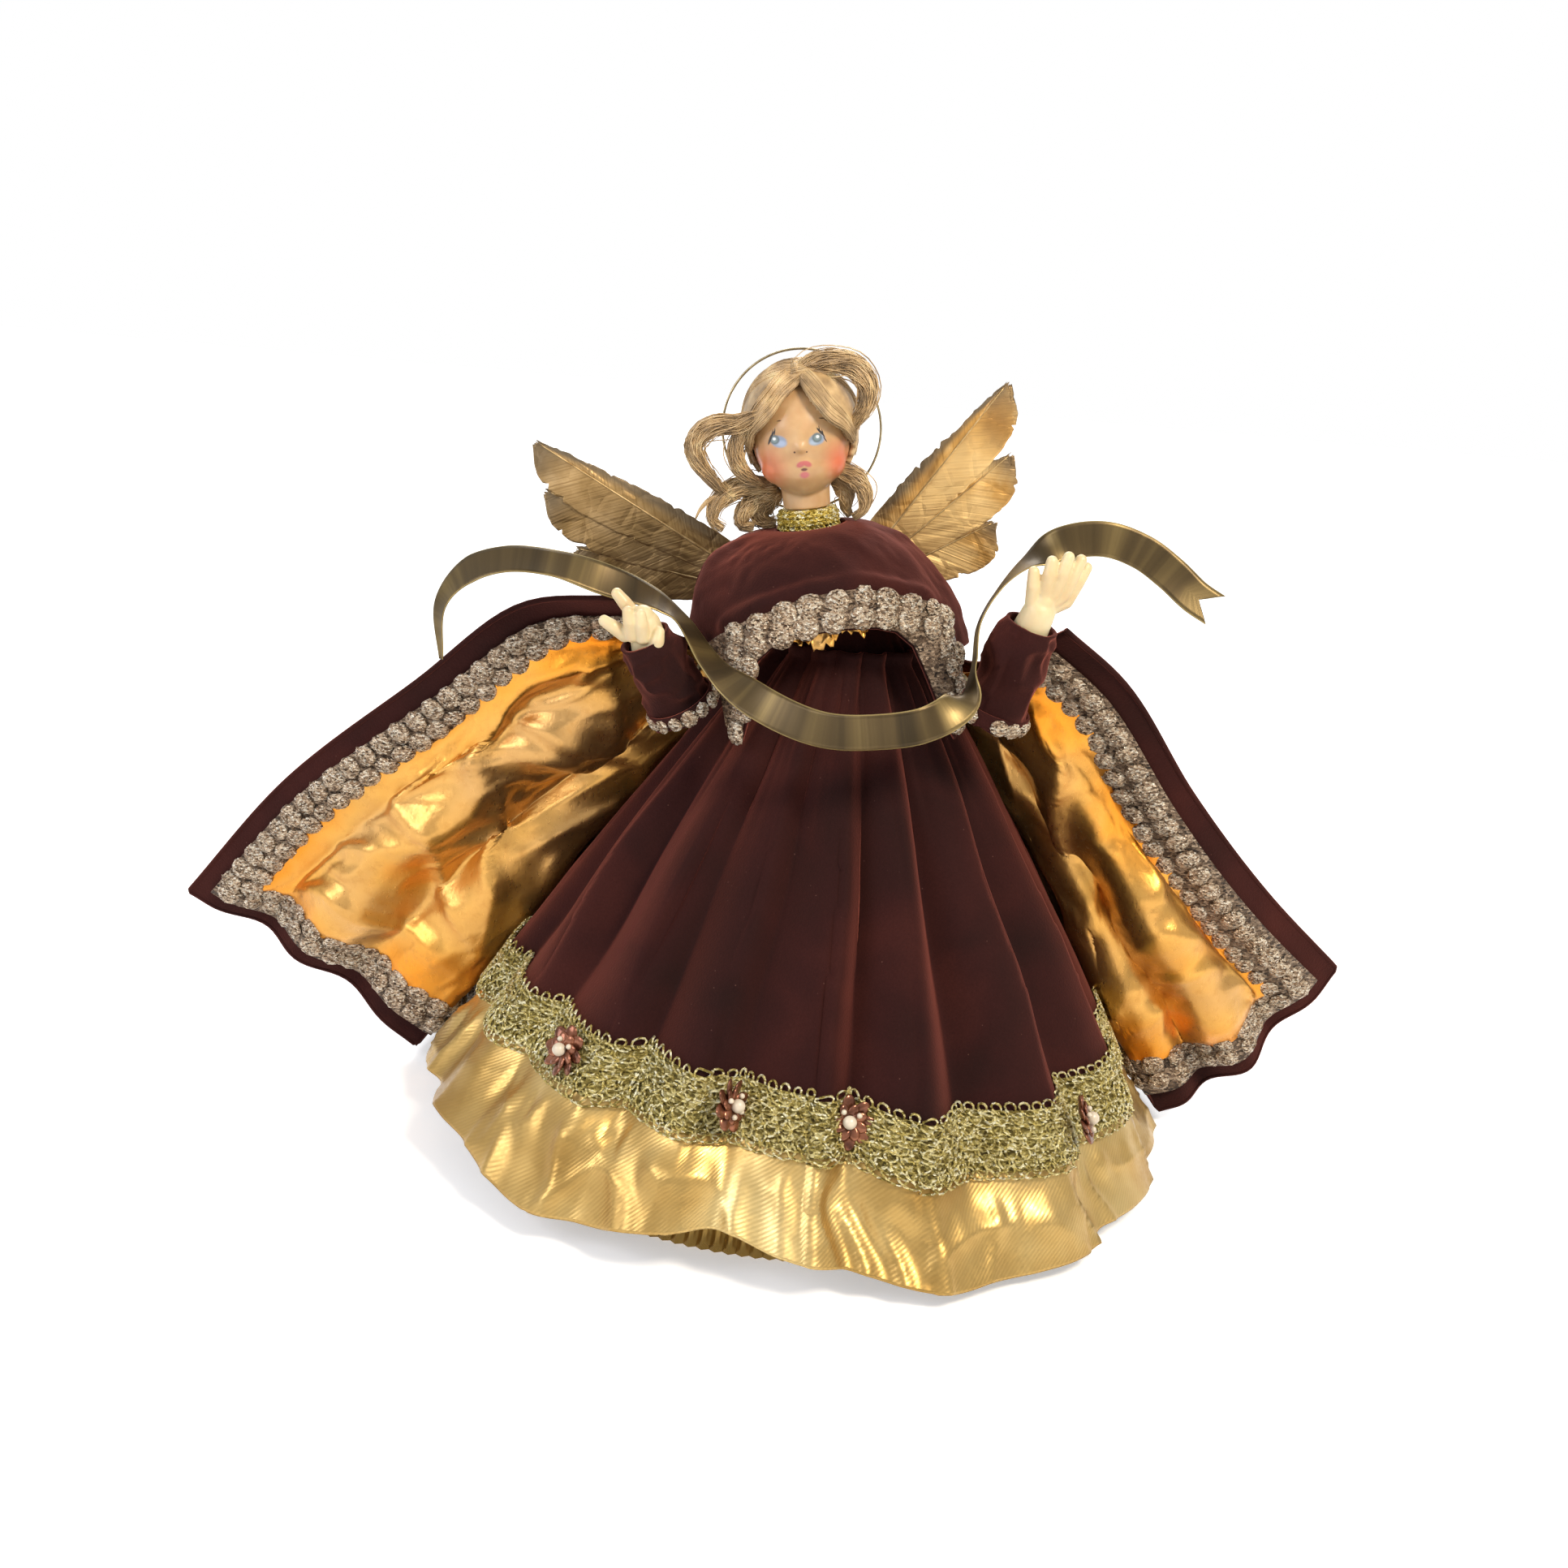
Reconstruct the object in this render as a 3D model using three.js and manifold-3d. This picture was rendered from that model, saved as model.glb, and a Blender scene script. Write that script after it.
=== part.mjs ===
// A Christmas tree topper: a wax doll angel in a velvet gown, cape and foil lining,
// standing on a cardboard cone that slips over the top of a tree.
// Millimetres, +Z up, the doll faces -Y, left and right are as seen from the front.

import * as THREE from 'three';
import { mergeVertices } from 'three/addons/utils/BufferGeometryUtils.js';
import Module from 'manifold-3d';

const wasm = await Module();
wasm.setup();

// Driving sizes
const hemRadius = 136;
const waistHeight = 178;
const clearance = 0.35;
const rounding = 1e-9;
const velvetThick = 1.2;
const foilThick = 0.4;
const laceThick = 1.2;
const braidThick = 1.5;

// Cone under the skirt
const rimInset = 30;
const coneTopRadius = 11;
const coneTopDrop = 2;
const coneWall = 1.5;
const rimWidth = 4;
const capDepth = 6;
const coneRimRadius = hemRadius - rimInset;
const coneTopHeight = waistHeight - coneTopDrop;

// Gown
const waistRadius = 24;
const waistOffset = 7;
const skirtPower = 0.95;
const waistFoldDepth = 1.1;
const midFoldDepth = 4.2;
const hemFoldDepth = 2.6;
const bandSeam = 0.5;
const laceOverlap = 8;

// Cape and its trim
const edgeRoll = 7;
const trimWidth = 15;
const waistClear = 4.2;
const skirtClear = 10;
const flapWave = 6;
const flapBulge = 10;
const backWave = 4;
const backEdgeHeight = 5;

// Capelet
const neckRadius = 11.5;
const shoulderRadius = 34;
const backRadius = 20;
const capeletFold = 1;

// Arms and hands
const armWireRadius = 0.9;
const sleeveRadius = 9.2;
const wristRadius = 6.4;
const cuffTrimWidth = 5;

// Head
const neckRise = 36;
const neckHeight = waistHeight + neckRise;
const neckOffset = -9;
const neckForward = 3;
const neckLean = 10;
const throatRadius = 6.3;
const headWidth = 33;
const headHeight = 40;
const headLift = 36;
const pegRadius = 2;
const pegDepth = 9;
const pegRise = 24;
const hairThick = 3;
const lockRadius = 3.6;
const collarThick = 3.4;
const collarHeight = 5.6;
const haloRadius = 27;
const haloWire = 0.8;

// Wings
const featherThick = 0.5;
const wingDepth = 35;
const wingPinRadius = 0.8;
const wingPinStart = 5.4;
const hubRadius = 4;
const hubThick = 1.6;
const featherLead = 8;
const featherTrail = 13;
const featherRoot = 1.8;
const foilGrown = 1.1;

// Ribbon
const ribbonWidth = 12;
const ribbonThick = 0.4;

// Brooches
const petalRadius = 6.4;
const petalThick = 1.4;
const pearlRadius = 2;

// The doll's places, as shares of the hem's radius across and the waist's height upwards.
// Above the waist the neck's foot stands at 1 + neckShare.
const neckShare = 0.202247191;
const place = ([across, forward, up]) => new THREE.Vector3(
  across * hemRadius, forward * hemRadius,
  Math.min(up, 1) * waistHeight + Math.max(up - 1, 0) / neckShare * neckRise);

const wristShares = { left: [-0.434, -0.331, 1.034], right: [0.463, -0.368, 1.123] };
const elbowShares = { left: [-0.331, -0.279, 0.9], right: [0.397, -0.331, 0.944] };
const armBendShares = { left: [-0.316, -0.118, 0.955], right: [0.368, -0.132, 0.966] };
const shoulderShares = { left: [-0.17, -0.015, 1.135], right: [0.06, -0.015, 1.135] };
const capeTopShares = {
  left: [[-0.515, -0.265, 1.095], [-0.404, -0.088, 1.011], [-0.309, 0.044, 0.989],
    [-0.24, 0.118, 1.07], [-0.162, 0.118, 1.152]],
  right: [[0.559, -0.265, 1.107], [0.426, -0.103, 1.017], [0.324, 0.037, 0.994],
    [0.22, 0.118, 1.072], [0.059, 0.118, 1.163]],
};
const capeEdgeShares = {
  left: [[-0.515, -0.265, 1.095], [-0.757, -0.176, 1.051], [-1.029, -0.051, 0.865],
    [-1.397, 0.103, 0.607], [-1.699, 0.235, 0.312]],
  right: [[0.559, -0.265, 1.107], [0.743, -0.169, 0.994], [0.963, -0.044, 0.775],
    [1.228, 0.103, 0.551], [1.493, 0.25, 0.36]],
};
const capeHemBulgeShares = { left: 0.035, right: -0.05 };

const velvetColour = 0x3a1a1a;
const foilColour = 0xd49a3a;
const lameColour = 0xc9a85c;
const waxColour = 0xd9b483;
const hairColour = 0xb89a72;
const giltColour = 0x9c7a45;
const braidColour = 0xa8937c;

const up = new THREE.Vector3(0, 0, 1);
const radians = THREE.MathUtils.degToRad;
const fullTurnAngle = 360;
const within = (angle) => ((angle % fullTurnAngle) + fullTurnAngle) % fullTurnAngle;

// Shared shapes

// Turns a closed mesh into a solid that can be cut or joined.
function solidOf(geometry) {
  const bare = geometry.clone();
  for (const name of Object.keys(bare.attributes)) {
    if (name !== 'position') bare.deleteAttribute(name);
  }
  const merged = mergeVertices(bare, clearance / 1000);
  return new wasm.Manifold(new wasm.Mesh({
    numProp: 3,
    vertProperties: new Float32Array(merged.attributes.position.array),
    triVerts: new Uint32Array(merged.index.array),
  }));
}

function geometryOf(solid) {
  const mesh = solid.getMesh();
  const geometry = new THREE.BufferGeometry();
  geometry.setAttribute('position', new THREE.BufferAttribute(mesh.vertProperties, 3));
  geometry.setIndex(new THREE.BufferAttribute(mesh.triVerts, 1));
  return geometry;
}

function cutAway(geometry, ...tools) {
  let solid = solidOf(geometry);
  for (const tool of tools) solid = solid.subtract(solidOf(tool));
  return geometryOf(solid);
}

function joined(...parts) {
  let solid = solidOf(parts[0]);
  for (const part of parts.slice(1)) solid = solid.add(solidOf(part));
  return geometryOf(solid);
}

function meshFrom(points, faces) {
  const geometry = new THREE.BufferGeometry();
  geometry.setAttribute('position', new THREE.Float32BufferAttribute(
    points.flatMap((p) => [p.x, p.y, p.z]), 3));
  let volume = 0;
  for (const [a, b, c] of faces) {
    volume += points[a].dot(points[b].clone().cross(points[c]));
  }
  const outward = volume > 0 ? faces : faces.map(([a, b, c]) => [a, c, b]);
  geometry.setIndex(outward.flat());
  return geometry;
}

// Joins rings of points into one closed solid with a flat fan at each end.
function loft(rings) {
  const count = rings[0].length;
  const points = rings.flat();
  const faces = [];
  for (let ring = 0; ring < rings.length - 1; ring += 1) {
    for (let i = 0; i < count; i += 1) {
      const a = ring * count + i;
      const b = ring * count + (i + 1) % count;
      faces.push([a, b, b + count], [a, b + count, a + count]);
    }
  }
  const centre = (ring) => ring.reduce((sum, p) => sum.add(p), new THREE.Vector3())
    .divideScalar(count);
  const first = points.push(centre(rings[0])) - 1;
  const last = points.push(centre(rings[rings.length - 1])) - 1;
  const lastRow = (rings.length - 1) * count;
  for (let i = 0; i < count; i += 1) {
    const next = (i + 1) % count;
    faces.push([first, next, i], [last, lastRow + i, lastRow + next]);
  }
  return meshFrom(points, faces);
}

// A round bar along a curve whose radius follows a function of the way along.
function bar(curve, radiusAt, sides, steps) {
  const frames = curve.computeFrenetFrames(steps, false);
  const rings = [];
  for (let step = 0; step <= steps; step += 1) {
    const along = step / steps;
    const centre = curve.getPointAt(along);
    const ring = [];
    for (let side = 0; side < sides; side += 1) {
      const turn = side / sides * 2 * Math.PI;
      ring.push(centre.clone()
        .addScaledVector(frames.normals[step], Math.cos(turn) * radiusAt(along))
        .addScaledVector(frames.binormals[step], Math.sin(turn) * radiusAt(along)));
    }
    rings.push(ring);
  }
  return loft(rings);
}

function curveThrough(points) {
  return new THREE.CatmullRomCurve3(points, false, 'centripetal');
}

function gridNormals(grid, closed) {
  const rows = grid.length;
  const cols = grid[0].length;
  return grid.map((line, row) => line.map((point, col) => {
    const above = grid[Math.max(row - 1, 0)][col];
    const below = grid[Math.min(row + 1, rows - 1)][col];
    const before = closed ? line[(col + cols - 1) % cols] : line[Math.max(col - 1, 0)];
    const after = closed ? line[(col + 1) % cols] : line[Math.min(col + 1, cols - 1)];
    return after.clone().sub(before).cross(below.clone().sub(above)).normalize();
  }));
}

// A sheet is a grid of points, its columns running with falling angle and its rows
// downwards. The kept squares become one closed solid between two offsets along the
// grid's outward normals, so that sheets sharing a grid lie on each other evenly.
function sheet(grid, low, high, closed, keep) {
  const normals = gridNormals(grid, closed);
  const rows = grid.length;
  const cols = grid[0].length;
  const lastCol = closed ? cols : cols - 1;
  const points = [];
  const faces = [];
  const known = new Map();
  const wrap = (col) => (closed ? (col + cols) % cols : col);
  const held = (row, col) => row >= 0 && row < rows - 1
    && (closed || (col >= 0 && col < lastCol)) && keep(row, wrap(col));
  const vertex = (row, col, offset) => {
    const key = `${row},${wrap(col)},${offset}`;
    if (!known.has(key)) {
      const base = grid[row][wrap(col)].clone();
      known.set(key, points.push(base.addScaledVector(normals[row][wrap(col)], offset)) - 1);
    }
    return known.get(key);
  };
  const square = (a, b, c, d) => faces.push([a, b, c], [a, c, d]);
  for (let row = 0; row < rows - 1; row += 1) {
    for (let col = 0; col < lastCol; col += 1) {
      if (!held(row, col)) continue;
      const corners = [[row, col], [row, col + 1], [row + 1, col + 1], [row + 1, col]];
      const beyond = [[row - 1, col], [row, col + 1], [row + 1, col], [row, col - 1]];
      const top = corners.map(([r, c]) => vertex(r, c, high));
      const base = corners.map(([r, c]) => vertex(r, c, low));
      square(...top);
      square(base[0], base[3], base[2], base[1]);
      beyond.forEach(([r, c], side) => {
        const next = (side + 1) % 4;
        if (!held(r, c)) square(top[next], top[side], base[side], base[next]);
      });
    }
  }
  return meshFrom(points, faces);
}

// A smooth value round the doll, from shares given at even steps of angle.
function roundShares(shares, angle) {
  const at = within(angle) / fullTurnAngle * shares.length;
  const index = Math.floor(at);
  const blend = (1 - Math.cos((at - index) * Math.PI)) / 2;
  return THREE.MathUtils.lerp(shares[index % shares.length],
    shares[(index + 1) % shares.length], blend);
}

// Cone, cap, torso and bodice

const coneProfile = [
  [coneRimRadius - rimWidth, 0],
  [coneRimRadius, 0],
  [coneTopRadius, coneTopHeight],
  [coneTopRadius - coneWall, coneTopHeight],
  [coneRimRadius - rimWidth, coneWall],
].map(([radius, height]) => new THREE.Vector2(radius, height));

function baseCone() {
  return new THREE.LatheGeometry([...coneProfile, coneProfile[0]], 36);
}

// A plug closes the cone's top and carries the torso.
function coneCap() {
  const slope = (coneRimRadius - coneTopRadius) / coneTopHeight;
  const plugRadius = coneTopRadius - coneWall - clearance;
  const plug = new THREE.CylinderGeometry(plugRadius, plugRadius + capDepth * slope,
    capDepth, 24);
  plug.rotateX(Math.PI / 2);
  plug.translate(0, 0, coneTopHeight - capDepth / 2);
  return plug;
}

const torsoBase = coneTopHeight + clearance;
const torsoTop = neckHeight - clearance;
const torsoSides = 18;
const torsoRadius = waistRadius - waistFoldDepth - clearance;
const torsoStations = [
  { upShare: 0, wideShare: 1, deepShare: 1 },
  { upShare: 0.15, wideShare: 1, deepShare: 0.98 },
  { upShare: 0.42, wideShare: 0.84, deepShare: 0.74 },
  { upShare: 0.68, wideShare: 0.84, deepShare: 0.62 },
  { upShare: 0.86, wideShare: 0.66, deepShare: 0.5 },
  { upShare: 1, wideShare: 0.38, deepShare: 0.38 },
];

function bodyCentre(height) {
  const along = (height - waistHeight) / (neckHeight - waistHeight);
  return new THREE.Vector3(
    THREE.MathUtils.lerp(waistOffset, neckOffset, along),
    THREE.MathUtils.lerp(0, -neckForward, along),
    height);
}

function torsoRing(height, extra) {
  const along = (height - torsoBase) / (torsoTop - torsoBase);
  const nextIndex = Math.max(1, torsoStations.findIndex((s) => s.upShare >= along - rounding));
  const from = torsoStations[nextIndex - 1];
  const to = torsoStations[nextIndex];
  const blend = (along - from.upShare) / (to.upShare - from.upShare);
  const wide = THREE.MathUtils.lerp(from.wideShare, to.wideShare, blend) * torsoRadius;
  const deep = THREE.MathUtils.lerp(from.deepShare, to.deepShare, blend) * torsoRadius;
  const centre = bodyCentre(height);
  const ring = [];
  for (let i = 0; i < torsoSides; i += 1) {
    const turn = i / torsoSides * 2 * Math.PI;
    ring.push(new THREE.Vector3(
      centre.x + (wide + extra) * Math.cos(turn),
      centre.y + (deep + extra) * Math.sin(turn), height));
  }
  return ring;
}

function torsoHeight(share) {
  return THREE.MathUtils.lerp(torsoBase, torsoTop, share);
}

function torsoBlank() {
  return loft(torsoStations.map((station) => torsoRing(torsoHeight(station.upShare), 0)));
}

// The bodice wraps the torso from the skirt's gathers to below the shoulders.
function bodiceBlank() {
  const bottom = waistHeight + velvetThick;
  const heights = [bottom, torsoHeight(0.15), torsoHeight(0.42), torsoHeight(0.64)];
  const grid = heights.reverse().map((height) => torsoRing(height, clearance).reverse());
  return sheet(grid, 0, velvetThick, true, () => true);
}

// Skirt, hem band and lace share one grid

const foldAngles = [-176, -152, -127, -106, -86, -69, -43, -18, 8, 34, 60, 86, 112, 146];
const foldSteps = 5;
// Heights round the doll, from the right side on, as shares of the waist's height
const laceLowShares = [0.19, 0.2, 0.21, 0.22, 0.23, 0.24, 0.25, 0.255, 0.25, 0.235, 0.185, 0.18];
const laceHighShares = [0.3, 0.3, 0.31, 0.32, 0.33, 0.34, 0.35, 0.35, 0.345, 0.325, 0.285, 0.28];
const hemShares = [0.035, 0.06, 0.03, 0.055, 0.03, 0.06, 0.075, 0.098, 0.096, 0.07, 0.02, 0.035];

function skirtCentre(height) {
  return waistOffset * height / waistHeight;
}

function skirtRadius(height) {
  const below = Math.max(0, 1 - height / waistHeight);
  return waistRadius + (hemRadius - waistRadius) * below ** skirtPower;
}

function foldDepth(height) {
  const below = Math.max(0, 1 - height / waistHeight);
  const deepestShare = 0.55;
  return below < deepestShare
    ? THREE.MathUtils.lerp(waistFoldDepth, midFoldDepth, below / deepestShare)
    : THREE.MathUtils.lerp(midFoldDepth, hemFoldDepth, (below - deepestShare) / (1 - deepestShare));
}

function skirtPoint(angle, phase, height) {
  const radius = skirtRadius(height) + foldDepth(height) * Math.cos(phase);
  return new THREE.Vector3(
    skirtCentre(height) + radius * Math.cos(radians(angle)),
    radius * Math.sin(radians(angle)), height);
}

const skirtColumns = [];
foldAngles.forEach((start, index) => {
  const next = index + 1 < foldAngles.length ? foldAngles[index + 1]
    : foldAngles[0] + fullTurnAngle;
  for (let step = 0; step < foldSteps; step += 1) {
    const share = step / foldSteps;
    skirtColumns.push({ angle: start + (next - start) * share, phase: share * 2 * Math.PI });
  }
});
skirtColumns.reverse();

const upperRowShares = [1, 0.84, 0.64, 0.47];
const rowNames = ['waist', 'high', 'middle', 'low', 'laceTop', 'seam', 'band', 'laceEnd', 'edge'];
const rowOf = (name) => rowNames.indexOf(name);

function skirtHeights(angle) {
  const laceHigh = roundShares(laceHighShares, angle) * waistHeight;
  const laceLow = roundShares(laceLowShares, angle) * waistHeight;
  const edge = roundShares(hemShares, angle) * waistHeight;
  const seam = laceLow + laceOverlap;
  return [...upperRowShares.map((share) => share * waistHeight), laceHigh,
    seam + bandSeam / 2, seam - bandSeam / 2, laceLow, edge];
}

const skirtGrid = skirtHeights(0).map((_, row) => skirtColumns.map(({ angle, phase }) => (
  skirtPoint(angle, phase, skirtHeights(angle)[row]))));
const laceGrid = ['laceTop', 'seam', 'laceEnd'].map((name) => skirtGrid[rowOf(name)]);

const laceBase = velvetThick + clearance;

// Brooches: a flower with a pearl, square to the lace

const broochAngles = [-132, -102, -81, -40];

function nearestColumn(angle) {
  let best = 0;
  skirtColumns.forEach((column, index) => {
    const away = Math.abs(within(column.angle - angle + 180) - 180);
    const least = Math.abs(within(skirtColumns[best].angle - angle + 180) - 180);
    if (away < least) best = index;
  });
  return best;
}

function broochFrame(angle) {
  const column = nearestColumn(angle);
  const normals = gridNormals(skirtGrid, true);
  const top = skirtGrid[rowOf('laceTop')][column];
  const low = skirtGrid[rowOf('laceEnd')][column];
  const normal = normals[rowOf('seam')][column];
  return { point: top.clone().lerp(low, 0.5), normal };
}

function flower() {
  const petalCount = 7;
  const shape = new THREE.Shape();
  for (let i = 0; i < petalCount * 4; i += 1) {
    const turn = i / (petalCount * 4) * 2 * Math.PI;
    const radius = petalRadius * (0.88 + 0.12 * Math.cos(petalCount * turn));
    const x = radius * Math.cos(turn);
    const y = radius * Math.sin(turn);
    if (i === 0) shape.moveTo(x, y);
    else shape.lineTo(x, y);
  }
  return new THREE.ExtrudeGeometry(shape, { depth: petalThick, bevelEnabled: false });
}

// Cape: two flaps spread by the arms and a back that falls over the skirt

const capeRows = 6;
const flapColumnCount = 7;
const backFoldCount = 5;
const backColumnCount = 3 * backFoldCount;
const joinAngle = { top: 40, hem: 9 };
const waistShare = 0.2;

// The angle where a flap joins the back falls from the shoulder blades to the hem.
function joinTurnAt(down) {
  return THREE.MathUtils.lerp(joinAngle.top, joinAngle.hem, Math.min(1, 1.6 * down));
}

// The neckline runs round the back of the neck between the two shoulder points.
function capeNeck(across) {
  const left = place(capeTopShares.left[4]);
  const right = place(capeTopShares.right[4]);
  const point = right.lerp(left, (1 - Math.cos(across * Math.PI)) / 2);
  const behind = neckRadius + 2 * velvetThick - neckForward - point.y;
  const arch = Math.sin(across * Math.PI);
  return point.add(new THREE.Vector3(0, behind * arch, 2 * velvetThick * arch));
}

function capeFall(across, down, share) {
  const join = joinTurnAt(down);
  const turn = radians(THREE.MathUtils.lerp(join, 180 - join, across));
  const height = THREE.MathUtils.lerp(waistHeight, backEdgeHeight, share);
  const clear = THREE.MathUtils.lerp(waistClear, skirtClear, Math.min(1, 2 * share));
  const wave = backWave * share * (1 - Math.cos(across * backFoldCount * 2 * Math.PI)) / 2;
  const radius = skirtRadius(height) + clear + wave;
  return new THREE.Vector3(skirtCentre(height) + radius * Math.cos(turn),
    radius * Math.sin(turn), height);
}

// The back falls from the neck to the waist, then follows the skirt.
function capeBack(across, down) {
  if (down >= waistShare) {
    return capeFall(across, down, (down - waistShare) / (1 - waistShare));
  }
  return capeNeck(across).lerp(capeFall(across, waistShare, 0), down / waistShare);
}

function flapFrame(side) {
  const sign = side === 'left' ? -1 : 1;
  const topCurve = curveThrough(capeTopShares[side].map(place));
  const edgeCurve = curveThrough(capeEdgeShares[side].map(place));
  const sideShare = side === 'left' ? 1 : 0;
  const tip = edgeCurve.getPoint(1);
  const foot = capeBack(sideShare, 1);
  const across = tip.clone().sub(foot).normalize();
  const out = new THREE.Vector3().crossVectors(up, across).multiplyScalar(-sign).normalize();
  const edge = (down) => edgeCurve.getPointAt(down);
  const join = (down) => capeBack(sideShare, down);
  const top = (inward) => topCurve.getPointAt(Math.min(1, inward));
  const bottom = (inward) => {
    const rise = capeHemBulgeShares[side] * waistHeight * Math.sin(inward * Math.PI);
    return tip.clone().lerp(foot, inward).addScaledVector(up, rise);
  };
  return { edge, join, top, bottom, out };
}

// A patch between four edges, waved towards the hem and bulging backwards.
function flapPoint(frame, inward, down) {
  const ruled = frame.edge(down).lerp(frame.join(down), inward);
  const hung = frame.top(inward).lerp(frame.bottom(inward), down);
  const corners = frame.edge(0).lerp(frame.join(0), inward)
    .lerp(frame.edge(1).lerp(frame.join(1), inward), down);
  const point = ruled.add(hung).sub(corners);
  const window = Math.sin(inward * Math.PI);
  const wave = flapWave * Math.sin(inward * 5 * Math.PI) * Math.min(1, 1.5 * down);
  const bulge = flapBulge * Math.sin(down * Math.PI);
  return point.addScaledVector(frame.out, window * (wave + bulge));
}

// Rows and columns near the edges keep their distance from the edge all along it.
const edgeLines = [0, edgeRoll, edgeRoll + trimWidth / 2, edgeRoll + trimWidth];

function downShares(length) {
  const shares = [];
  const last = 1 - edgeLines[3] / length;
  for (let row = 0; row < capeRows; row += 1) shares.push(last * row / capeRows);
  return [...shares, ...[...edgeLines].reverse().map((line) => 1 - line / length)];
}

function inwardShares(width) {
  const first = edgeLines[3] / width;
  const shares = edgeLines.map((line) => line / width);
  for (let col = 1; col <= flapColumnCount; col += 1) {
    shares.push(THREE.MathUtils.lerp(first, 1, col / flapColumnCount));
  }
  return shares;
}

function flapColumnsOf(side) {
  const frame = flapFrame(side);
  const drop = frame.edge(0).distanceTo(frame.edge(1));
  const downs = downShares(drop);
  return downs.map((down) => {
    const width = frame.edge(down).distanceTo(frame.join(down));
    return inwardShares(width).map((inward) => flapPoint(frame, inward, down));
  });
}

function capeGrid() {
  const left = flapColumnsOf('left');
  const right = flapColumnsOf('right');
  const drop = { left: flapFrame('left'), right: flapFrame('right') };
  const downsLeft = downShares(drop.left.edge(0).distanceTo(drop.left.edge(1)));
  const downsRight = downShares(drop.right.edge(0).distanceTo(drop.right.edge(1)));
  return left.map((line, row) => {
    const back = [];
    for (let col = 1; col < backColumnCount; col += 1) {
      const share = col / backColumnCount;
      const down = THREE.MathUtils.lerp(downsLeft[row], downsRight[row], share);
      back.push(capeBack(1 - share, down));
    }
    return [...line, ...back, ...right[row].slice().reverse()];
  });
}

const cape = capeGrid();
const capeLast = { row: cape.length - 1, col: cape[0].length - 1 };
const inTrim = (row, col) => {
  const fromSide = Math.min(col, capeLast.col - 1 - col);
  const fromHem = capeLast.row - 1 - row;
  const least = Math.min(fromSide, fromHem);
  return least === 1 || least === 2;
};
// The lining starts below the neck's gathers.
const inGathers = (row, col) => row < 1
  && Math.min(col, capeLast.col - 1 - col) >= edgeLines.length + flapColumnCount - 2;
const inLining = (row, col) => !inGathers(row, col)
  && Math.min(col, capeLast.col - 1 - col, capeLast.row - 1 - row) >= 2;

const liningTop = -1.6 * clearance;
const liningLow = liningTop - foilThick;
const trimTop = liningLow - clearance;

// Capelet: a dome over the shoulders, arched in front, with a tab beside each arm

// Falling distance from the neck to the lower edge, as shares of the shoulder's radius,
// at angles round the doll
const capeletEdgeShares = [
  { angle: 180, share: 1.62 }, { angle: 160, share: 1.6 }, { angle: 135, share: 1.45 },
  { angle: 112, share: 1.16 }, { angle: 90, share: 1.12 }, { angle: 68, share: 1.2 },
  { angle: 45, share: 1.45 }, { angle: 20, share: 1.6 }, { angle: 0, share: 1.66 },
  { angle: -15, share: 1.7 }, { angle: -26, share: 1.66 }, { angle: -34, share: 1.76 },
  { angle: -38, share: 2.34 }, { angle: -44, share: 2.44 }, { angle: -50, share: 2.3 },
  { angle: -54, share: 1.5 }, { angle: -64, share: 1.36 }, { angle: -74, share: 1.33 },
  { angle: -84, share: 1.33 }, { angle: -94, share: 1.35 }, { angle: -104, share: 1.4 },
  { angle: -114, share: 1.52 }, { angle: -120, share: 1.72 }, { angle: -123, share: 2.3 },
  { angle: -129, share: 2.46 }, { angle: -135, share: 2.36 }, { angle: -139, share: 1.8 },
  { angle: -146, share: 1.66 }, { angle: -156, share: 1.62 }, { angle: -168, share: 1.62 },
];
const bandShare = 0.93;
const capeletRowShares = [0, 0.2, 0.42, 0.66, bandShare];
const shoulderTurnAngle = 1.4;
const trimAngles = [-34, -139];
const archAngles = [-64, -114];

function domeRadius(angle) {
  const back = Math.max(0, Math.sin(radians(angle))) ** 1.5;
  return THREE.MathUtils.lerp(shoulderRadius, backRadius, back);
}

function capeletPoint(angle, fall) {
  const dome = domeRadius(angle);
  const turn = Math.min(fall / dome, shoulderTurnAngle);
  const beyond = Math.max(0, fall - shoulderTurnAngle * dome);
  const fold = capeletFold * Math.cos(radians(angle * 9)) * Math.min(1, fall / shoulderRadius) ** 3;
  const radius = neckRadius + dome * Math.sin(turn) + beyond * Math.cos(shoulderTurnAngle) + fold;
  const drop = dome * (1 - Math.cos(turn)) + beyond * Math.sin(shoulderTurnAngle);
  const lean = Math.sin(radians(neckLean));
  const top = neckHeight + collarHeight - velvetThick;
  const x = radius * Math.cos(radians(angle));
  const tilt = lean * Math.max(0.4, 1.3 - fall / shoulderRadius);
  return new THREE.Vector3(neckOffset + lean * 1.4 * drop + x,
    -neckForward + radius * Math.sin(radians(angle)), top - drop + x * tilt);
}

const capeletGrid = [0, 1, 2, 3, 4, 5, 6].map((row) => capeletEdgeShares.map(
  ({ angle, share }) => {
    const shares = [...capeletRowShares, (share + bandShare) / 2, share];
    return capeletPoint(angle, shares[row] * shoulderRadius);
  }));

function between([first, last], col) {
  const { angle } = capeletEdgeShares[col];
  return angle <= first && angle > last;
}

// The lining stops under the braid, but hangs out below it in the middle of the arch.
const inCapeletLining = (row, col) => row >= 2 && (row < 5 || between(archAngles, col));

// Arms

function forearm(side) {
  return curveThrough([place(elbowShares[side]), place(wristShares[side])]);
}

function armWireCurve(side) {
  const hand = place(wristShares[side]);
  const elbow = place(elbowShares[side]);
  const shoulder = place(shoulderShares[side]);
  const bend = place(armBendShares[side]);
  return curveThrough([shoulder, bend, elbow, hand]);
}

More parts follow.
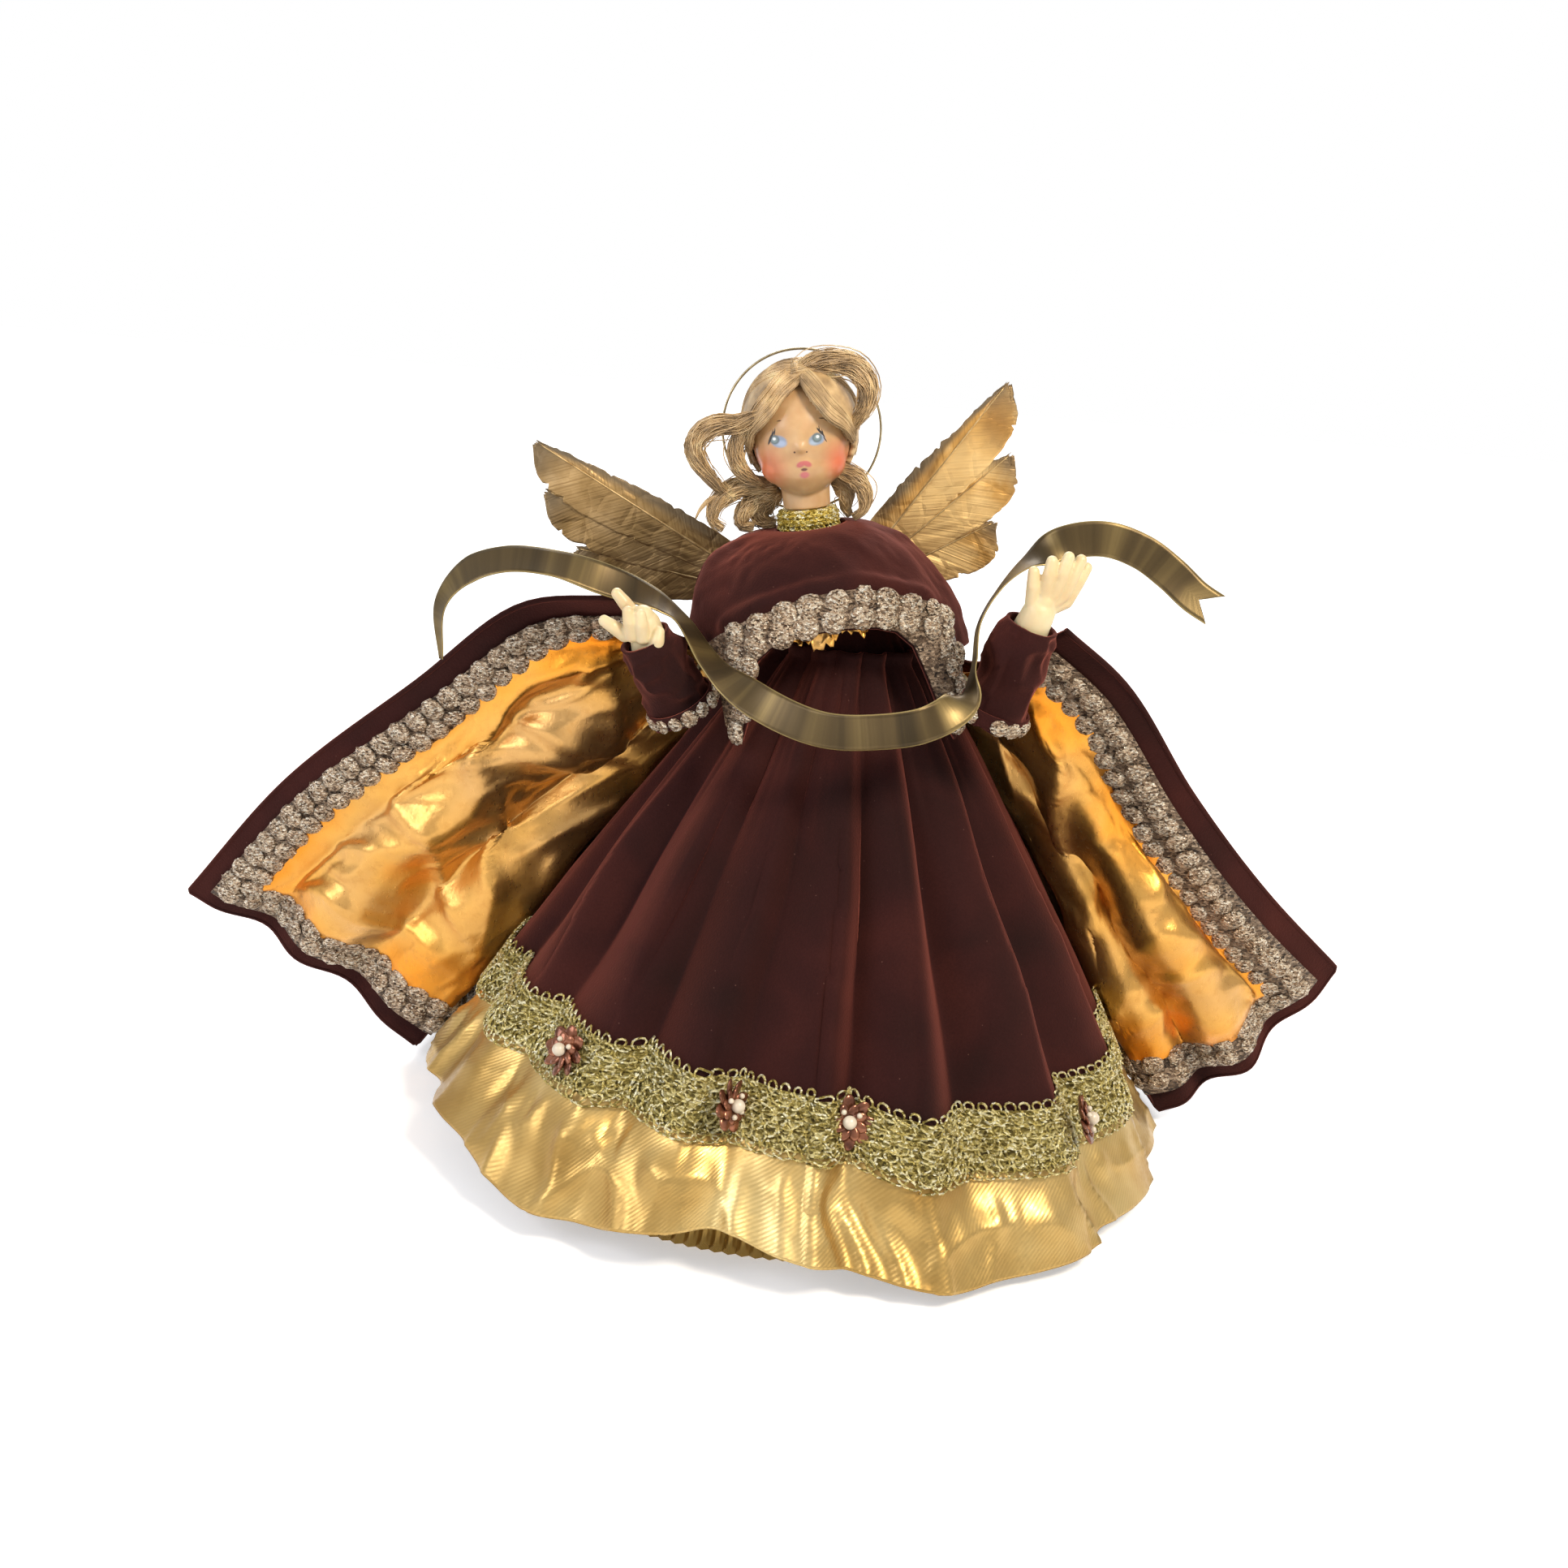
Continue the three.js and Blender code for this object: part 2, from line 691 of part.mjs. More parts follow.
function ringAround(curve, along, radius, sides) {
  const centre = curve.getPointAt(along);
  const tangent = curve.getTangentAt(along);
  const first = new THREE.Vector3().crossVectors(tangent, up).normalize();
  const second = new THREE.Vector3().crossVectors(first, tangent).normalize();
  const ring = [];
  for (let i = 0; i < sides; i += 1) {
    const turn = i / sides * 2 * Math.PI;
    ring.push(centre.clone().addScaledVector(first, Math.cos(turn) * radius)
      .addScaledVector(second, Math.sin(turn) * radius));
  }
  return ring;
}

const sleeveSides = 14;
const sleeveStations = [
  { alongShare: 1, wideShare: 0.8 }, { alongShare: 0.8, wideShare: 0.96 },
  { alongShare: 0.4, wideShare: 1 }, { alongShare: 0.12, wideShare: 1.08 },
  { alongShare: 0, wideShare: 1.12 },
];
const cuffShares = { start: 0.01, wide: 1.12 };

function sleeveGrid(side) {
  const curve = forearm(side);
  return sleeveStations.map(({ alongShare, wideShare }) => (
    ringAround(curve, alongShare, sleeveRadius * wideShare, sleeveSides)));
}

function cuffGrid(side) {
  const curve = forearm(side);
  const length = curve.getLength();
  return [cuffTrimWidth / length + cuffShares.start, cuffShares.start].map((along) => (
    ringAround(curve, along, sleeveRadius * cuffShares.wide, sleeveSides)));
}

const handShares = {
  left: {
    palm: [-0.444, -0.353, 1.08],
    tips: [[-0.515, -0.36, 1.107], [-0.537, -0.39, 1.067], [-0.467, -0.404, 1.107],
      [-0.434, -0.404, 1.101], [-0.386, -0.382, 1.067]],
  },
  right: {
    palm: [0.485, -0.382, 1.174],
    tips: [[0.434, -0.39, 1.225], [0.493, -0.39, 1.242], [0.518, -0.397, 1.256],
      [0.544, -0.397, 1.253], [0.566, -0.39, 1.236]],
  },
};
const fingerRadius = 1.9;
const palmThick = 4.2;

function ball(centre, radiusX, radiusY, radiusZ, wide, high) {
  const geometry = new THREE.SphereGeometry(1, wide, high);
  geometry.rotateX(Math.PI / 2);
  geometry.scale(radiusX, radiusY, radiusZ);
  geometry.translate(centre.x, centre.y, centre.z);
  return geometry;
}

function hand(side) {
  const wrist = forearm(side).getPointAt(0.9);
  const palmCentre = place(handShares[side].palm);
  const palm = ball(palmCentre, wristRadius * 1.05, palmThick, wristRadius * 1.2, 9, 6);
  const stem = bar(curveThrough([wrist, palmCentre]),
    (along) => THREE.MathUtils.lerp(wristRadius * 0.82, wristRadius * 0.78, along), 9, 1);
  const fingers = handShares[side].tips.map((tipShare) => {
    const tip = place(tipShare);
    const root = palmCentre.clone().lerp(tip, 0.25);
    return bar(curveThrough([root, tip]), (along) => fingerRadius * Math.sqrt(1.1 - along ** 4),
      6, 3);
  });
  const bore = bar(armWireCurve(side), () => armWireRadius + clearance, 6, 12);
  return cutAway(joined(palm, stem, ...fingers), bore);
}

// Ribbon: one thin brass strip from hand to hand, with a tail beyond each. Each point says
// where the strip runs and which way its width points.

const ribbonShares = [
  { at: [-0.93, -0.27, 0.955], wide: [0.8, 0.6, 0] },
  { at: [-0.934, -0.285, 1.06], wide: [0.6, 0.8, 0.1] },
  { at: [-0.875, -0.3, 1.125], wide: [0.3, 0.85, 0.4] },
  { at: [-0.779, -0.31, 1.157], wide: [0, 0.85, 0.5] },
  { at: [-0.662, -0.31, 1.157], wide: [0, 0.8, 0.6] },
  { at: [-0.551, -0.3, 1.136], wide: [0, 0.6, 0.8] },
  { at: [-0.42, -0.264, 1.1], wide: [0, 0.1, 1] },
  { at: [-0.36, -0.262, 1.07], wide: [0.1, 0, 1] },
  { at: [-0.26, -0.37, 1], wide: [0.1, 0.1, 1] },
  { at: [-0.13, -0.47, 0.955], wide: [0, 0.1, 1] },
  { at: [0, -0.53, 0.935], wide: [0, 0.1, 1] },
  { at: [0.12, -0.56, 0.945], wide: [0, 0, 1] },
  { at: [0.23, -0.555, 0.965], wide: [-0.1, 0.1, 1] },
  { at: [0.31, -0.5, 1], wide: [-0.3, 0.3, 0.9] },
  { at: [0.335, -0.42, 1.05], wide: [-0.4, 0.6, 0.6] },
  { at: [0.348, -0.33, 1.12], wide: [-0.5, 0.8, 0.3] },
  { at: [0.39, -0.275, 1.175], wide: [-0.5, 0.6, 0.6] },
  { at: [0.45, -0.25, 1.225], wide: [-0.3, 0.4, 0.8] },
  { at: [0.54, -0.25, 1.268], wide: [-0.1, 0.2, 1] },
  { at: [0.63, -0.25, 1.28], wide: [0, 0.1, 1] },
  { at: [0.72, -0.25, 1.262], wide: [0.1, 0.1, 1] },
  { at: [0.79, -0.265, 1.23], wide: [0.3, 0.2, 0.9] },
  { at: [0.85, -0.285, 1.195], wide: [0.5, 0.3, 0.8] },
  { at: [0.9, -0.3, 1.175], wide: [0.6, 0.3, 0.7] },
];
const ribbonRings = 3;
const tailShares = { tip: 0.15, taper: 9 };

function ribbon() {
  const curve = curveThrough(ribbonShares.map(({ at }) => place(at)));
  const lean = curveThrough(ribbonShares.map(({ wide }) => new THREE.Vector3(...wide)));
  const steps = ribbonRings * (ribbonShares.length - 1);
  const rings = [];
  for (let step = 0; step <= steps; step += 1) {
    const along = step / steps;
    const point = curve.getPoint(along);
    const tangent = curve.getTangent(along);
    const wide = lean.getPoint(along);
    wide.addScaledVector(tangent, -wide.dot(tangent)).normalize();
    const face = new THREE.Vector3().crossVectors(wide, tangent).normalize();
    const half = ribbonWidth / 2 * Math.min(1, tailShares.tip + tailShares.taper * along);
    rings.push([[-1, -1], [1, -1], [1, 1], [-1, 1]].map(([a, b]) => point.clone()
      .addScaledVector(wide, a * half).addScaledVector(face, b * ribbonThick / 2)));
  }
  return loft(rings);
}

// Head, hair, collar and halo, in the head's own frame from the neck's foot upwards

const headCentre = new THREE.Vector3(0, 0, headLift);
const headRadius = headWidth / 2;

function skull(extra) {
  return ball(headCentre, headRadius + extra, headRadius + extra, headHeight / 2 + extra, 16, 11);
}

function chin(extra) {
  const centre = new THREE.Vector3(0, -headRadius * 0.28, headLift - headHeight * 0.22);
  return ball(centre, headRadius * 0.72 + extra, headRadius * 0.68 + extra,
    headHeight * 0.27 + extra, 12, 8);
}

function headBlank() {
  const foot = throatRadius * Math.sin(radians(neckLean)) + clearance;
  const neck = new THREE.CylinderGeometry(throatRadius * 0.95, throatRadius, headLift - foot, 16);
  neck.rotateX(Math.PI / 2);
  neck.translate(0, 0, (headLift + foot) / 2);
  return joined(skull(0), chin(0), neck);
}

function peg(extra, length) {
  const rod = new THREE.CylinderGeometry(pegRadius + extra, pegRadius + extra, length, 16);
  rod.rotateX(Math.PI / 2);
  rod.translate(0, 0, length / 2 - pegDepth);
  return rod;
}

const hairCentre = new THREE.Vector3(0, hairThick * 0.6, headLift + hairThick * 0.7);

function hairShell(extra) {
  return ball(hairCentre, headRadius + hairThick + extra, headRadius + hairThick + extra,
    headHeight / 2 + hairThick * 0.8 + extra, 16, 11);
}

function hairCap() {
  const face = ball(new THREE.Vector3(0, -headRadius * 1.5, headLift - headHeight * 0.12),
    headRadius * 0.98, headRadius * 1.6, headHeight * 0.44, 14, 10);
  const under = new THREE.BoxGeometry(headWidth * 2, headWidth * 2, headHeight);
  under.translate(0, 0, headLift - headHeight * 0.34 - headHeight / 2);
  return cutAway(hairShell(0), skull(clearance), chin(clearance), face, under);
}

function bangShell(extra) {
  return ball(new THREE.Vector3(0, -hairThick * 0.2, headLift + hairThick * 0.4),
    headRadius + hairThick * 0.9 + extra, headRadius + hairThick * 0.9 + extra,
    headHeight / 2 + hairThick * 0.5 + extra, 18, 13);
}

// Locks of hair, as shares of the head's width and height from its centre
const lockShares = {
  hair_loop_right: {
    thickShare: 1,
    points: [[-0.1, -0.1, 0.5], [0.1, -0.14, 0.64], [0.42, -0.16, 0.6], [0.64, -0.16, 0.4],
      [0.66, -0.14, 0.22], [0.5, -0.1, 0.12]],
  },
  hair_loop_left: {
    thickShare: 0.94,
    points: [[-0.4, -0.3, 0.3], [-0.7, -0.3, 0.2], [-1.0, -0.26, 0.12], [-1.16, -0.24, -0.06],
      [-1.1, -0.22, -0.26], [-0.95, -0.2, -0.38]],
  },
  hair_curl_left_1: {
    thickShare: 1,
    points: [[-0.45, -0.02, -0.1], [-0.66, -0.1, -0.34], [-0.86, -0.14, -0.52],
      [-0.92, -0.16, -0.66], [-0.82, -0.16, -0.74], [-0.68, -0.14, -0.72]],
  },
  hair_curl_left_2: {
    thickShare: 0.89,
    points: [[-0.4, 0.1, -0.2], [-0.5, 0.12, -0.5], [-0.52, 0.1, -0.6], [-0.44, 0.06, -0.66]],
  },
  hair_curl_right_1: {
    thickShare: 0.89,
    points: [[0.45, -0.02, -0.1], [0.56, -0.06, -0.34], [0.64, -0.1, -0.54],
      [0.56, -0.12, -0.68], [0.44, -0.12, -0.7]],
  },
};

function lock({ thickShare, points }) {
  const curve = curveThrough(points.map(([x, y, z]) => new THREE.Vector3(
    x * headWidth, y * headWidth, headLift + z * headHeight)));
  const width = (along) => lockRadius * thickShare
    * (0.55 + 0.45 * Math.sin(Math.PI * Math.min(1, along + 0.12)));
  return cutAway(bar(curve, width, 8, 10), hairShell(clearance), skull(clearance),
    bangShell(clearance));
}

// Bangs part in the middle and sweep to the temples.
function bang(sign) {
  const sweep = new THREE.Shape();
  const across = headWidth * sign;
  sweep.moveTo(across * 0.015, headHeight * 0.5);
  sweep.lineTo(across * 0.015, headHeight * 0.33);
  sweep.quadraticCurveTo(across * 0.16, headHeight * 0.26, across * 0.33, headHeight * 0.08);
  sweep.lineTo(across * 0.44, -headHeight * 0.04);
  sweep.lineTo(across * 0.56, -headHeight * 0.02);
  sweep.lineTo(across * 0.56, headHeight * 0.5);
  const slab = new THREE.ExtrudeGeometry(sweep, {
    depth: headWidth, bevelEnabled: false, curveSegments: 6,
  });
  slab.rotateX(Math.PI / 2);
  slab.translate(0, 0, headLift);
  const blank = solidOf(bangShell(0)).intersect(solidOf(slab));
  return cutAway(geometryOf(blank), skull(clearance), hairShell(clearance));
}

function collar() {
  const inner = throatRadius + clearance;
  const profile = [
    [inner, collarHeight], [inner + collarThick * 0.6, collarHeight],
    [inner + collarThick * 1.05, collarHeight * 1.3], [inner + collarThick, collarHeight * 1.8],
    [inner + collarThick * 0.5, collarHeight * 2.1], [inner, collarHeight * 2],
    [inner, collarHeight],
  ].map(([radius, height]) => new THREE.Vector2(radius, height));
  const ring = new THREE.LatheGeometry(profile, 22);
  ring.rotateX(Math.PI / 2);
  return ring;
}

// The halo stands behind the head on a wire that enters the back of the hair.
const haloCentre = new THREE.Vector3(0, headRadius * 0.95, headLift);

function haloStem(extra) {
  const foot = haloCentre.clone().addScaledVector(up, -haloRadius);
  const top = new THREE.Vector3(0, headRadius, headLift - headHeight * 0.22);
  return bar(curveThrough([foot, top]), () => haloWire + extra, 6, 2);
}

function halo() {
  const ring = new THREE.TorusGeometry(haloRadius, haloWire, 6, 32);
  ring.rotateX(Math.PI / 2);
  ring.translate(haloCentre.x, haloCentre.y, haloCentre.z);
  return joined(ring, haloStem(0));
}

// Wings: three gilt feathers on a foil, each wing on a wire pin through the cape

const wingShares = {
  left: {
    root: [-0.125, 0, 1.045],
    leadsUp: -1,
    feathers: [{ lengthShare: 0.77, angle: 152 }, { lengthShare: 0.69, angle: 160 },
      { lengthShare: 0.57, angle: 171 }],
  },
  right: {
    root: [0.015, 0, 1.056],
    leadsUp: 1,
    feathers: [{ lengthShare: 0.72, angle: 57 }, { lengthShare: 0.6, angle: 45 },
      { lengthShare: 0.47, angle: 31 }],
  },
};

// A feather is narrow at its root; its leading blade is slim and its trailing blade fills out
// towards the tip. `up` is 1 where the leading blade is on the shape's upper side.
function featherShape(length, up, grown) {
  const lead = up * featherLead * grown;
  const trail = -up * featherTrail * grown;
  const root = up * featherRoot;
  const shape = new THREE.Shape();
  shape.moveTo(0, -root);
  shape.bezierCurveTo(length * 0.4, trail * 0.4, length * 0.85, trail * 2, length, trail * 0.12);
  shape.lineTo(length, lead * 0.08);
  shape.bezierCurveTo(length * 0.5, lead, length * 0.2, lead * 1.5, 0, root);
  shape.lineTo(0, -root);
  return shape;
}

function wingPlate(shape, angle, layer) {
  const plate = new THREE.ExtrudeGeometry(shape, {
    depth: featherThick, bevelEnabled: false, curveSegments: 9,
  });
  plate.rotateZ(radians(angle));
  plate.rotateX(Math.PI / 2);
  plate.translate(0, featherThick + layer * (featherThick + clearance), 0);
  return cutAway(plate, wingPin(clearance));
}

// The pin runs from the torso's back to the hub behind the wing.
const hubFront = 4 * (featherThick + clearance);

function wingPin(extra) {
  const length = wingDepth - wingPinStart + hubFront + hubThick;
  const pin = new THREE.CylinderGeometry(wingPinRadius + extra, wingPinRadius + extra, length, 10);
  pin.translate(0, hubFront + hubThick - length / 2, 0);
  return pin;
}

function wingHub() {
  const hub = new THREE.CylinderGeometry(hubRadius, hubRadius, hubThick, 20);
  hub.translate(0, hubFront + hubThick / 2, 0);
  return joined(hub, wingPin(0));
}

function wingRoot(side) {
  const root = place(wingShares[side].root);
  root.y = wingDepth;
  return root;
}

function pinHole(side) {
  const root = wingRoot(side);
  return wingPin(clearance).translate(root.x, root.y, root.z);
}

// The scene

const angel = new THREE.Group();

function finish(colour, roughness, metalness) {
  return new THREE.MeshStandardMaterial({ color: colour, roughness, metalness });
}

function add(parent, name, geometry, material) {
  const mesh = new THREE.Mesh(geometry, material);
  mesh.name = name;
  parent.add(mesh);
  return mesh;
}

// The whole part stands with the middle of its outline on the origin.
const body = new THREE.Group();
const outline = new THREE.Box3().setFromPoints([...cape.flat(), ...skirtGrid.flat()]);
const middle = outline.getCenter(new THREE.Vector3());
body.position.set(-middle.x, -middle.y, 0);
angel.add(body);

add(body, 'base_cone', baseCone().rotateX(Math.PI / 2), finish(0xa9853f, 0.45, 0.6));
add(body, 'cone_cap', coneCap(), finish(0xb7a98a, 0.9, 0));

const headGroup = new THREE.Group();
headGroup.position.set(neckOffset, -neckForward, neckHeight);
headGroup.rotation.y = -radians(neckLean);
headGroup.updateMatrix();
body.add(headGroup);

const pegTool = peg(clearance, pegDepth + pegRise).applyMatrix4(headGroup.matrix);
const wireTools = ['left', 'right'].map((side) => (
  bar(armWireCurve(side), () => armWireRadius + clearance, 6, 12)));
const pinTools = ['left', 'right'].map(pinHole);

add(body, 'torso', cutAway(torsoBlank(), pegTool, ...wireTools, ...pinTools),
  finish(0xcfc6b0, 0.95, 0));
add(body, 'bodice', cutAway(bodiceBlank(), ...wireTools, ...pinTools),
  finish(velvetColour, 0.95, 0));
add(body, 'skirt_velvet',
  sheet(skirtGrid, 0, velvetThick, true, (row) => row < rowOf('seam')),
  finish(velvetColour, 0.95, 0));
add(body, 'hem_band',
  sheet(skirtGrid, clearance / 2, foilThick + clearance / 2, true, (row) => row >= rowOf('band')),
  finish(lameColour, 0.35, 0.7));
add(body, 'lace_braid',
  sheet(laceGrid, laceBase, laceBase + laceThick, true, () => true),
  finish(0xa99a4a, 0.5, 0.6));

broochAngles.forEach((angle, index) => {
  const { point, normal } = broochFrame(angle);
  const mount = new THREE.Group();
  const lift = laceBase + laceThick + clearance;
  mount.position.copy(point).addScaledVector(normal, lift);
  mount.quaternion.setFromUnitVectors(up, normal);
  body.add(mount);
  add(mount, `brooch_flower_${index + 1}`, flower(), finish(0x7a4a35, 0.3, 0.1));
  const pearl = new THREE.SphereGeometry(pearlRadius, 8, 6);
  pearl.translate(0, 0, petalThick + clearance + pearlRadius);
  add(mount, `brooch_pearl_${index + 1}`, pearl, finish(0xe8dcc8, 0.25, 0));
});

add(body, 'mantle_velvet',
  cutAway(sheet(cape, 0, velvetThick, false, () => true), ...pinTools),
  finish(velvetColour, 0.95, 0));
add(body, 'mantle_lining',
  cutAway(sheet(cape, liningLow, liningTop, false, inLining), ...pinTools),
  finish(foilColour, 0.3, 0.85));
add(body, 'mantle_trim', sheet(cape, trimTop - braidThick, trimTop, false, inTrim),
  finish(braidColour, 0.6, 0.5));

add(body, 'capelet_velvet', sheet(capeletGrid, 0, velvetThick, true, () => true),
  finish(velvetColour, 0.95, 0));
add(body, 'capelet_lining',
  sheet(capeletGrid, liningLow, liningTop, true, inCapeletLining),
  finish(foilColour, 0.3, 0.85));
add(body, 'capelet_trim',
  sheet(capeletGrid, velvetThick + clearance, velvetThick + clearance + braidThick, true,
    (row, col) => row >= 4 && between(trimAngles, col)),
  finish(braidColour, 0.6, 0.5));

['left', 'right'].forEach((side) => {
  add(body, `arm_wire_${side}`, bar(armWireCurve(side), () => armWireRadius, 6, 12),
    finish(0x8a7a55, 0.4, 0.9));
  add(body, `sleeve_${side}`, sheet(sleeveGrid(side), -velvetThick, 0, true, () => true),
    finish(velvetColour, 0.95, 0));
  add(body, `sleeve_trim_${side}`,
    sheet(cuffGrid(side), clearance, clearance + braidThick, true, () => true),
    finish(braidColour, 0.6, 0.5));
  add(body, `hand_${side}`, hand(side), finish(0xe8d6a4, 0.45, 0));
});

add(body, 'ribbon', ribbon(), finish(0x8a7440, 0.35, 0.9));

add(headGroup, 'neck_peg', peg(0, pegDepth + pegRise - clearance), finish(0xb58a58, 0.8, 0));
add(headGroup, 'head_wax',
  cutAway(headBlank(), peg(clearance, pegDepth + pegRise)),
  finish(waxColour, 0.5, 0));
add(headGroup, 'hair_cap', cutAway(hairCap(), haloStem(clearance)), finish(hairColour, 0.7, 0));
Object.entries(lockShares).forEach(([name, shape]) => {
  add(headGroup, name, lock(shape), finish(hairColour, 0.7, 0));
});
add(headGroup, 'hair_bang_left', bang(-1), finish(hairColour, 0.7, 0));
add(headGroup, 'hair_bang_right', bang(1), finish(hairColour, 0.7, 0));
add(headGroup, 'collar_braid', collar(), finish(0xc8a838, 0.4, 0.7));
add(headGroup, 'halo_ring', halo(), finish(0x9a8450, 0.3, 1));

Object.entries(wingShares).forEach(([side, { feathers, leadsUp }]) => {
  const wing = new THREE.Group();
  wing.position.copy(wingRoot(side));
  body.add(wing);
  feathers.forEach(({ lengthShare, angle }, index) => {
    add(wing, `wing_${side}_feather_${index + 1}`,
      wingPlate(featherShape(lengthShare * hemRadius, leadsUp, 1), angle, index),
      finish(giltColour, 0.45, 0.7));
  });
  const last = feathers.length - 1;
  const middle = (feathers[0].angle + feathers[last].angle) / 2;
  add(wing, `wing_${side}_foil`,
    wingPlate(featherShape(feathers[last].lengthShare * hemRadius, leadsUp, foilGrown),
      middle, feathers.length),
    finish(foilColour, 0.3, 0.85));
  add(wing, `wing_${side}_pin`, wingHub(), finish(0x8a7a55, 0.4, 0.9));
});

export default angel;
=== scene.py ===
import math

import bpy
import numpy as np
from mathutils import Matrix, Vector


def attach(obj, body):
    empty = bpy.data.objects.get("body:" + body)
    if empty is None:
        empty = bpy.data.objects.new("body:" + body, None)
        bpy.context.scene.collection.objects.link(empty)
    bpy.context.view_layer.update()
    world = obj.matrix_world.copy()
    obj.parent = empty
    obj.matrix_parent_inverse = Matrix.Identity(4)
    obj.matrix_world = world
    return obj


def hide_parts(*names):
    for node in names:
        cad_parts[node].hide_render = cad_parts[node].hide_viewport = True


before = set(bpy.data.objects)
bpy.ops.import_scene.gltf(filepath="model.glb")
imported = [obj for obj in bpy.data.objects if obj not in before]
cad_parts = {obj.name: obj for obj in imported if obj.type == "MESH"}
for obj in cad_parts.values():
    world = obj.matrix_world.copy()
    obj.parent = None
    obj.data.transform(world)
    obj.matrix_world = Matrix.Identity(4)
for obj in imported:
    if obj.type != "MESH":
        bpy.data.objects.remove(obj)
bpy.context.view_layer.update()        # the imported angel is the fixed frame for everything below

# Wax doll angel tree topper: velvet gown, foil-lined cape, gilt feather wings.
# Sizes in the dictionaries are millimetres and degrees; meshes are made in metres.

milli = 0.001
fullTurn = 2 * math.pi

# Camera, backdrop and lamps

view = {
    "eye": (3.3, -679.9, 320.1), "target": (3.3, -7.0, 127.2),
    "lens": 45.67, "sensor": 36, "roll": 5,
}
lamps = [   # sizes in millimetres, power in watts
    {"at": (430, -560, 780), "aim": (0, 0, 130), "size": (240, 240), "power": 8.2, "tone": "#fff2de"},
    {"at": (-640, -460, 460), "aim": (0, 0, 130), "size": (420, 420), "power": 3, "tone": "#f2f4ff"},
    {"at": (0, 520, 620), "aim": (0, 0, 160), "size": (400, 300), "power": 2.6, "tone": "#ffffff"},
]
backdrop = {
    "lit": 0.5, "roomLow": 0.36, "roomHigh": 1.0, "floor": "#f4f4f4", "roughness": 0.9,
    "spread": 6000, "below": 0.4, "glow": 0.42, "glowFrom": 300, "glowTo": 1100,
}


def tone(code):
    channels = [int(code[i:i + 2], 16) / 255 for i in (1, 3, 5)]
    return [c / 12.92 if c <= 0.04045 else ((c + 0.055) / 1.055) ** 2.4 for c in channels] + [1.0]


def inMetres(values):
    return [value * milli for value in values]


def clearSelection():
    for thing in bpy.context.selected_objects:
        thing.select_set(False)


def aimedAt(place, target, roll=0):
    look = (Vector(target) - Vector(place)).to_track_quat("-Z", "Y").to_matrix()
    return (look @ Matrix.Rotation(math.radians(roll), 3, "Z")).to_euler()


clearSelection()
bpy.ops.object.camera_add(location=inMetres(view["eye"]),
                          rotation=aimedAt(view["eye"], view["target"], view["roll"]))
camera = bpy.context.object
camera.data.lens = view["lens"]
camera.data.sensor_width = view["sensor"]
bpy.context.scene.camera = camera
bpy.context.scene.view_settings.view_transform = "Standard"

for lamp in lamps:
    bpy.ops.object.light_add(type="AREA", location=inMetres(lamp["at"]),
                             rotation=aimedAt(lamp["at"], lamp["aim"]))
    light = bpy.context.object.data
    light.shape = "RECTANGLE"
    light.size, light.size_y = inMetres(lamp["size"])
    light.energy = lamp["power"]
    light.color = tone(lamp["tone"])[:3]


def addNode(paint, kind, **values):
    # Adds a shader node; in_ names one of its inputs, given a value or another node's output.
    node = paint.node_tree.nodes.new(kind)
    for key, value in values.items():
        if not key.startswith("in_"):
            setattr(node, key, value)
            continue
        name = key[3:]
        socket = node.inputs[int(name) if name.isdigit() else name.replace("_", " ")]
        if hasattr(value, "is_linked"):
            paint.node_tree.links.new(value, socket)
        else:
            socket.default_value = value
    return node


def axes(paint, vector):
    return addNode(paint, "ShaderNodeSeparateXYZ", in_0=vector).outputs


def numbers(paint, operation, *values):
    sockets = {f"in_{index}": value for index, value in enumerate(values)}
    return addNode(paint, "ShaderNodeMath", operation=operation, **sockets).outputs[0]


def ranged(paint, value, low, high, first, last, **kind):
    # Maps the stretch from low to high onto first to last and holds both ends.
    return addNode(paint, "ShaderNodeMapRange", in_0=value, in_1=low, in_2=high, in_3=first,
                   in_4=last, **kind).outputs[0]


def newFinish(name, roughness, metallic=0.0, **sockets):
    paint = bpy.data.materials.new(name)
    paint.use_nodes = True
    shader = paint.node_tree.nodes["Principled BSDF"]
    shader.inputs["Roughness"].default_value = roughness
    shader.inputs["Metallic"].default_value = metallic
    for key, value in sockets.items():
        shader.inputs[key.replace("_", " ")].default_value = value
    return paint


def dressWorld():
    world = bpy.data.worlds.new("studio")
    bpy.context.scene.world = world
    world.use_nodes = True
    rays = addNode(world, "ShaderNodeLightPath").outputs
    aim = axes(world, addNode(world, "ShaderNodeTexCoord").outputs["Generated"])
    # Mirrored rays see the white backdrop behind the angel, and in front a room lit from above.
    behind = ranged(world, aim["Y"], -0.1, 0.4, 0.0, 1.0)
    room = ranged(world, aim["Z"], -0.35, 0.6, backdrop["roomLow"], backdrop["roomHigh"])
    seen = numbers(world, "MAXIMUM", behind, room)
    mirrored = numbers(world, "MAXIMUM", rays["Is Glossy Ray"], rays["Is Transmission Ray"])
    lit = addNode(world, "ShaderNodeMix", data_type="FLOAT", in_0=mirrored,
                  in_2=backdrop["lit"], in_3=seen).outputs[0]
    strength = addNode(world, "ShaderNodeMix", data_type="FLOAT", in_0=rays["Is Camera Ray"],
                       in_2=lit, in_3=1.0).outputs[0]
    sky = world.node_tree.nodes["Background"]
    world.node_tree.links.new(strength, sky.inputs["Strength"])
    sky.inputs["Color"].default_value = (1, 1, 1, 1)


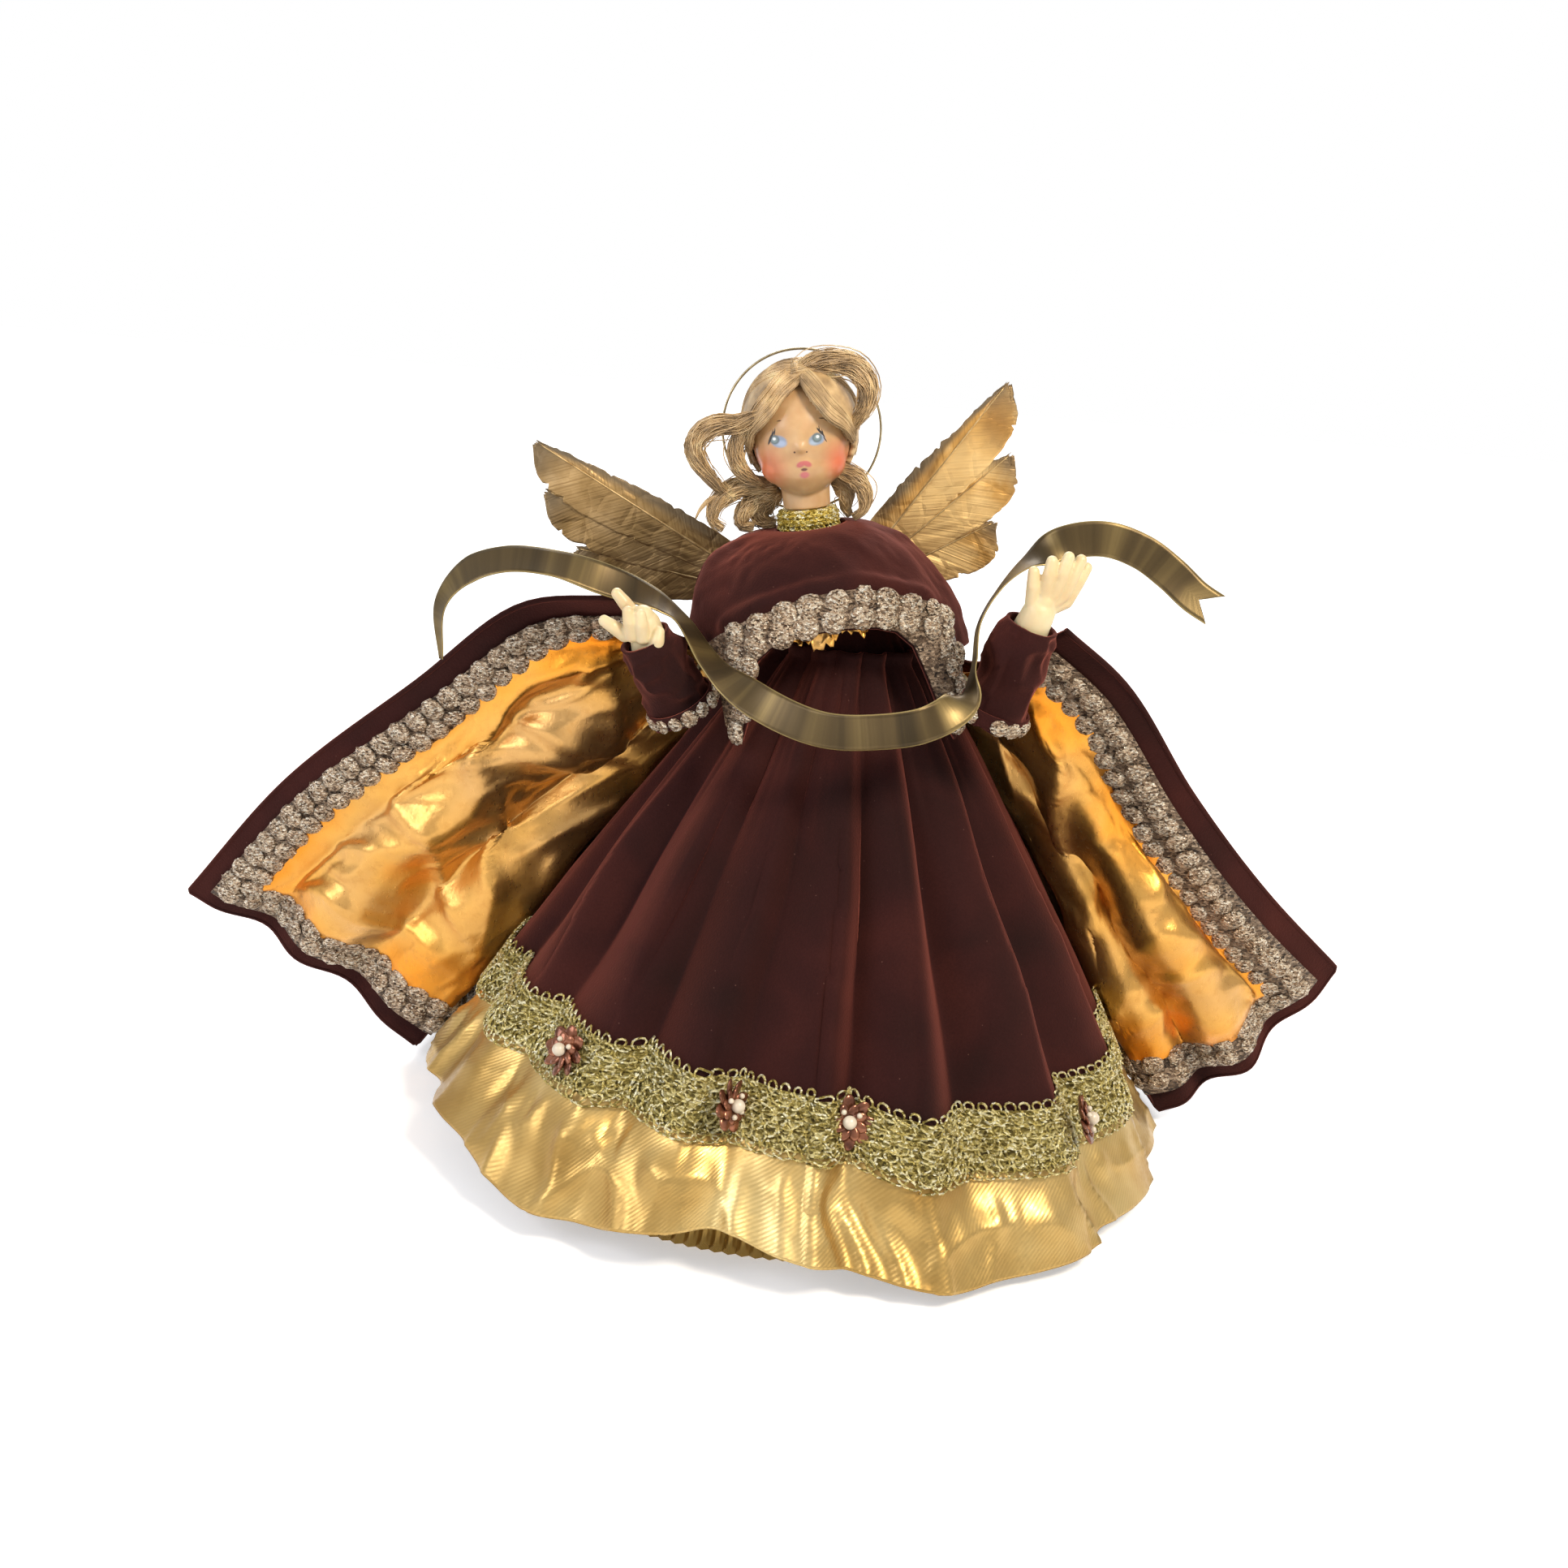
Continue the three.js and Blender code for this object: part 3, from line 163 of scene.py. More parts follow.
def layFloor():
    bpy.ops.mesh.primitive_plane_add(size=backdrop["spread"] * milli,
                                     location=(0, 0, -backdrop["below"] * milli))
    floor = bpy.context.object
    floor.name = "floor"
    paint = newFinish("paleFloor", backdrop["roughness"], Base_Color=tone(backdrop["floor"]))
    nodes = paint.node_tree.nodes
    rays = addNode(paint, "ShaderNodeLightPath").outputs
    seen = numbers(paint, "MAXIMUM", rays["Is Camera Ray"], rays["Is Glossy Ray"])
    # The sheet of card glows more where the lamps don't reach, so that it stays white to its end.
    place = addNode(paint, "ShaderNodeTexCoord").outputs["Object"]
    away = addNode(paint, "ShaderNodeVectorMath", operation="LENGTH", in_0=place).outputs["Value"]
    level = ranged(paint, away, backdrop["glowFrom"] * milli, backdrop["glowTo"] * milli,
                   backdrop["glow"], 1.0)
    glow = addNode(paint, "ShaderNodeEmission", in_0=(1, 1, 1, 1),
                   in_1=numbers(paint, "MULTIPLY", seen, level))
    both = addNode(paint, "ShaderNodeAddShader", in_0=nodes["Principled BSDF"].outputs[0],
                   in_1=glow.outputs[0])
    paint.node_tree.links.new(both.outputs[0], nodes["Material Output"].inputs["Surface"])
    floor.data.materials.append(paint)


dressWorld()
layFloor()
print("camera, lamps and floor are set")

# Shared ways of making meshes


def smoothNoise(u, v, seed):
    # A soft random field from -1 to 1 over the plane of u and v.
    table = np.random.default_rng(seed).uniform(-1, 1, (64, 64))
    u, v = np.broadcast_arrays(np.asarray(u, float), np.asarray(v, float))
    i, j = np.floor(u).astype(int), np.floor(v).astype(int)
    s, t = u - i, v - j
    s, t = s * s * (3 - 2 * s), t * t * (3 - 2 * t)
    low = table[i % 64, j % 64] * (1 - s) + table[(i + 1) % 64, j % 64] * s
    high = table[i % 64, (j + 1) % 64] * (1 - s) + table[(i + 1) % 64, (j + 1) % 64] * s
    return low * (1 - t) + high * t


def ridges(u, v, seed):
    # Sharp-crested creases: 1 on a crest, falling to -1.
    return 1 - 2 * np.abs(smoothNoise(u, v, seed)) ** 0.7


def eased(low, high, value):
    share = np.clip((value - low) / (high - low), 0, 1)
    return share * share * (3 - 2 * share)


def curveThrough(points):
    # The same centripetal curve as the solids follow; takes shares from 0 to 1 per point.
    knots = np.array(points, float)
    knots = np.vstack([2 * knots[0] - knots[1], knots, 2 * knots[-1] - knots[-2]])
    spans = np.maximum(np.linalg.norm(np.diff(knots, axis=0), axis=1), 1e-6) ** 0.5
    last = len(points) - 1

    def at(share):
        share = np.clip(np.asarray(share, float), 0, 1) * last
        i = np.minimum(share.astype(int), last - 1)
        t = (share - i)[..., None]
        a, b, c, d = (knots[i + k] for k in range(4))
        p, q, r = (spans[i + k][..., None] for k in range(3))
        m = ((b - a) / p - (c - a) / (p + q) + (c - b) / q) * q
        n = ((c - b) / q - (d - b) / (q + r) + (d - c) / r) * q
        return b + m * t + (3 * (c - b) - 2 * m - n) * t ** 2 + (2 * (b - c) + m + n) * t ** 3

    return at


def evenCurve(points):
    # A curve whose shares are of its length.
    at = curveThrough(points)
    fine = np.linspace(0, 1, 40 * len(points))
    line = at(fine)
    run = np.concatenate([[0], np.cumsum(np.linalg.norm(np.diff(line, axis=0), axis=1))])
    return (lambda share: at(np.interp(share, run / run[-1], fine))), run[-1]


def unit(vectors):
    return vectors / np.maximum(np.linalg.norm(vectors, axis=-1, keepdims=True), 1e-12)


def gridNormals(points, closed=False):
    if closed:
        before, after = np.roll(points, 1, axis=1), np.roll(points, -1, axis=1)
    else:
        before = np.concatenate([points[:, :1], points[:, :-1]], axis=1)
        after = np.concatenate([points[:, 1:], points[:, -1:]], axis=1)
    above = np.concatenate([points[:1], points[:-1]])
    below = np.concatenate([points[1:], points[-1:]])
    return unit(np.cross(after - before, below - above))


def pieceFrom(name, points, faces, uv, material, marks=None):
    # A smooth piece from points in millimetres; marks are values per point for its finish.
    mesh = bpy.data.meshes.new(name)
    mesh.from_pydata((points * milli).tolist(), [], faces)
    layer = mesh.uv_layers.new(name="flat")
    layer.data.foreach_set("uv", np.asarray(uv, np.float32).ravel())
    for label, values in (marks or {}).items():
        attribute = mesh.attributes.new(label, "FLOAT", "POINT")
        attribute.data.foreach_set("value", np.asarray(values, np.float32).ravel())
    mesh.polygons.foreach_set("use_smooth", [True] * len(mesh.polygons))
    mesh.update()
    piece = bpy.data.objects.new(name, mesh)
    bpy.context.scene.collection.objects.link(piece)
    mesh.materials.append(material)
    return piece


def clothUv(points, closed=False):
    # Flat millimetres across and down, for weaves and wrinkles that follow the cloth.
    wide = np.concatenate([points, points[:, :1]], axis=1) if closed else points
    across = np.linalg.norm(np.diff(wide, axis=1), axis=2).mean(axis=0)
    down = np.linalg.norm(np.diff(points, axis=0), axis=2).mean(axis=1)
    u = np.concatenate([[0], np.cumsum(across)])
    v = -np.concatenate([[0], np.cumsum(down)])
    return np.stack(np.broadcast_arrays(u[None, :], v[:, None]), axis=-1)


def clothPiece(name, points, low, high, material, closed=False, uv=None, keep=None, marks=None):
    # A closed sheet between two offsets from a grid whose columns run with falling angle.
    uv = clothUv(points, closed) if uv is None else uv
    rows, cols = points.shape[:2]
    normals = gridNormals(points, closed)
    index = np.arange(rows * cols).reshape(rows, cols)
    if closed:
        index = np.concatenate([index, index[:, :1]], axis=1)
    flat = np.arange(rows * index.shape[1]).reshape(rows, -1)

    def squares(table):
        return np.stack([table[:-1, :-1], table[:-1, 1:], table[1:, 1:], table[1:, :-1]], axis=-1)

    quads, flats = squares(index), squares(flat)
    held = np.ones(quads.shape[:2], bool) if keep is None else keep[:quads.shape[0], :quads.shape[1]]
    framed = np.zeros((held.shape[0] + 2, held.shape[1] + 2), bool)
    framed[1:-1, 1:-1] = held
    if closed:
        framed[1:-1, 0], framed[1:-1, -1] = held[:, -1], held[:, 0]
    beyond = [framed[:-2, 1:-1], framed[1:-1, 2:], framed[2:, 1:-1], framed[1:-1, :-2]]
    count = rows * cols
    faces = [quads[held], quads[held][:, ::-1] + count]
    uvAt = [flats[held], flats[held][:, ::-1]]
    for side in range(4):
        rim = held & ~beyond[side]
        ahead = (side + 1) % 4
        top, edge = quads[rim], flats[rim]
        faces.append(np.stack([top[:, ahead], top[:, side], top[:, side] + count,
                               top[:, ahead] + count], axis=-1))
        uvAt.append(np.stack([edge[:, ahead], edge[:, side], edge[:, side], edge[:, ahead]], axis=-1))
    faces, uvAt = np.concatenate(faces), np.concatenate(uvAt)
    both = np.concatenate([(points + normals * np.asarray(high)[..., None]).reshape(-1, 3),
                           (points + normals * np.asarray(low)[..., None]).reshape(-1, 3)])
    used, faces = np.unique(faces, return_inverse=True)
    faces = faces.reshape(-1, 4).tolist()
    doubled = {k: np.concatenate([v.ravel(), v.ravel()])[used] for k, v in (marks or {}).items()}
    return pieceFrom(name, both[used], faces, uv.reshape(-1, 2)[uvAt.ravel()], material, doubled)


def threads(paths, radii, sides, refs, looped=False):
    # Tubes along many paths of one length; returns points, faces and uv for pieceFrom.
    paths = np.asarray(paths, float)
    count, steps = paths.shape[:2]
    if looped:
        tangents = np.roll(paths, -1, axis=1) - np.roll(paths, 1, axis=1)
    else:
        tangents = np.gradient(paths, axis=1)
    across = unit(np.cross(tangents, refs))
    out = unit(np.cross(across, tangents))
    turn = np.arange(sides) / sides * fullTurn
    radii = np.broadcast_to(np.asarray(radii, float), (count, steps))[..., None, None]
    ring = (paths[:, :, None] + radii * (np.cos(turn)[:, None] * across[:, :, None]
                                         + np.sin(turn)[:, None] * out[:, :, None]))
    index = np.arange(count * steps * sides).reshape(count, steps, sides)
    ahead = np.roll(index, -1, axis=1) if looped else index[:, 1:]
    here = index if looped else index[:, :-1]
    quads = np.stack([here, np.roll(here, -1, axis=2), np.roll(ahead, -1, axis=2), ahead], axis=-1)
    faces = quads.reshape(-1, 4)[:, ::-1].tolist()
    u = np.arange(sides + 1) / sides
    v = np.arange(here.shape[1] + 1) / here.shape[1]
    corner = np.stack(np.meshgrid(v, u, indexing="ij"), axis=-1)
    cell = np.stack([corner[:-1, :-1], corner[:-1, 1:], corner[1:, 1:], corner[1:, :-1]], axis=2)
    uv = np.broadcast_to(cell[None, :, :, ::-1, ::-1], (count, *cell.shape)).reshape(-1, 2)
    if not looped:
        caps = np.concatenate([index[:, 0], index[:, -1, ::-1]])
        faces += caps.tolist()
        uv = np.concatenate([uv, np.full((len(caps) * sides, 2), 0.5)])
    return ring.reshape(-1, 3), faces, uv


def threadPiece(name, paths, radii, sides, refs, material):
    return pieceFrom(name, *threads(paths, radii, sides, refs), material)


def joinedMeshes(name, shapes, material):
    # Stacks several (points, faces, uv) shapes into one piece.
    points, faces, uv, base = [], [], [], 0
    for shapePoints, shapeFaces, shapeUv in shapes:
        points.append(shapePoints)
        faces += [[corner + base for corner in face] for face in shapeFaces]
        uv.append(shapeUv)
        base += len(shapePoints)
    return pieceFrom(name, np.concatenate(points), faces, np.concatenate(uv), material)


def modelled(name):
    # Takes the newest object of an operator, freshly modelled, as a named piece.
    piece = bpy.context.object
    piece.name = name
    piece.data.name = name
    return piece


def settle(piece, seat=Matrix.Identity(4)):
    # Puts a piece's place, turn and size into its mesh, and carries it on to a seat.
    piece.data.transform(seat @ piece.matrix_world)
    piece.matrix_world = Matrix.Identity(4)


def joinedParts(name, parts):
    # Joins parts made by operators into one piece.
    clearSelection()
    for part in parts:
        part.select_set(True)
    bpy.context.view_layer.objects.active = parts[0]
    bpy.ops.object.join()
    return modelled(name)


def finishPiece(piece, body, slot, *nodes):
    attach(piece, body)
    if nodes:
        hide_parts(*nodes)
    return piece


# Finishes


def coordinates(paint, source, scale=(1, 1, 1), turn=(0, 0, 0)):
    place = addNode(paint, "ShaderNodeTexCoord").outputs[source]
    return addNode(paint, "ShaderNodeMapping", in_Vector=place, in_Scale=scale,
                   in_Rotation=[math.radians(t) for t in turn]).outputs[0]


def pattern(paint, kind, vector, output, **values):
    return addNode(paint, "ShaderNodeTex" + kind, in_Vector=vector, **values).outputs[output]


def streaks(paint, along, scale, detail):
    # Noise that runs in one direction only.
    return addNode(paint, "ShaderNodeTexNoise", noise_dimensions="1D", in_W=along, in_Scale=scale,
                   in_Detail=detail).outputs["Fac"]


def shaded(paint, factor, stops):
    # A ramp of colours, or of greys where a stop is a number.
    ramp = addNode(paint, "ShaderNodeValToRGB", in_0=factor)
    elements = ramp.color_ramp.elements
    while len(elements) < len(stops):
        elements.new(0.5)
    for element, (position, colour) in zip(elements, stops):
        element.position = position
        element.color = tone(colour) if isinstance(colour, str) else (colour, colour, colour, 1)
    return ramp.outputs[0]


def mixed(paint, factor, first, second, blend="MIX"):
    first, second = (tone(c) if isinstance(c, str) else c for c in (first, second))
    return addNode(paint, "ShaderNodeMix", data_type="RGBA", blend_type=blend, in_0=factor,
                   in_6=first, in_7=second).outputs[2]


def pressed(paint, height, depth, strength, below=None):
    under = {} if below is None else {"in_Normal": below}
    return addNode(paint, "ShaderNodeBump", in_Strength=strength, in_Distance=depth * milli,
                   in_Height=height, **under).outputs[0]


def wearing(paint, **outputs):
    shader = paint.node_tree.nodes["Principled BSDF"]
    for key, value in outputs.items():
        paint.node_tree.links.new(value, shader.inputs[key.replace("_", " ")])
    return paint


def markOf(paint, label):
    return addNode(paint, "ShaderNodeAttribute", attribute_name=label).outputs["Fac"]


def velvetFinish():
    paint = newFinish("burgundyVelvet", 0.85, Sheen_Weight=0.58, Sheen_Roughness=0.48,
                      Sheen_Tint=tone("#bf6a5a"), Specular_IOR_Level=0.12)
    place = coordinates(paint, "Object")
    brushed = pattern(paint, "Noise", place, "Fac", in_Scale=26.0, in_Detail=2.0, in_Distortion=0.4)
    nap = pattern(paint, "Noise", place, "Fac", in_Scale=1400.0, in_Detail=2.0)
    lint = pattern(paint, "Voronoi", place, "Distance", in_Scale=190.0)
    base = shaded(paint, brushed, [(0.28, "#1d0c0b"), (0.5, "#2b1110"), (0.75, "#3d1b17")])
    piled = mixed(paint, numbers(paint, "MULTIPLY", nap, 0.6), base, "#6a3028", "OVERLAY")
    dusted = mixed(paint, shaded(paint, lint, [(0.0, 0.4), (0.05, 0.0)]), piled, "#9a7166")
    bump = pressed(paint, nap, 0.25, 0.55)
    return wearing(paint, Base_Color=dusted, Normal=bump)


def foilFinish():
    # Crumpled gold foil cloth, orange along the trim and near the hands, pale in the middle, with painted
    # shade as more orange where it sits low between folds.
    paint = newFinish("goldFoilCloth", 0.34, 0.88)
    place = coordinates(paint, "Object")
    grain = coordinates(paint, "Object", (1, 1, 0.3), (20, 30, 35))
    blotch = pattern(paint, "Noise", place, "Fac", in_Scale=30.0, in_Detail=3.0)
    hairline = pattern(paint, "Noise", grain, "Fac", in_Scale=900.0, in_Detail=6.0, in_Roughness=0.7,
                       in_Distortion=0.8)
    worn = pattern(paint, "Noise", place, "Fac", in_Scale=210.0, in_Detail=5.0, in_Roughness=0.7)
    warmth = numbers(paint, "ADD", markOf(paint, "warmth"),
                     numbers(paint, "MULTIPLY_ADD", blotch, 0.8, -0.4))
    base = shaded(paint, warmth, [(0.0, "#c4985c"), (0.35, "#d39f50"), (0.65, "#dc9230"),
                                  (1.0, "#e0841c")])
    aged = mixed(paint, shaded(paint, worn, [(0.52, 0.0), (0.72, 0.5)]), base, "#b57f3c")
    rough = shaded(paint, hairline, [(0.3, 0.24), (0.75, 0.42)])
    crumpled = pattern(paint, "Noise", place, "Fac", noise_type="RIDGED_MULTIFRACTAL", in_Scale=34.0,
                       in_Detail=2.5, in_Roughness=0.45, in_Distortion=0.5)
    bump = pressed(paint, hairline, 0.16, 0.5, pressed(paint, worn, 0.6, 0.3,
                                                       pressed(paint, crumpled, 1.1, 0.5)))
    return wearing(paint, Base_Color=aged, Roughness=rough, Normal=bump)


def lameFinish():
    paint = newFinish("paleLame", 0.36, 0.85)
    cloth = coordinates(paint, "UV")
    place = coordinates(paint, "Object")
    twill = pattern(paint, "Wave", cloth, "Fac", wave_type="BANDS", bands_direction="DIAGONAL",
                    in_Scale=0.36, in_Distortion=0.4, in_Detail=1.0)
    blotch = pattern(paint, "Noise", place, "Fac", in_Scale=26.0, in_Detail=3.0)
    specks = pattern(paint, "Noise", place, "Fac", in_Scale=700.0, in_Detail=3.0)
    base = shaded(paint, blotch, [(0.3, "#9e7c40"), (0.5, "#ba9a5c"), (0.72, "#d2b97e")])
    ribbed = mixed(paint, numbers(paint, "MULTIPLY", twill, 0.22), base, "#9a7a44")
    dotted = mixed(paint, shaded(paint, specks, [(0.7, 0.0), (0.85, 0.35)]), ribbed, "#9a6e38")
    rough = shaded(paint, specks, [(0.3, 0.3), (0.7, 0.44)])
    bump = pressed(paint, twill, 0.07, 0.4, pressed(paint, specks, 0.05, 0.3))
    return wearing(paint, Base_Color=dotted, Roughness=rough, Normal=bump)


def tinselFinish(name, dark, middle, light, paintedGlint, scale, metallic=0.8):
    # Metal thread wound and tangled: each facet gets its own colour up to a painted glint; painted shade
    # lies between strands.
    paint = newFinish(name, 0.34, metallic)
    place = coordinates(paint, "Object")
    stretched = coordinates(paint, "Object", (1, 1, 1.9), (35, 20, 15))
    facets = pattern(paint, "Voronoi", stretched, "Color", in_Scale=scale)
    gaps = pattern(paint, "Voronoi", stretched, "Distance", in_Scale=scale)
    strands = pattern(paint, "Noise", place, "Fac", in_Scale=scale * 1.3, in_Detail=4.0,
                      in_Roughness=0.7, in_Distortion=2.0)
    facet = axes(paint, facets)
    base = shaded(paint, facet["X"], [(0.05, dark), (0.35, middle), (0.75, light), (0.95, paintedGlint)])
    shadowed = mixed(paint, shaded(paint, strands, [(0.34, 0.6), (0.5, 0.0)]), base, dark)
    rough = shaded(paint, facet["Y"], [(0.1, 0.2), (0.9, 0.6)])
    bump = pressed(paint, strands, 0.8, 0.9, pressed(paint, gaps, 0.7, 0.9))
    return wearing(paint, Base_Color=shadowed, Roughness=rough, Normal=bump)


def ribbonFinish():
    paint = newFinish("brassRibbon", 0.4, 0.7, Anisotropic=0.3)
    strip = axes(paint, coordinates(paint, "UV"))
    band = streaks(paint, strip["Y"], 0.062, 4.0)
    fine = streaks(paint, strip["Y"], 1.3, 3.0)
    base = shaded(paint, band, [(0.3, "#33291a"), (0.5, "#52432a"), (0.7, "#7d6a42")])
    lined = mixed(paint, numbers(paint, "MULTIPLY", fine, 0.35), base, "#4c3e20")
    edge = numbers(paint, "ABSOLUTE", strip["X"])
    bright = mixed(paint, shaded(paint, edge, [(0.93, 0.0), (0.97, 0.5)]), lined, "#b8a268")
    return wearing(paint, Base_Color=bright, Normal=pressed(paint, fine, 0.06, 0.4))


def hairFinish():
    paint = newFinish("blondMohair", 0.38, 0.0, Specular_IOR_Level=0.6, Anisotropic=0.5)
    strand = coordinates(paint, "UV", (1, 0.03, 1))
    place = coordinates(paint, "Object")
    streak = pattern(paint, "Noise", strand, "Fac", in_Scale=9.0, in_Detail=4.0)
    patch = pattern(paint, "Noise", place, "Fac", in_Scale=150.0, in_Detail=3.0)
    base = shaded(paint, patch, [(0.3, "#85725a"), (0.5, "#aa9474"), (0.7, "#cbb896")])
    streaked = mixed(paint, streak, base, "#e0d2b4", "OVERLAY")
    return wearing(paint, Base_Color=streaked, Normal=pressed(paint, streak, 0.12, 0.5))


def giltFinish(name, dark, middle, light):
    # Feather gilt: barbs slope back from the quill, leaf lies in creases, edges are rubbed grey.
    paint = newFinish(name, 0.36, 0.72)
    blade = axes(paint, coordinates(paint, "UV"))
    place = coordinates(paint, "Object")
    slope = numbers(paint, "MULTIPLY", numbers(paint, "ABSOLUTE", blade["X"]), -0.9)
    barb = streaks(paint, numbers(paint, "ADD", blade["Y"], slope), 0.9, 4.0)
    blotch = pattern(paint, "Noise", place, "Fac", in_Scale=70.0, in_Detail=4.0)
    leaf = pattern(paint, "Voronoi", place, "Distance", feature="DISTANCE_TO_EDGE", in_Scale=95.0)
    base = shaded(paint, blotch, [(0.32, dark), (0.5, middle), (0.68, light)])
    barred = mixed(paint, shaded(paint, barb, [(0.32, 0.55), (0.5, 0.0)]), base, dark)
    leafed = mixed(paint, numbers(paint, "MULTIPLY", markOf(paint, "leafed"), 0.7), barred, light)
    rubbed = mixed(paint, numbers(paint, "MULTIPLY", markOf(paint, "rubbed"), 0.95), leafed, "#6c5f4c")
    rough = shaded(paint, blotch, [(0.3, 0.28), (0.7, 0.46)])
    creased = pressed(paint, shaded(paint, leaf, [(0.0, 0.0), (0.12, 1.0)]), 0.35, 0.4)
    bump = pressed(paint, barb, 0.22, 0.6, creased)
    return wearing(paint, Base_Color=rubbed, Roughness=rough, Normal=bump)


def plainFinish(name, roughness, metallic, stops, scale, depth):
    paint = newFinish(name, roughness, metallic)
    place = coordinates(paint, "Object")
    speckle = pattern(paint, "Noise", place, "Fac", in_Scale=scale, in_Detail=4.0)
    base = shaded(paint, speckle, stops)
    rough = shaded(paint, speckle, [(0.3, roughness * 0.85), (0.7, min(1.0, roughness * 1.15))])
    return wearing(paint, Base_Color=base, Roughness=rough, Normal=pressed(paint, speckle, depth, 0.6))


velvet = velvetFinish()
foilCloth = foilFinish()
lame = lameFinish()
laceTinsel = tinselFinish("goldGreenLace", "#7a6a30", "#ccba6c", "#f0e6ae", "#fffce0", 800.0, 0.66)
# The lace and gimp grounds are darker copies of their tinsel: painted shade in the gaps between loops and
# rosettes.
laceShade = tinselFinish("laceGroundShade", "#4e431f", "#85763a", "#b6a864", "#dccf96", 800.0, 0.66)
gimpTinsel = tinselFinish("smokedGimp", "#523f2e", "#b2967a", "#ecdac0", "#fff8e8", 1150.0, 0.58)
gimpShade = tinselFinish("gimpGroundShade", "#33271e", "#6a5644", "#96806a", "#bca68e", 760.0, 0.55)
collarTinsel = tinselFinish("brightCollar", "#8a7424", "#d8bc50", "#f6e690", "#fffce0", 900.0, 0.7)
brass = ribbonFinish()
mohair = hairFinish()
# One gilt in two copies: the left wing's browner palette is painted shade, the right wing's brighter one
# painted light.
giltLeftShaded = giltFinish("shadedGiltFeather", "#86683a", "#a58452", "#c9a876")
giltRightLit = giltFinish("litGiltFeather", "#a87c42", "#cf9d54", "#f4cf8e")
quillGilt = plainFinish("quillGilt", 0.35, 0.8, [(0.3, "#a08050"), (0.7, "#dcc08a")], 300.0, 0.05)
ivoryWax = plainFinish("ivoryWax", 0.4, 0.0, [(0.3, "#cdb488"), (0.7, "#dccfa8")], 70.0, 0.05)
coneFoil = plainFinish("ribbedConeFoil", 0.28, 0.9, [(0.3, "#b08a44"), (0.7, "#d8b468")], 40.0, 0.1)
wireSteel = plainFinish("haloWire", 0.3, 1.0, [(0.3, "#8a7a5a"), (0.7, "#b8a884")], 400.0, 0.03)
pearl = plainFinish("pearl", 0.25, 0.0, [(0.3, "#c9bda8"), (0.7, "#dcd2c0")], 200.0, 0.02)
petalGlass = plainFinish("copperPetal", 0.17, 0.6, [(0.3, "#4a281c"), (0.7, "#966046")], 260.0, 0.04)
bodyPaper = plainFinish("bodyPaper", 0.9, 0.0, [(0.3, "#c4b99e"), (0.7, "#d8cfba")], 300.0, 0.2)
capWood = plainFinish("capWood", 0.75, 0.0, [(0.3, "#a88a5c"), (0.7, "#c8ac7c")], 120.0, 0.1)
for socket, value in (("Subsurface Weight", 0.2), ("Subsurface Scale", 0.004)):
    ivoryWax.node_tree.nodes["Principled BSDF"].inputs[socket].default_value = value
print("finishes are mixed")

# Places shared with the solids

doll = {
    "hemRadius": 136, "waistHeight": 178, "neckRise": 36, "neckShare": 0.202247191,
    "shift": (14.008, -6.987, 0), "clearance": 0.35,
}
shift = np.array(doll["shift"])


def placed(shares):
    across, forward, up = np.asarray(shares, float).T
    return np.stack([
        across * doll["hemRadius"], forward * doll["hemRadius"],
        np.minimum(up, 1) * doll["waistHeight"]
        + np.maximum(up - 1, 0) / doll["neckShare"] * doll["neckRise"]], axis=-1)


# Gown: skirt, pale hem and lace share one pleated surface

gown = {
    "waistRadius": 24, "waistOffset": 7, "power": 0.95,
    "depths": (1.6, 4.6, 2.7), "deepest": 0.5, "frontDeeper": 1.15,
    "folds": [-176, -152, -127, -106, -86, -69, -43, -18, 8, 34, 60, 86, 112, 146],
    "laceLow": [0.19, 0.2, 0.21, 0.22, 0.23, 0.24, 0.25, 0.255, 0.25, 0.235, 0.185, 0.18],
    "laceHigh": [0.3, 0.3, 0.31, 0.32, 0.33, 0.34, 0.35, 0.35, 0.345, 0.325, 0.285, 0.28],
    "hem": [0.035, 0.06, 0.03, 0.055, 0.03, 0.06, 0.075, 0.098, 0.096, 0.07, 0.02, 0.035],
    "overlap": 8, "gathers": 182, "velvet": 1.2, "foil": 0.4, "columns": 540, "rows": 80,
    "standOff": 0.9, "hemRows": 44, "hemGap": 0.18,
    # Rolls of the skirt below the capelet: rise, angle, its spread, height, its spread.
    "rolls": [(5.6, -99, 7.5, 168, 9), (-3.0, -87, 4.5, 165, 10)],
    # Where the hem clears the cone's rim: rise, angle, its spread.
    "hemLifts": [(5.5, -99, 9), (-7.5, -127, 18)],
}


def roundShares(shares, angle):
    at = np.mod(angle, 360) / 360 * len(shares)
    index = np.floor(at).astype(int)
    blend = (1 - np.cos((at - index) * math.pi)) / 2
    values = np.array(shares)
    return values[index % len(shares)] * (1 - blend) + values[(index + 1) % len(shares)] * blend


def pleat(angle):
    # 1 on a pleat's edge, dropping quickly behind it and rising slowly to the next one.
    folds = np.array(gown["folds"] + [gown["folds"][0] + 360], float)
    angle = np.mod(angle - folds[0], 360) + folds[0]
    index = np.clip(np.searchsorted(folds, angle, side="right") - 1, 0, len(folds) - 2)
    t = (angle - folds[index]) / (folds[index + 1] - folds[index])
    drop = 1 - 2 * eased(0.0, 0.46, t)
    rise = -1 + 2 * np.sin(np.clip((t - 0.1) / 0.9, 0, 1) * math.pi / 2) ** 1.5
    # The higher of the two, blended where they meet, so that the valleys are round.
    return (drop + rise + np.sqrt((drop - rise) ** 2 + 0.22)) / 2 - 0.05, index


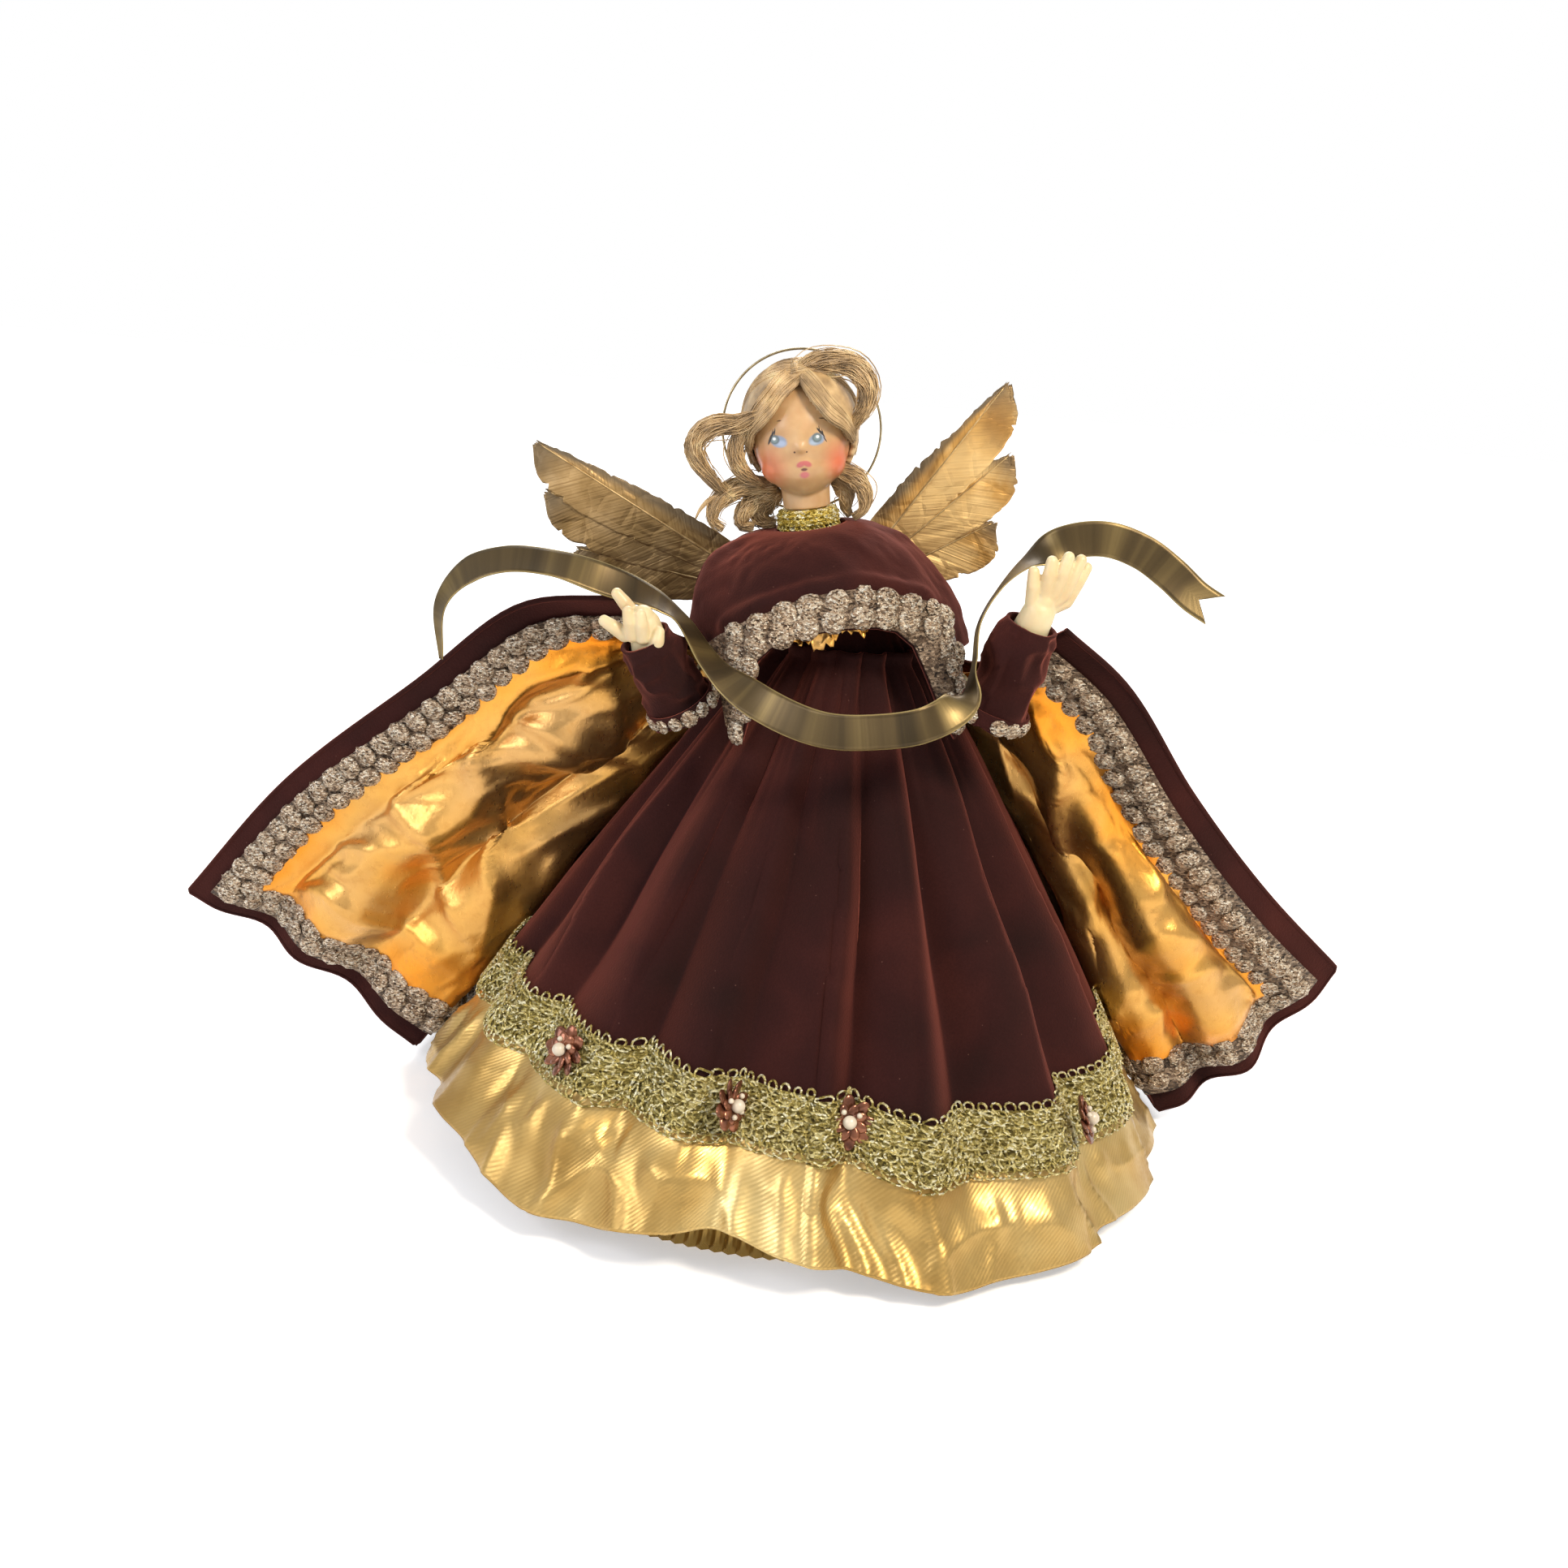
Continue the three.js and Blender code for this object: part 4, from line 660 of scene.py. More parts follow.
def gownPoint(angle, height):
    below = np.clip(1 - height / doll["waistHeight"], 0, None)
    radius = gown["waistRadius"] + (doll["hemRadius"] - gown["waistRadius"]) * below ** gown["power"]
    waist, middle, low = gown["depths"]
    deepest = gown["deepest"]
    depth = np.where(below < deepest, waist + (middle - waist) * below / deepest,
                     middle + (low - middle) * (below - deepest) / (1 - deepest))
    front = eased(-0.1, 0.35, -np.sin(np.radians(angle)))
    depth = depth * (1 + gown["frontDeeper"] * front * (1 - 0.55 * eased(0.74, 0.9, below)))
    bent = angle + 2.2 * smoothNoise(height / 38, angle / 25, 5) * eased(0, 0.3, below)
    fold, index = pleat(bent)
    varied = smoothNoise(index * 1.7 + 0.4, height / 55, 11)
    fold = fold * (0.78 + 0.42 * varied * eased(0.05, 0.3, below))
    small = smoothNoise(angle / 5, height / 60, 8) * 0.35
    small = small + smoothNoise(angle / 16, height / 30, 9) * 0.9
    gathered = smoothNoise(angle / 3.2, height / 45, 10) * 1.1 * (1 - eased(0.1, 0.42, below))
    curl = 0
    for rise, at, wide, level, tall in gown["rolls"]:
        curl = curl + rise * np.exp(-((angle - at) / wide) ** 2 - ((height - level) / tall) ** 2)
    curl = curl + gown["standOff"] * eased(177.5, 179, height)   # gathered off the bodice
    radius = (radius + depth * fold + small * eased(0.02, 0.3, below)
              + gathered * eased(0.0, 0.05, below) + curl)
    turn = np.radians(angle)
    return np.stack([gown["waistOffset"] * height / doll["waistHeight"] + radius * np.cos(turn),
                     radius * np.sin(turn), height + 0 * angle], axis=-1) + shift


gownAngles = 180 - np.arange(gown["columns"]) / gown["columns"] * 360
laceLow = roundShares(gown["laceLow"], gownAngles) * doll["waistHeight"]
hemLow = roundShares(gown["hem"], gownAngles) * doll["waistHeight"]
seam = laceLow + gown["overlap"]


def gownGrid(top, bottom, rows):
    share = np.linspace(0, 1, rows)[:, None]
    height = top + (bottom - top) * share
    return gownPoint(gownAngles[None, :], height), height


skirtPoints, _ = gownGrid(gown["gathers"] * np.ones_like(seam), seam, gown["rows"])
skirt = clothPiece("gown_skirt", skirtPoints, 0, gown["velvet"], velvet, True)
finishPiece(skirt, "body", "velvet", "skirt_velvet")

signed = np.mod(gownAngles + 180, 360) - 180
raised = sum(rise * np.exp(-((signed - at) / wide) ** 2) for rise, at, wide in gown["hemLifts"])
bandPoints, bandHeight = gownGrid(seam - 0.5, hemLow + raised, gown["hemRows"])
bandUv = clothUv(bandPoints, True)
bandAcross = bandUv[:, :-1, 0]
bandDown = (seam - bandHeight) / (seam - hemLow)
slant = bandAcross + 7 * smoothNoise(bandAcross / 40, bandDown * 2, 24)
darts = ridges(slant / 13, bandHeight / 60, 21) * 1.7 + ridges(slant / 31, bandHeight / 40, 22) * 1.9
nearLace = ridges(slant / 6, bandHeight / 22, 25) * 0.9 * (1 - eased(0.45, 0.85, bandDown))
swell = smoothNoise(bandAcross / 26, bandHeight / 18, 23) * 2.0
bandPush = (darts + nearLace + swell) * eased(0.26, 0.6, bandDown)
bandPoints = bandPoints + gridNormals(bandPoints, True) * bandPush[..., None]
band = clothPiece("gown_hem", bandPoints, gown["hemGap"], gown["hemGap"] + gown["foil"], lame, True,
                  bandUv)
finishPiece(band, "body", "lame", "hem_band")
print("skirt and hem are sewn")

lace = {"rows": [0.03, 0.19, 0.36, 0.53, 0.7, 0.86, 1.0], "pitch": 3.9, "loop": 2.5, "edgeLoop": 2.2,
        "thread": 0.4, "base": 1.6, "rise": 0.75, "steps": 12, "ground": 0.5,
        "reach": 0.78, "radius": 106}


def laceSurface(angle, share):
    # A point of the lace, its outward normal and its way down; share runs down the lace.
    high = roundShares(gown["laceHigh"], angle) * doll["waistHeight"]
    low = roundShares(gown["laceLow"], angle) * doll["waistHeight"]
    height = high + (low - high) * share
    here = gownPoint(angle, height)
    aside = gownPoint(angle - 0.4, height) - gownPoint(angle + 0.4, height)
    down = gownPoint(angle, height - 0.8) - gownPoint(angle, height + 0.8)
    return here, unit(np.cross(aside, down)), unit(down)


def sewLace():
    angles = gownAngles[None, :]
    share = np.linspace(0.03, 0.96, 12)[:, None]
    points, _, _ = laceSurface(angles + 0 * share, share + 0 * angles)
    ground = clothPiece("lace_ground", points, lace["base"], lace["base"] + lace["ground"], laceShade,
                        True)
    finishPiece(ground, "body", "lace", "lace_braid")
    rounds = doll["hemRadius"] * lace["reach"] * fullTurn
    loops = int(rounds / lace["pitch"])
    steps = loops * lace["steps"]
    phase = np.arange(steps) / lace["steps"] * fullTurn
    rows = []
    for row, middle in enumerate(lace["rows"]):
        rng = np.random.default_rng(40 + row)
        atEdge = row in (0, len(lace["rows"]) - 1)
        size = (lace["edgeLoop"] if atEdge else lace["loop"]) * (
            1 + 0.12 * np.repeat(rng.uniform(-1, 1, loops), lace["steps"]))
        turn = phase + row * 2.1
        swing = np.degrees(size * np.sin(turn) / lace["radius"])
        angle = 180 - (np.arange(steps) / steps * 360 + swing)
        point, normal, down = laceSurface(angle, np.full(steps, middle))
        sway = smoothNoise(np.arange(steps) / 9, np.full(steps, 0.3), 60 + row)
        sway = sway * (0.25 if atEdge else 0.8)
        point = (point + down * (size * np.cos(turn) + sway)[:, None]
                 + normal * (lace["base"] + lace["rise"] + 0.45 * np.sin(2 * turn + row))[:, None])
        rows.append(threads(point[None], lace["thread"], 4, normal[None], True))
    loopsPiece = joinedMeshes("lace_loops", rows, laceTinsel)
    finishPiece(loopsPiece, "body", "lace")


sewLace()
print("lace is looped")

# Cape: two flaps spread by the arms and a back that falls over the skirt

cape = {
    "tops": {
        "left": [[-0.515, -0.265, 1.095], [-0.404, -0.088, 1.011], [-0.309, 0.044, 0.989],
                 [-0.24, 0.118, 1.07], [-0.162, 0.118, 1.152]],
        "right": [[0.559, -0.265, 1.107], [0.426, -0.103, 1.017], [0.324, 0.037, 0.994],
                  [0.22, 0.118, 1.072], [0.059, 0.118, 1.163]]},
    "edges": {
        "left": [[-0.515, -0.265, 1.095], [-0.757, -0.176, 1.051], [-1.029, -0.051, 0.865],
                 [-1.397, 0.103, 0.607], [-1.699, 0.235, 0.312]],
        "right": [[0.559, -0.265, 1.107], [0.743, -0.169, 0.994], [0.963, -0.044, 0.775],
                  [1.228, 0.103, 0.551], [1.493, 0.25, 0.36]]},
    "hemRise": {"left": 0.035, "right": -0.05},
    "waistClear": 4.2, "skirtClear": 10, "wave": 6, "bulge": 10,
    "backWave": 4, "backLow": 5, "backFolds": 5, "joinTop": 40, "joinHem": 9, "waistShare": 0.2,
    "neckRadius": 11.5, "neckForward": 3, "rows": 76, "flapColumns": 60, "backColumns": 110,
}


def skirtCone(height):
    below = np.clip(1 - height / doll["waistHeight"], 0, None)
    return gown["waistRadius"] + (doll["hemRadius"] - gown["waistRadius"]) * below ** gown["power"]


def capeFall(across, down, share):
    join = cape["joinTop"] + (cape["joinHem"] - cape["joinTop"]) * np.minimum(1, 1.6 * down)
    turn = np.radians(join + (180 - 2 * join) * across)
    height = doll["waistHeight"] + (cape["backLow"] - doll["waistHeight"]) * share
    clear = cape["waistClear"] + (cape["skirtClear"] - cape["waistClear"]) * np.minimum(1, 2 * share)
    wave = cape["backWave"] * share * (1 - np.cos(across * cape["backFolds"] * fullTurn)) / 2
    radius = skirtCone(height) + clear + wave
    return np.stack(np.broadcast_arrays(
        gown["waistOffset"] * height / doll["waistHeight"] + radius * np.cos(turn),
        radius * np.sin(turn), height), axis=-1)


def capeNeck(across):
    left = placed(cape["tops"]["left"][4])
    right = placed(cape["tops"]["right"][4])
    share = (1 - np.cos(across * math.pi)) / 2
    point = right + (left - right) * share[..., None]
    arch = np.sin(across * math.pi)
    behind = cape["neckRadius"] + 2 * gown["velvet"] - cape["neckForward"] - point[..., 1]
    point[..., 1] += behind * arch
    point[..., 2] += 2 * gown["velvet"] * arch
    return point


def capeBack(across, down):
    across, down = np.broadcast_arrays(np.asarray(across, float), np.asarray(down, float))
    waist = cape["waistShare"]
    low = capeFall(across, down, np.clip((down - waist) / (1 - waist), 0, 1))
    high = capeNeck(across)
    belt = capeFall(across, np.full_like(down, waist), 0 * down)
    high = high + (belt - high) * (down / waist)[..., None]
    return np.where((down >= waist)[..., None], low, high)


def flapSurface(side):
    sign = -1 if side == "left" else 1
    topAt, _ = evenCurve(placed(cape["tops"][side]))
    edgeAt, drop = evenCurve(placed(cape["edges"][side]))
    sideShare = 1.0 if side == "left" else 0.0
    tip, foot = curveThrough(placed(cape["edges"][side]))(1.0), capeBack(sideShare, 1.0)
    out = unit(np.cross([0, 0, 1], unit(tip - foot)) * -sign)
    hemRise = cape["hemRise"][side] * doll["waistHeight"]

    def at(inward, down):
        inward, down = np.broadcast_arrays(np.asarray(inward, float), np.asarray(down, float))
        share = inward[..., None]
        join = np.full_like(down, sideShare)
        ruled = edgeAt(down) * (1 - share) + capeBack(join, down) * share
        rise = hemRise * np.sin(inward * math.pi)
        bottom = tip * (1 - share) + foot * share
        bottom[..., 2] += rise
        hung = topAt(np.minimum(1, inward)) * (1 - down[..., None]) + bottom * down[..., None]
        first = edgeAt(0 * down) * (1 - share) + capeBack(join, 0 * down) * share
        last = edgeAt(0 * down + 1) * (1 - share) + foot * share
        corners = first * (1 - down[..., None]) + last * down[..., None]
        window = np.sin(inward * math.pi)
        wave = cape["wave"] * np.sin(inward * 5 * math.pi) * np.minimum(1, 1.5 * down)
        bulge = cape["bulge"] * np.sin(down * math.pi)
        return ruled + hung - corners + out * (window * (wave + bulge))[..., None]

    return at, drop


edgeLines = np.arange(0, 23) * 1.0        # every millimetre from the edge to the trim's inner side


def downShares(drop, rows):
    last = 1 - edgeLines[-1] / drop
    return np.concatenate([np.linspace(0, last, rows)[:-1], 1 - edgeLines[::-1] / drop])


def capeGrid(rows, flapColumns, backColumns):
    flaps = {}
    for side in ("left", "right"):
        at, drop = flapSurface(side)
        downs = downShares(drop, rows)
        edge = at(0 * downs, downs)
        join = at(0 * downs + 1, downs)
        width = np.linalg.norm(edge - join, axis=1)
        first = edgeLines[-1] / width
        inner = np.linspace(0, 1, flapColumns + 1)[1:]
        inward = np.concatenate([edgeLines[None, :] / width[:, None],
                                 first[:, None] + (1 - first[:, None]) * inner[None, :]], axis=1)
        flaps[side] = (at(inward, downs[:, None] + 0 * inward), downs)
    share = np.linspace(0, 1, backColumns + 1)[1:-1]
    left, downsLeft = flaps["left"]
    right, downsRight = flaps["right"]
    down = downsLeft[:, None] + (downsRight - downsLeft)[:, None] * share[None, :]
    back = capeBack(1 - share[None, :] + 0 * down, down)
    return np.concatenate([left, back, right[:, ::-1]], axis=1) + shift


capePoints = capeGrid(cape["rows"], cape["flapColumns"], cape["backColumns"])
capeNormals = gridNormals(capePoints)
capeUv = clothUv(capePoints)
capeRows, capeCols = capePoints.shape[:2]
row, col = np.meshgrid(np.arange(capeRows), np.arange(capeCols), indexing="ij")
fromSide = np.minimum(col, capeCols - 1 - col)
fromHem = capeRows - 1 - row
fromEdge = np.minimum(fromSide, fromHem)

soft = smoothNoise(capeUv[..., 0] / 24, capeUv[..., 1] / 40, 3) * 0.5
mantlePoints = capePoints + capeNormals * soft[..., None] * eased(2, 30, fromEdge)[..., None]
mantle = clothPiece("cape_velvet", mantlePoints, 0, gown["velvet"], velvet, uv=capeUv)
finishPiece(mantle, "body", "velvet", "mantle_velvet")


def edgeRun(distance):
    # The cape's points and normals along a line at a distance from its sides and hem.
    d = int(distance)
    part = distance - d
    runs = []
    for table in (capePoints, capeNormals):
        sideways = table[:, d] * (1 - part) + table[:, d + 1] * part
        other = table[:, capeCols - 1 - d] * (1 - part) + table[:, capeCols - 2 - d] * part
        low = table[capeRows - 1 - d] * (1 - part) + table[capeRows - 2 - d] * part
        runs.append(np.concatenate([sideways[:capeRows - 1 - d], low[d:capeCols - d],
                                    other[:capeRows - 1 - d][::-1]]))
    return runs


def rolledEdge():
    run, normal = edgeRun(0.0)
    keepEvery = slice(None, None, 2)
    path = run[keepEvery] + normal[keepEvery] * gown["velvet"] / 2
    return threadPiece("cape_edge", path[None], 1.0, 8, normal[keepEvery][None], velvet)


capeEdge = rolledEdge()
finishPiece(capeEdge, "body", "velvet")


foil = {
    "rows": 118, "flapColumns": 104, "backColumns": 60, "apart": 0.56,
    # Folds of each flap as steps of the cape's grid, across from the edge and down from the top,
    # with their rise and the widths of their steep and gentle sides.
    "folds": {
        "left": [
            ([(18, 8), (24, 16), (23, 22), (24, 28), (29, 33), (36, 38), (43, 43), (45, 47),
              (43, 52)], 6.0, 7, 3),
            ([(22, 28), (23, 31), (26, 39), (30, 47), (33, 51), (39, 52), (43, 52)], 4.5, 3, 7),
            ([(43, 52), (59, 61), (67, 63), (79, 67)], 3.8, 2.5, 8),
            ([(36, 38), (47, 42), (62, 51), (72, 58), (76, 63), (79, 67)], 5.2, 8, 2.5),
            ([(35, 36), (46, 33), (55, 34), (74, 35), (81, 38), (90, 42)], 4.2, 3, 10),
            ([(90, 42), (81, 43), (76, 45), (72, 49)], 3.0, 3, 7),
            ([(72, 49), (78, 51), (84, 56), (88, 62), (89, 65)], 3.0, 3, 7),
            ([(33, 30), (39, 29), (44, 29), (50, 29), (56, 29), (68, 30)], 3.6, 2.5, 8),
            ([(21, 80), (33, 72), (40, 69), (49, 69), (58, 69), (69, 69), (77, 70)], 4.2, 9, 2.5),
            ([(30, 73), (32, 68), (34, 62), (38, 59)], 2.2, 4, 2),
            ([(31, 66), (39, 65), (39, 60), (34, 60)], 2.2, 2, 4),
            ([(79, 67), (83, 71), (80, 74), (80, 82)], 2.5, 3, 3),
            ([(21, 10), (29, 16), (34, 20)], 3.0, 2, 6),
            ([(23, 9), (36, 16), (45, 21), (53, 28)], 3.6, 5, 2),
            ([(22, 17), (17, 20), (19, 24), (22, 28)], 2.4, 2, 5),
            ([(78, 63), (96, 67), (100, 65), (106, 62), (112, 55)], 2.6, 3, 8)],
        "right": [
            ([(22, 11), (27, 17), (35, 23), (46, 33), (57, 43), (65, 49), (73, 54)], 6.5, 9, 2.5),
            ([(21, 7), (26, 12), (33, 19)], 3.2, 2, 5),
            ([(21, 20), (18, 24), (17, 28), (17, 32), (18, 37), (19, 45), (20, 55), (20, 62),
              (23, 68)], 4.6, 3, 7),
            ([(26, 18), (20, 20), (16, 22), (15, 27)], 2.6, 2, 5),
            ([(21, 36), (24, 40), (29, 44), (35, 49), (34, 52), (28, 59), (25, 65)], 4.4, 7, 2.5),
            ([(81, 31), (86, 35), (81, 38), (79, 41)], 3.2, 3, 7),
            ([(92, 47), (96, 52), (94, 56), (89, 59), (74, 55)], 3.8, 3, 6),
            ([(86, 73), (83, 67), (91, 68), (93, 64)], 3.0, 3, 3),
            ([(86, 73), (73, 65), (60, 62)], 3.2, 3, 5),
            ([(86, 73), (66, 68), (50, 67)], 3.2, 5, 3),
            ([(52, 62), (36, 60), (27, 66)], 2.8, 6, 2.5),
            ([(36, 66), (28, 70), (27, 74), (37, 73)], 2.6, 3, 5),
            ([(21, 58), (21, 63), (22, 70), (22, 76)], 2.2, 2, 4),
            ([(22, 8), (23, 11), (18, 6)], 2.0, 2, 3)]},
}


def foldLift(points, normals):
    # How far each point of the lining is lifted by the named folds.
    lift = np.zeros(points.shape[:2])
    for side, folds in foil["folds"].items():
        for path, rise, steep, gentle in folds:
            across, down = np.array(path).T
            across = across if side == "left" else capeCols - 1 - across
            line = evenCurve(capePoints[down, across])[0](np.linspace(0, 1, 70))
            tangent = unit(np.gradient(line, axis=0))
            near = np.all((points > line.min(axis=0) - 32) & (points < line.max(axis=0) + 32), axis=2)
            away = points[near][:, None] - line[None]
            nearest = (away ** 2).sum(axis=2).argmin(axis=1)
            offset = away[np.arange(len(away)), nearest]
            beside = (np.cross(tangent[nearest], offset) * normals[near]).sum(axis=1)
            width = np.where(beside > 0, steep, gentle)
            fade = np.sin(math.pi * np.clip(nearest / 69, 0.05, 0.95)) ** 0.6
            distance = np.linalg.norm(offset, axis=1)
            lift[near] += rise * fade * np.exp(-(distance / width) ** 1.2)
    return lift


def hangLining():
    points = capeGrid(foil["rows"], foil["flapColumns"], foil["backColumns"])
    normals = gridNormals(points)
    uv = clothUv(points)
    rows, cols = points.shape[:2]
    rowAt, colAt = np.meshgrid(np.arange(rows), np.arange(cols), indexing="ij")
    side = np.minimum(colAt, cols - 1 - colAt)
    edge = np.minimum(side, rows - 1 - rowAt)
    across, down = uv[..., 0], -uv[..., 1]
    flapWide = edgeLines[-1] + foil["flapColumns"]
    onFlap = 1 - eased(flapWide - 8, flapWide + 14, side)
    bent = across + 9 * smoothNoise(across / 45, down / 45, 36)
    swells = smoothNoise(across / 30, down / 34, 38) * 3.0
    crossed = ridges(bent / 30 + down / 80, down / 30, 37) * 1.5
    small = ridges(across / 13 + down / 40, down / 17, 39) * 0.55
    small = small + smoothNoise(across / 6, down / 7, 41) * 0.3
    calm = eased(13, 30, edge)
    push = 2.6 + swells + crossed + small
    push = np.clip(push, 0.2, 9) * (0.3 + 0.7 * onFlap)
    push = push + foldLift(points, normals) * (0.45 + 0.55 * onFlap)
    push = push * calm + 0.25 * np.abs(small) * eased(12, 16, edge)
    points = points - normals * push[..., None]
    nearEdge = 1 - eased(16, 46, edge)
    nearTop = 1 - eased(5, 45, down)
    warmth = (0.12 + 0.5 * nearEdge + 0.45 * nearTop * onFlap
              + 0.25 * smoothNoise(across / 17, down / 30, 42))
    # Painted shade: more orange where the lining sits low between its swells and folds.
    warmth = warmth + 0.25 * (1 - eased(0, 2.2, push)) * onFlap
    keep = (edge >= 14) | ((rowAt < 1) & (side >= 14))
    keep &= ~((down < 12) & (side > flapWide - 6))
    piece = clothPiece("cape_lining", points, -foil["apart"] - gown["foil"], -foil["apart"], foilCloth,
                       uv=uv, keep=keep, marks={"warmth": warmth})
    finishPiece(piece, "body", "foil_cloth", "mantle_lining")


hangLining()
print("cape is hung and lined")

# Gimp: wound thread rosettes in two staggered rows on a ground braid

gimp = {"pitch": 8.3, "row": 6.2, "radius": 4.2, "thread": 0.5, "lift": 1.75, "turns": 2.3, "steps": 16,
        "ground": 0.7, "capeLines": [(11.4, 0.0), (18.0, 4.15)], "capeletLines": 8}


def oneRosette():
    share = np.linspace(0, 1, gimp["steps"] + 1)
    turn = share * gimp["turns"] * fullTurn
    reach = gimp["radius"] * (1 - 0.84 * share) * (1 + 0.05 * np.sin(turn * 2.5 + 1))
    path = np.stack([reach * np.cos(turn), reach * np.sin(turn),
                     0.3 + gimp["lift"] * np.sin(share * math.pi / 2)], axis=-1)
    points, faces, _ = threads(path[None], gimp["thread"] * (1.1 - 0.2 * share), 3,
                                np.broadcast_to([0.0, 0.0, 1.0], path.shape)[None])
    ring = np.arange(10) / 10 * fullTurn
    dome = [np.stack([r * np.cos(ring), r * np.sin(ring), np.full(10, z)], axis=-1)
            for r, z in ((gimp["radius"], 0.0), (gimp["radius"] * 0.93, 0.85),
                         (gimp["radius"] * 0.62, 1.6), (0.8, 2.0))]
    base = len(points)
    points = np.concatenate([points, *dome])
    for level in range(3):
        for i in range(10):
            a, b = base + level * 10 + i, base + level * 10 + (i + 1) % 10
            faces.append([a, b, b + 10, a + 10])
    faces.append(list(range(base + 30, base + 40)))
    faces.append(list(range(base + 9, base - 1, -1)))
    return points, faces


rosettePoints, rosetteFaces = oneRosette()


def rosettePiece(name, places, normals, seed, size=1.0):
    rng = np.random.default_rng(seed)
    count = len(places)
    spin = rng.uniform(0, fullTurn, count)
    sizes = size * rng.uniform(0.94, 1.1, count)
    tilt = unit(normals + rng.normal(0, 0.09, (count, 3)))
    aside = unit(np.cross(tilt, [0.3, 0.2, 1.0]))
    ahead = np.cross(tilt, aside)
    c, s = np.cos(spin)[:, None], np.sin(spin)[:, None]
    first, second = aside * c + ahead * s, -aside * s + ahead * c
    local = rosettePoints[None] * sizes[:, None, None]
    points = (places[:, None] + local[..., :1] * first[:, None] + local[..., 1:2] * second[:, None]
              + local[..., 2:] * tilt[:, None])
    total = len(rosettePoints)
    faces = [[corner + k * total for corner in face] for k in range(count) for face in rosetteFaces]
    uv = np.zeros((sum(len(face) for face in faces), 2))
    return pieceFrom(name, points.reshape(-1, 3), faces, uv, gimpTinsel)


def stepsAlong(line, normal, pitch, offset=0.0):
    run = np.concatenate([[0], np.cumsum(np.linalg.norm(np.diff(line, axis=0), axis=1))])
    count = int((run[-1] - offset - pitch / 2) / pitch)
    at = offset + pitch * (0.5 + np.arange(count))
    places = np.stack([np.interp(at, run, line[:, k]) for k in range(3)], axis=-1)
    normals = np.stack([np.interp(at, run, normal[:, k]) for k in range(3)], axis=-1)
    return places, unit(normals)


def trimCape():
    under = -(foil["apart"] + gown["foil"] + doll["clearance"])
    keep = (fromEdge >= 8) & (fromEdge < 21)
    ground = clothPiece("cape_gimp_ground", capePoints, under - gimp["ground"], under, gimpShade,
                        uv=capeUv, keep=keep)
    finishPiece(ground, "body", "gimp", "mantle_trim")
    places, normals = [], []
    for distance, offset in gimp["capeLines"]:
        run, normal = edgeRun(distance)
        place, out = stepsAlong(run, -normal, gimp["pitch"], offset)
        places.append(place + out * -(under - 0.5))
        normals.append(out)
    rosettes = rosettePiece("cape_gimp", np.concatenate(places), np.concatenate(normals), 71)
    finishPiece(rosettes, "body", "gimp")


trimCape()
print("cape is trimmed")

# Capelet over the shoulders

capelet = {
    "edge": [(180, 1.62), (160, 1.6), (135, 1.45), (112, 1.16), (90, 1.12), (68, 1.2), (45, 1.45),
             (20, 1.6), (0, 1.66), (-15, 1.66), (-24, 1.7), (-30, 1.93), (-37, 2.2), (-44, 2.42),
             (-47, 2.2), (-49.5, 1.8), (-52, 1.52), (-58, 1.38), (-66, 1.33), (-74, 1.31), (-84, 1.32),
             (-94, 1.37), (-104, 1.43), (-112, 1.52), (-118, 1.66), (-122, 2.1), (-128, 2.46),
             (-135, 2.36), (-140, 1.84), (-146, 1.66), (-156, 1.62), (-168, 1.62), (-180, 1.62)],
    "band": 0.93, "turn": 1.4, "shoulder": 34, "back": 20, "neckRadius": 11.5, "neckOffset": -9,
    "neckForward": 3, "neckLean": 10, "collar": 5.6, "trim": (-25, -145), "arch": (-66, -112),
    "columns": 360, "rows": 40, "bandRows": 30, "archTop": 0.93, "archDrop": 0.21, "rim": 2.4,
}


def capeletPoint(angle, fall):
    turnAngle = np.radians(angle)
    back = np.maximum(0, np.sin(turnAngle)) ** 1.5
    dome = capelet["shoulder"] + (capelet["back"] - capelet["shoulder"]) * back
    turn = np.minimum(fall / dome, capelet["turn"])
    beyond = np.maximum(0, fall - capelet["turn"] * dome)
    fold = np.cos(turnAngle * 9) * np.minimum(1, fall / capelet["shoulder"]) ** 3
    radius = (capelet["neckRadius"] + dome * np.sin(turn) + beyond * math.cos(capelet["turn"]) + fold)
    drop = dome * (1 - np.cos(turn)) + beyond * math.sin(capelet["turn"])
    lean = math.sin(math.radians(capelet["neckLean"]))
    top = doll["waistHeight"] + doll["neckRise"] + capelet["collar"] - gown["velvet"]
    x = radius * np.cos(turnAngle)
    tilt = lean * np.maximum(0.4, 1.3 - fall / capelet["shoulder"])
    return np.stack([capelet["neckOffset"] + lean * 1.4 * drop + x,
                     -capelet["neckForward"] + radius * np.sin(turnAngle), top - drop + x * tilt],
                    axis=-1) + shift


capeletAngles = 180 - np.arange(capelet["columns"]) / capelet["columns"] * 360
edgeAngles, edgeShares = np.array(capelet["edge"]).T
capeletEdge = np.interp(-capeletAngles, -edgeAngles, edgeShares)


def gimpTop(angle):
    # Where the gimp begins below the neck: an arch that drops towards both tabs.
    away = np.minimum(np.abs(np.asarray(angle, float) + 73), 76) / 38
    return capelet["archTop"] + capelet["archDrop"] * away ** 1.72


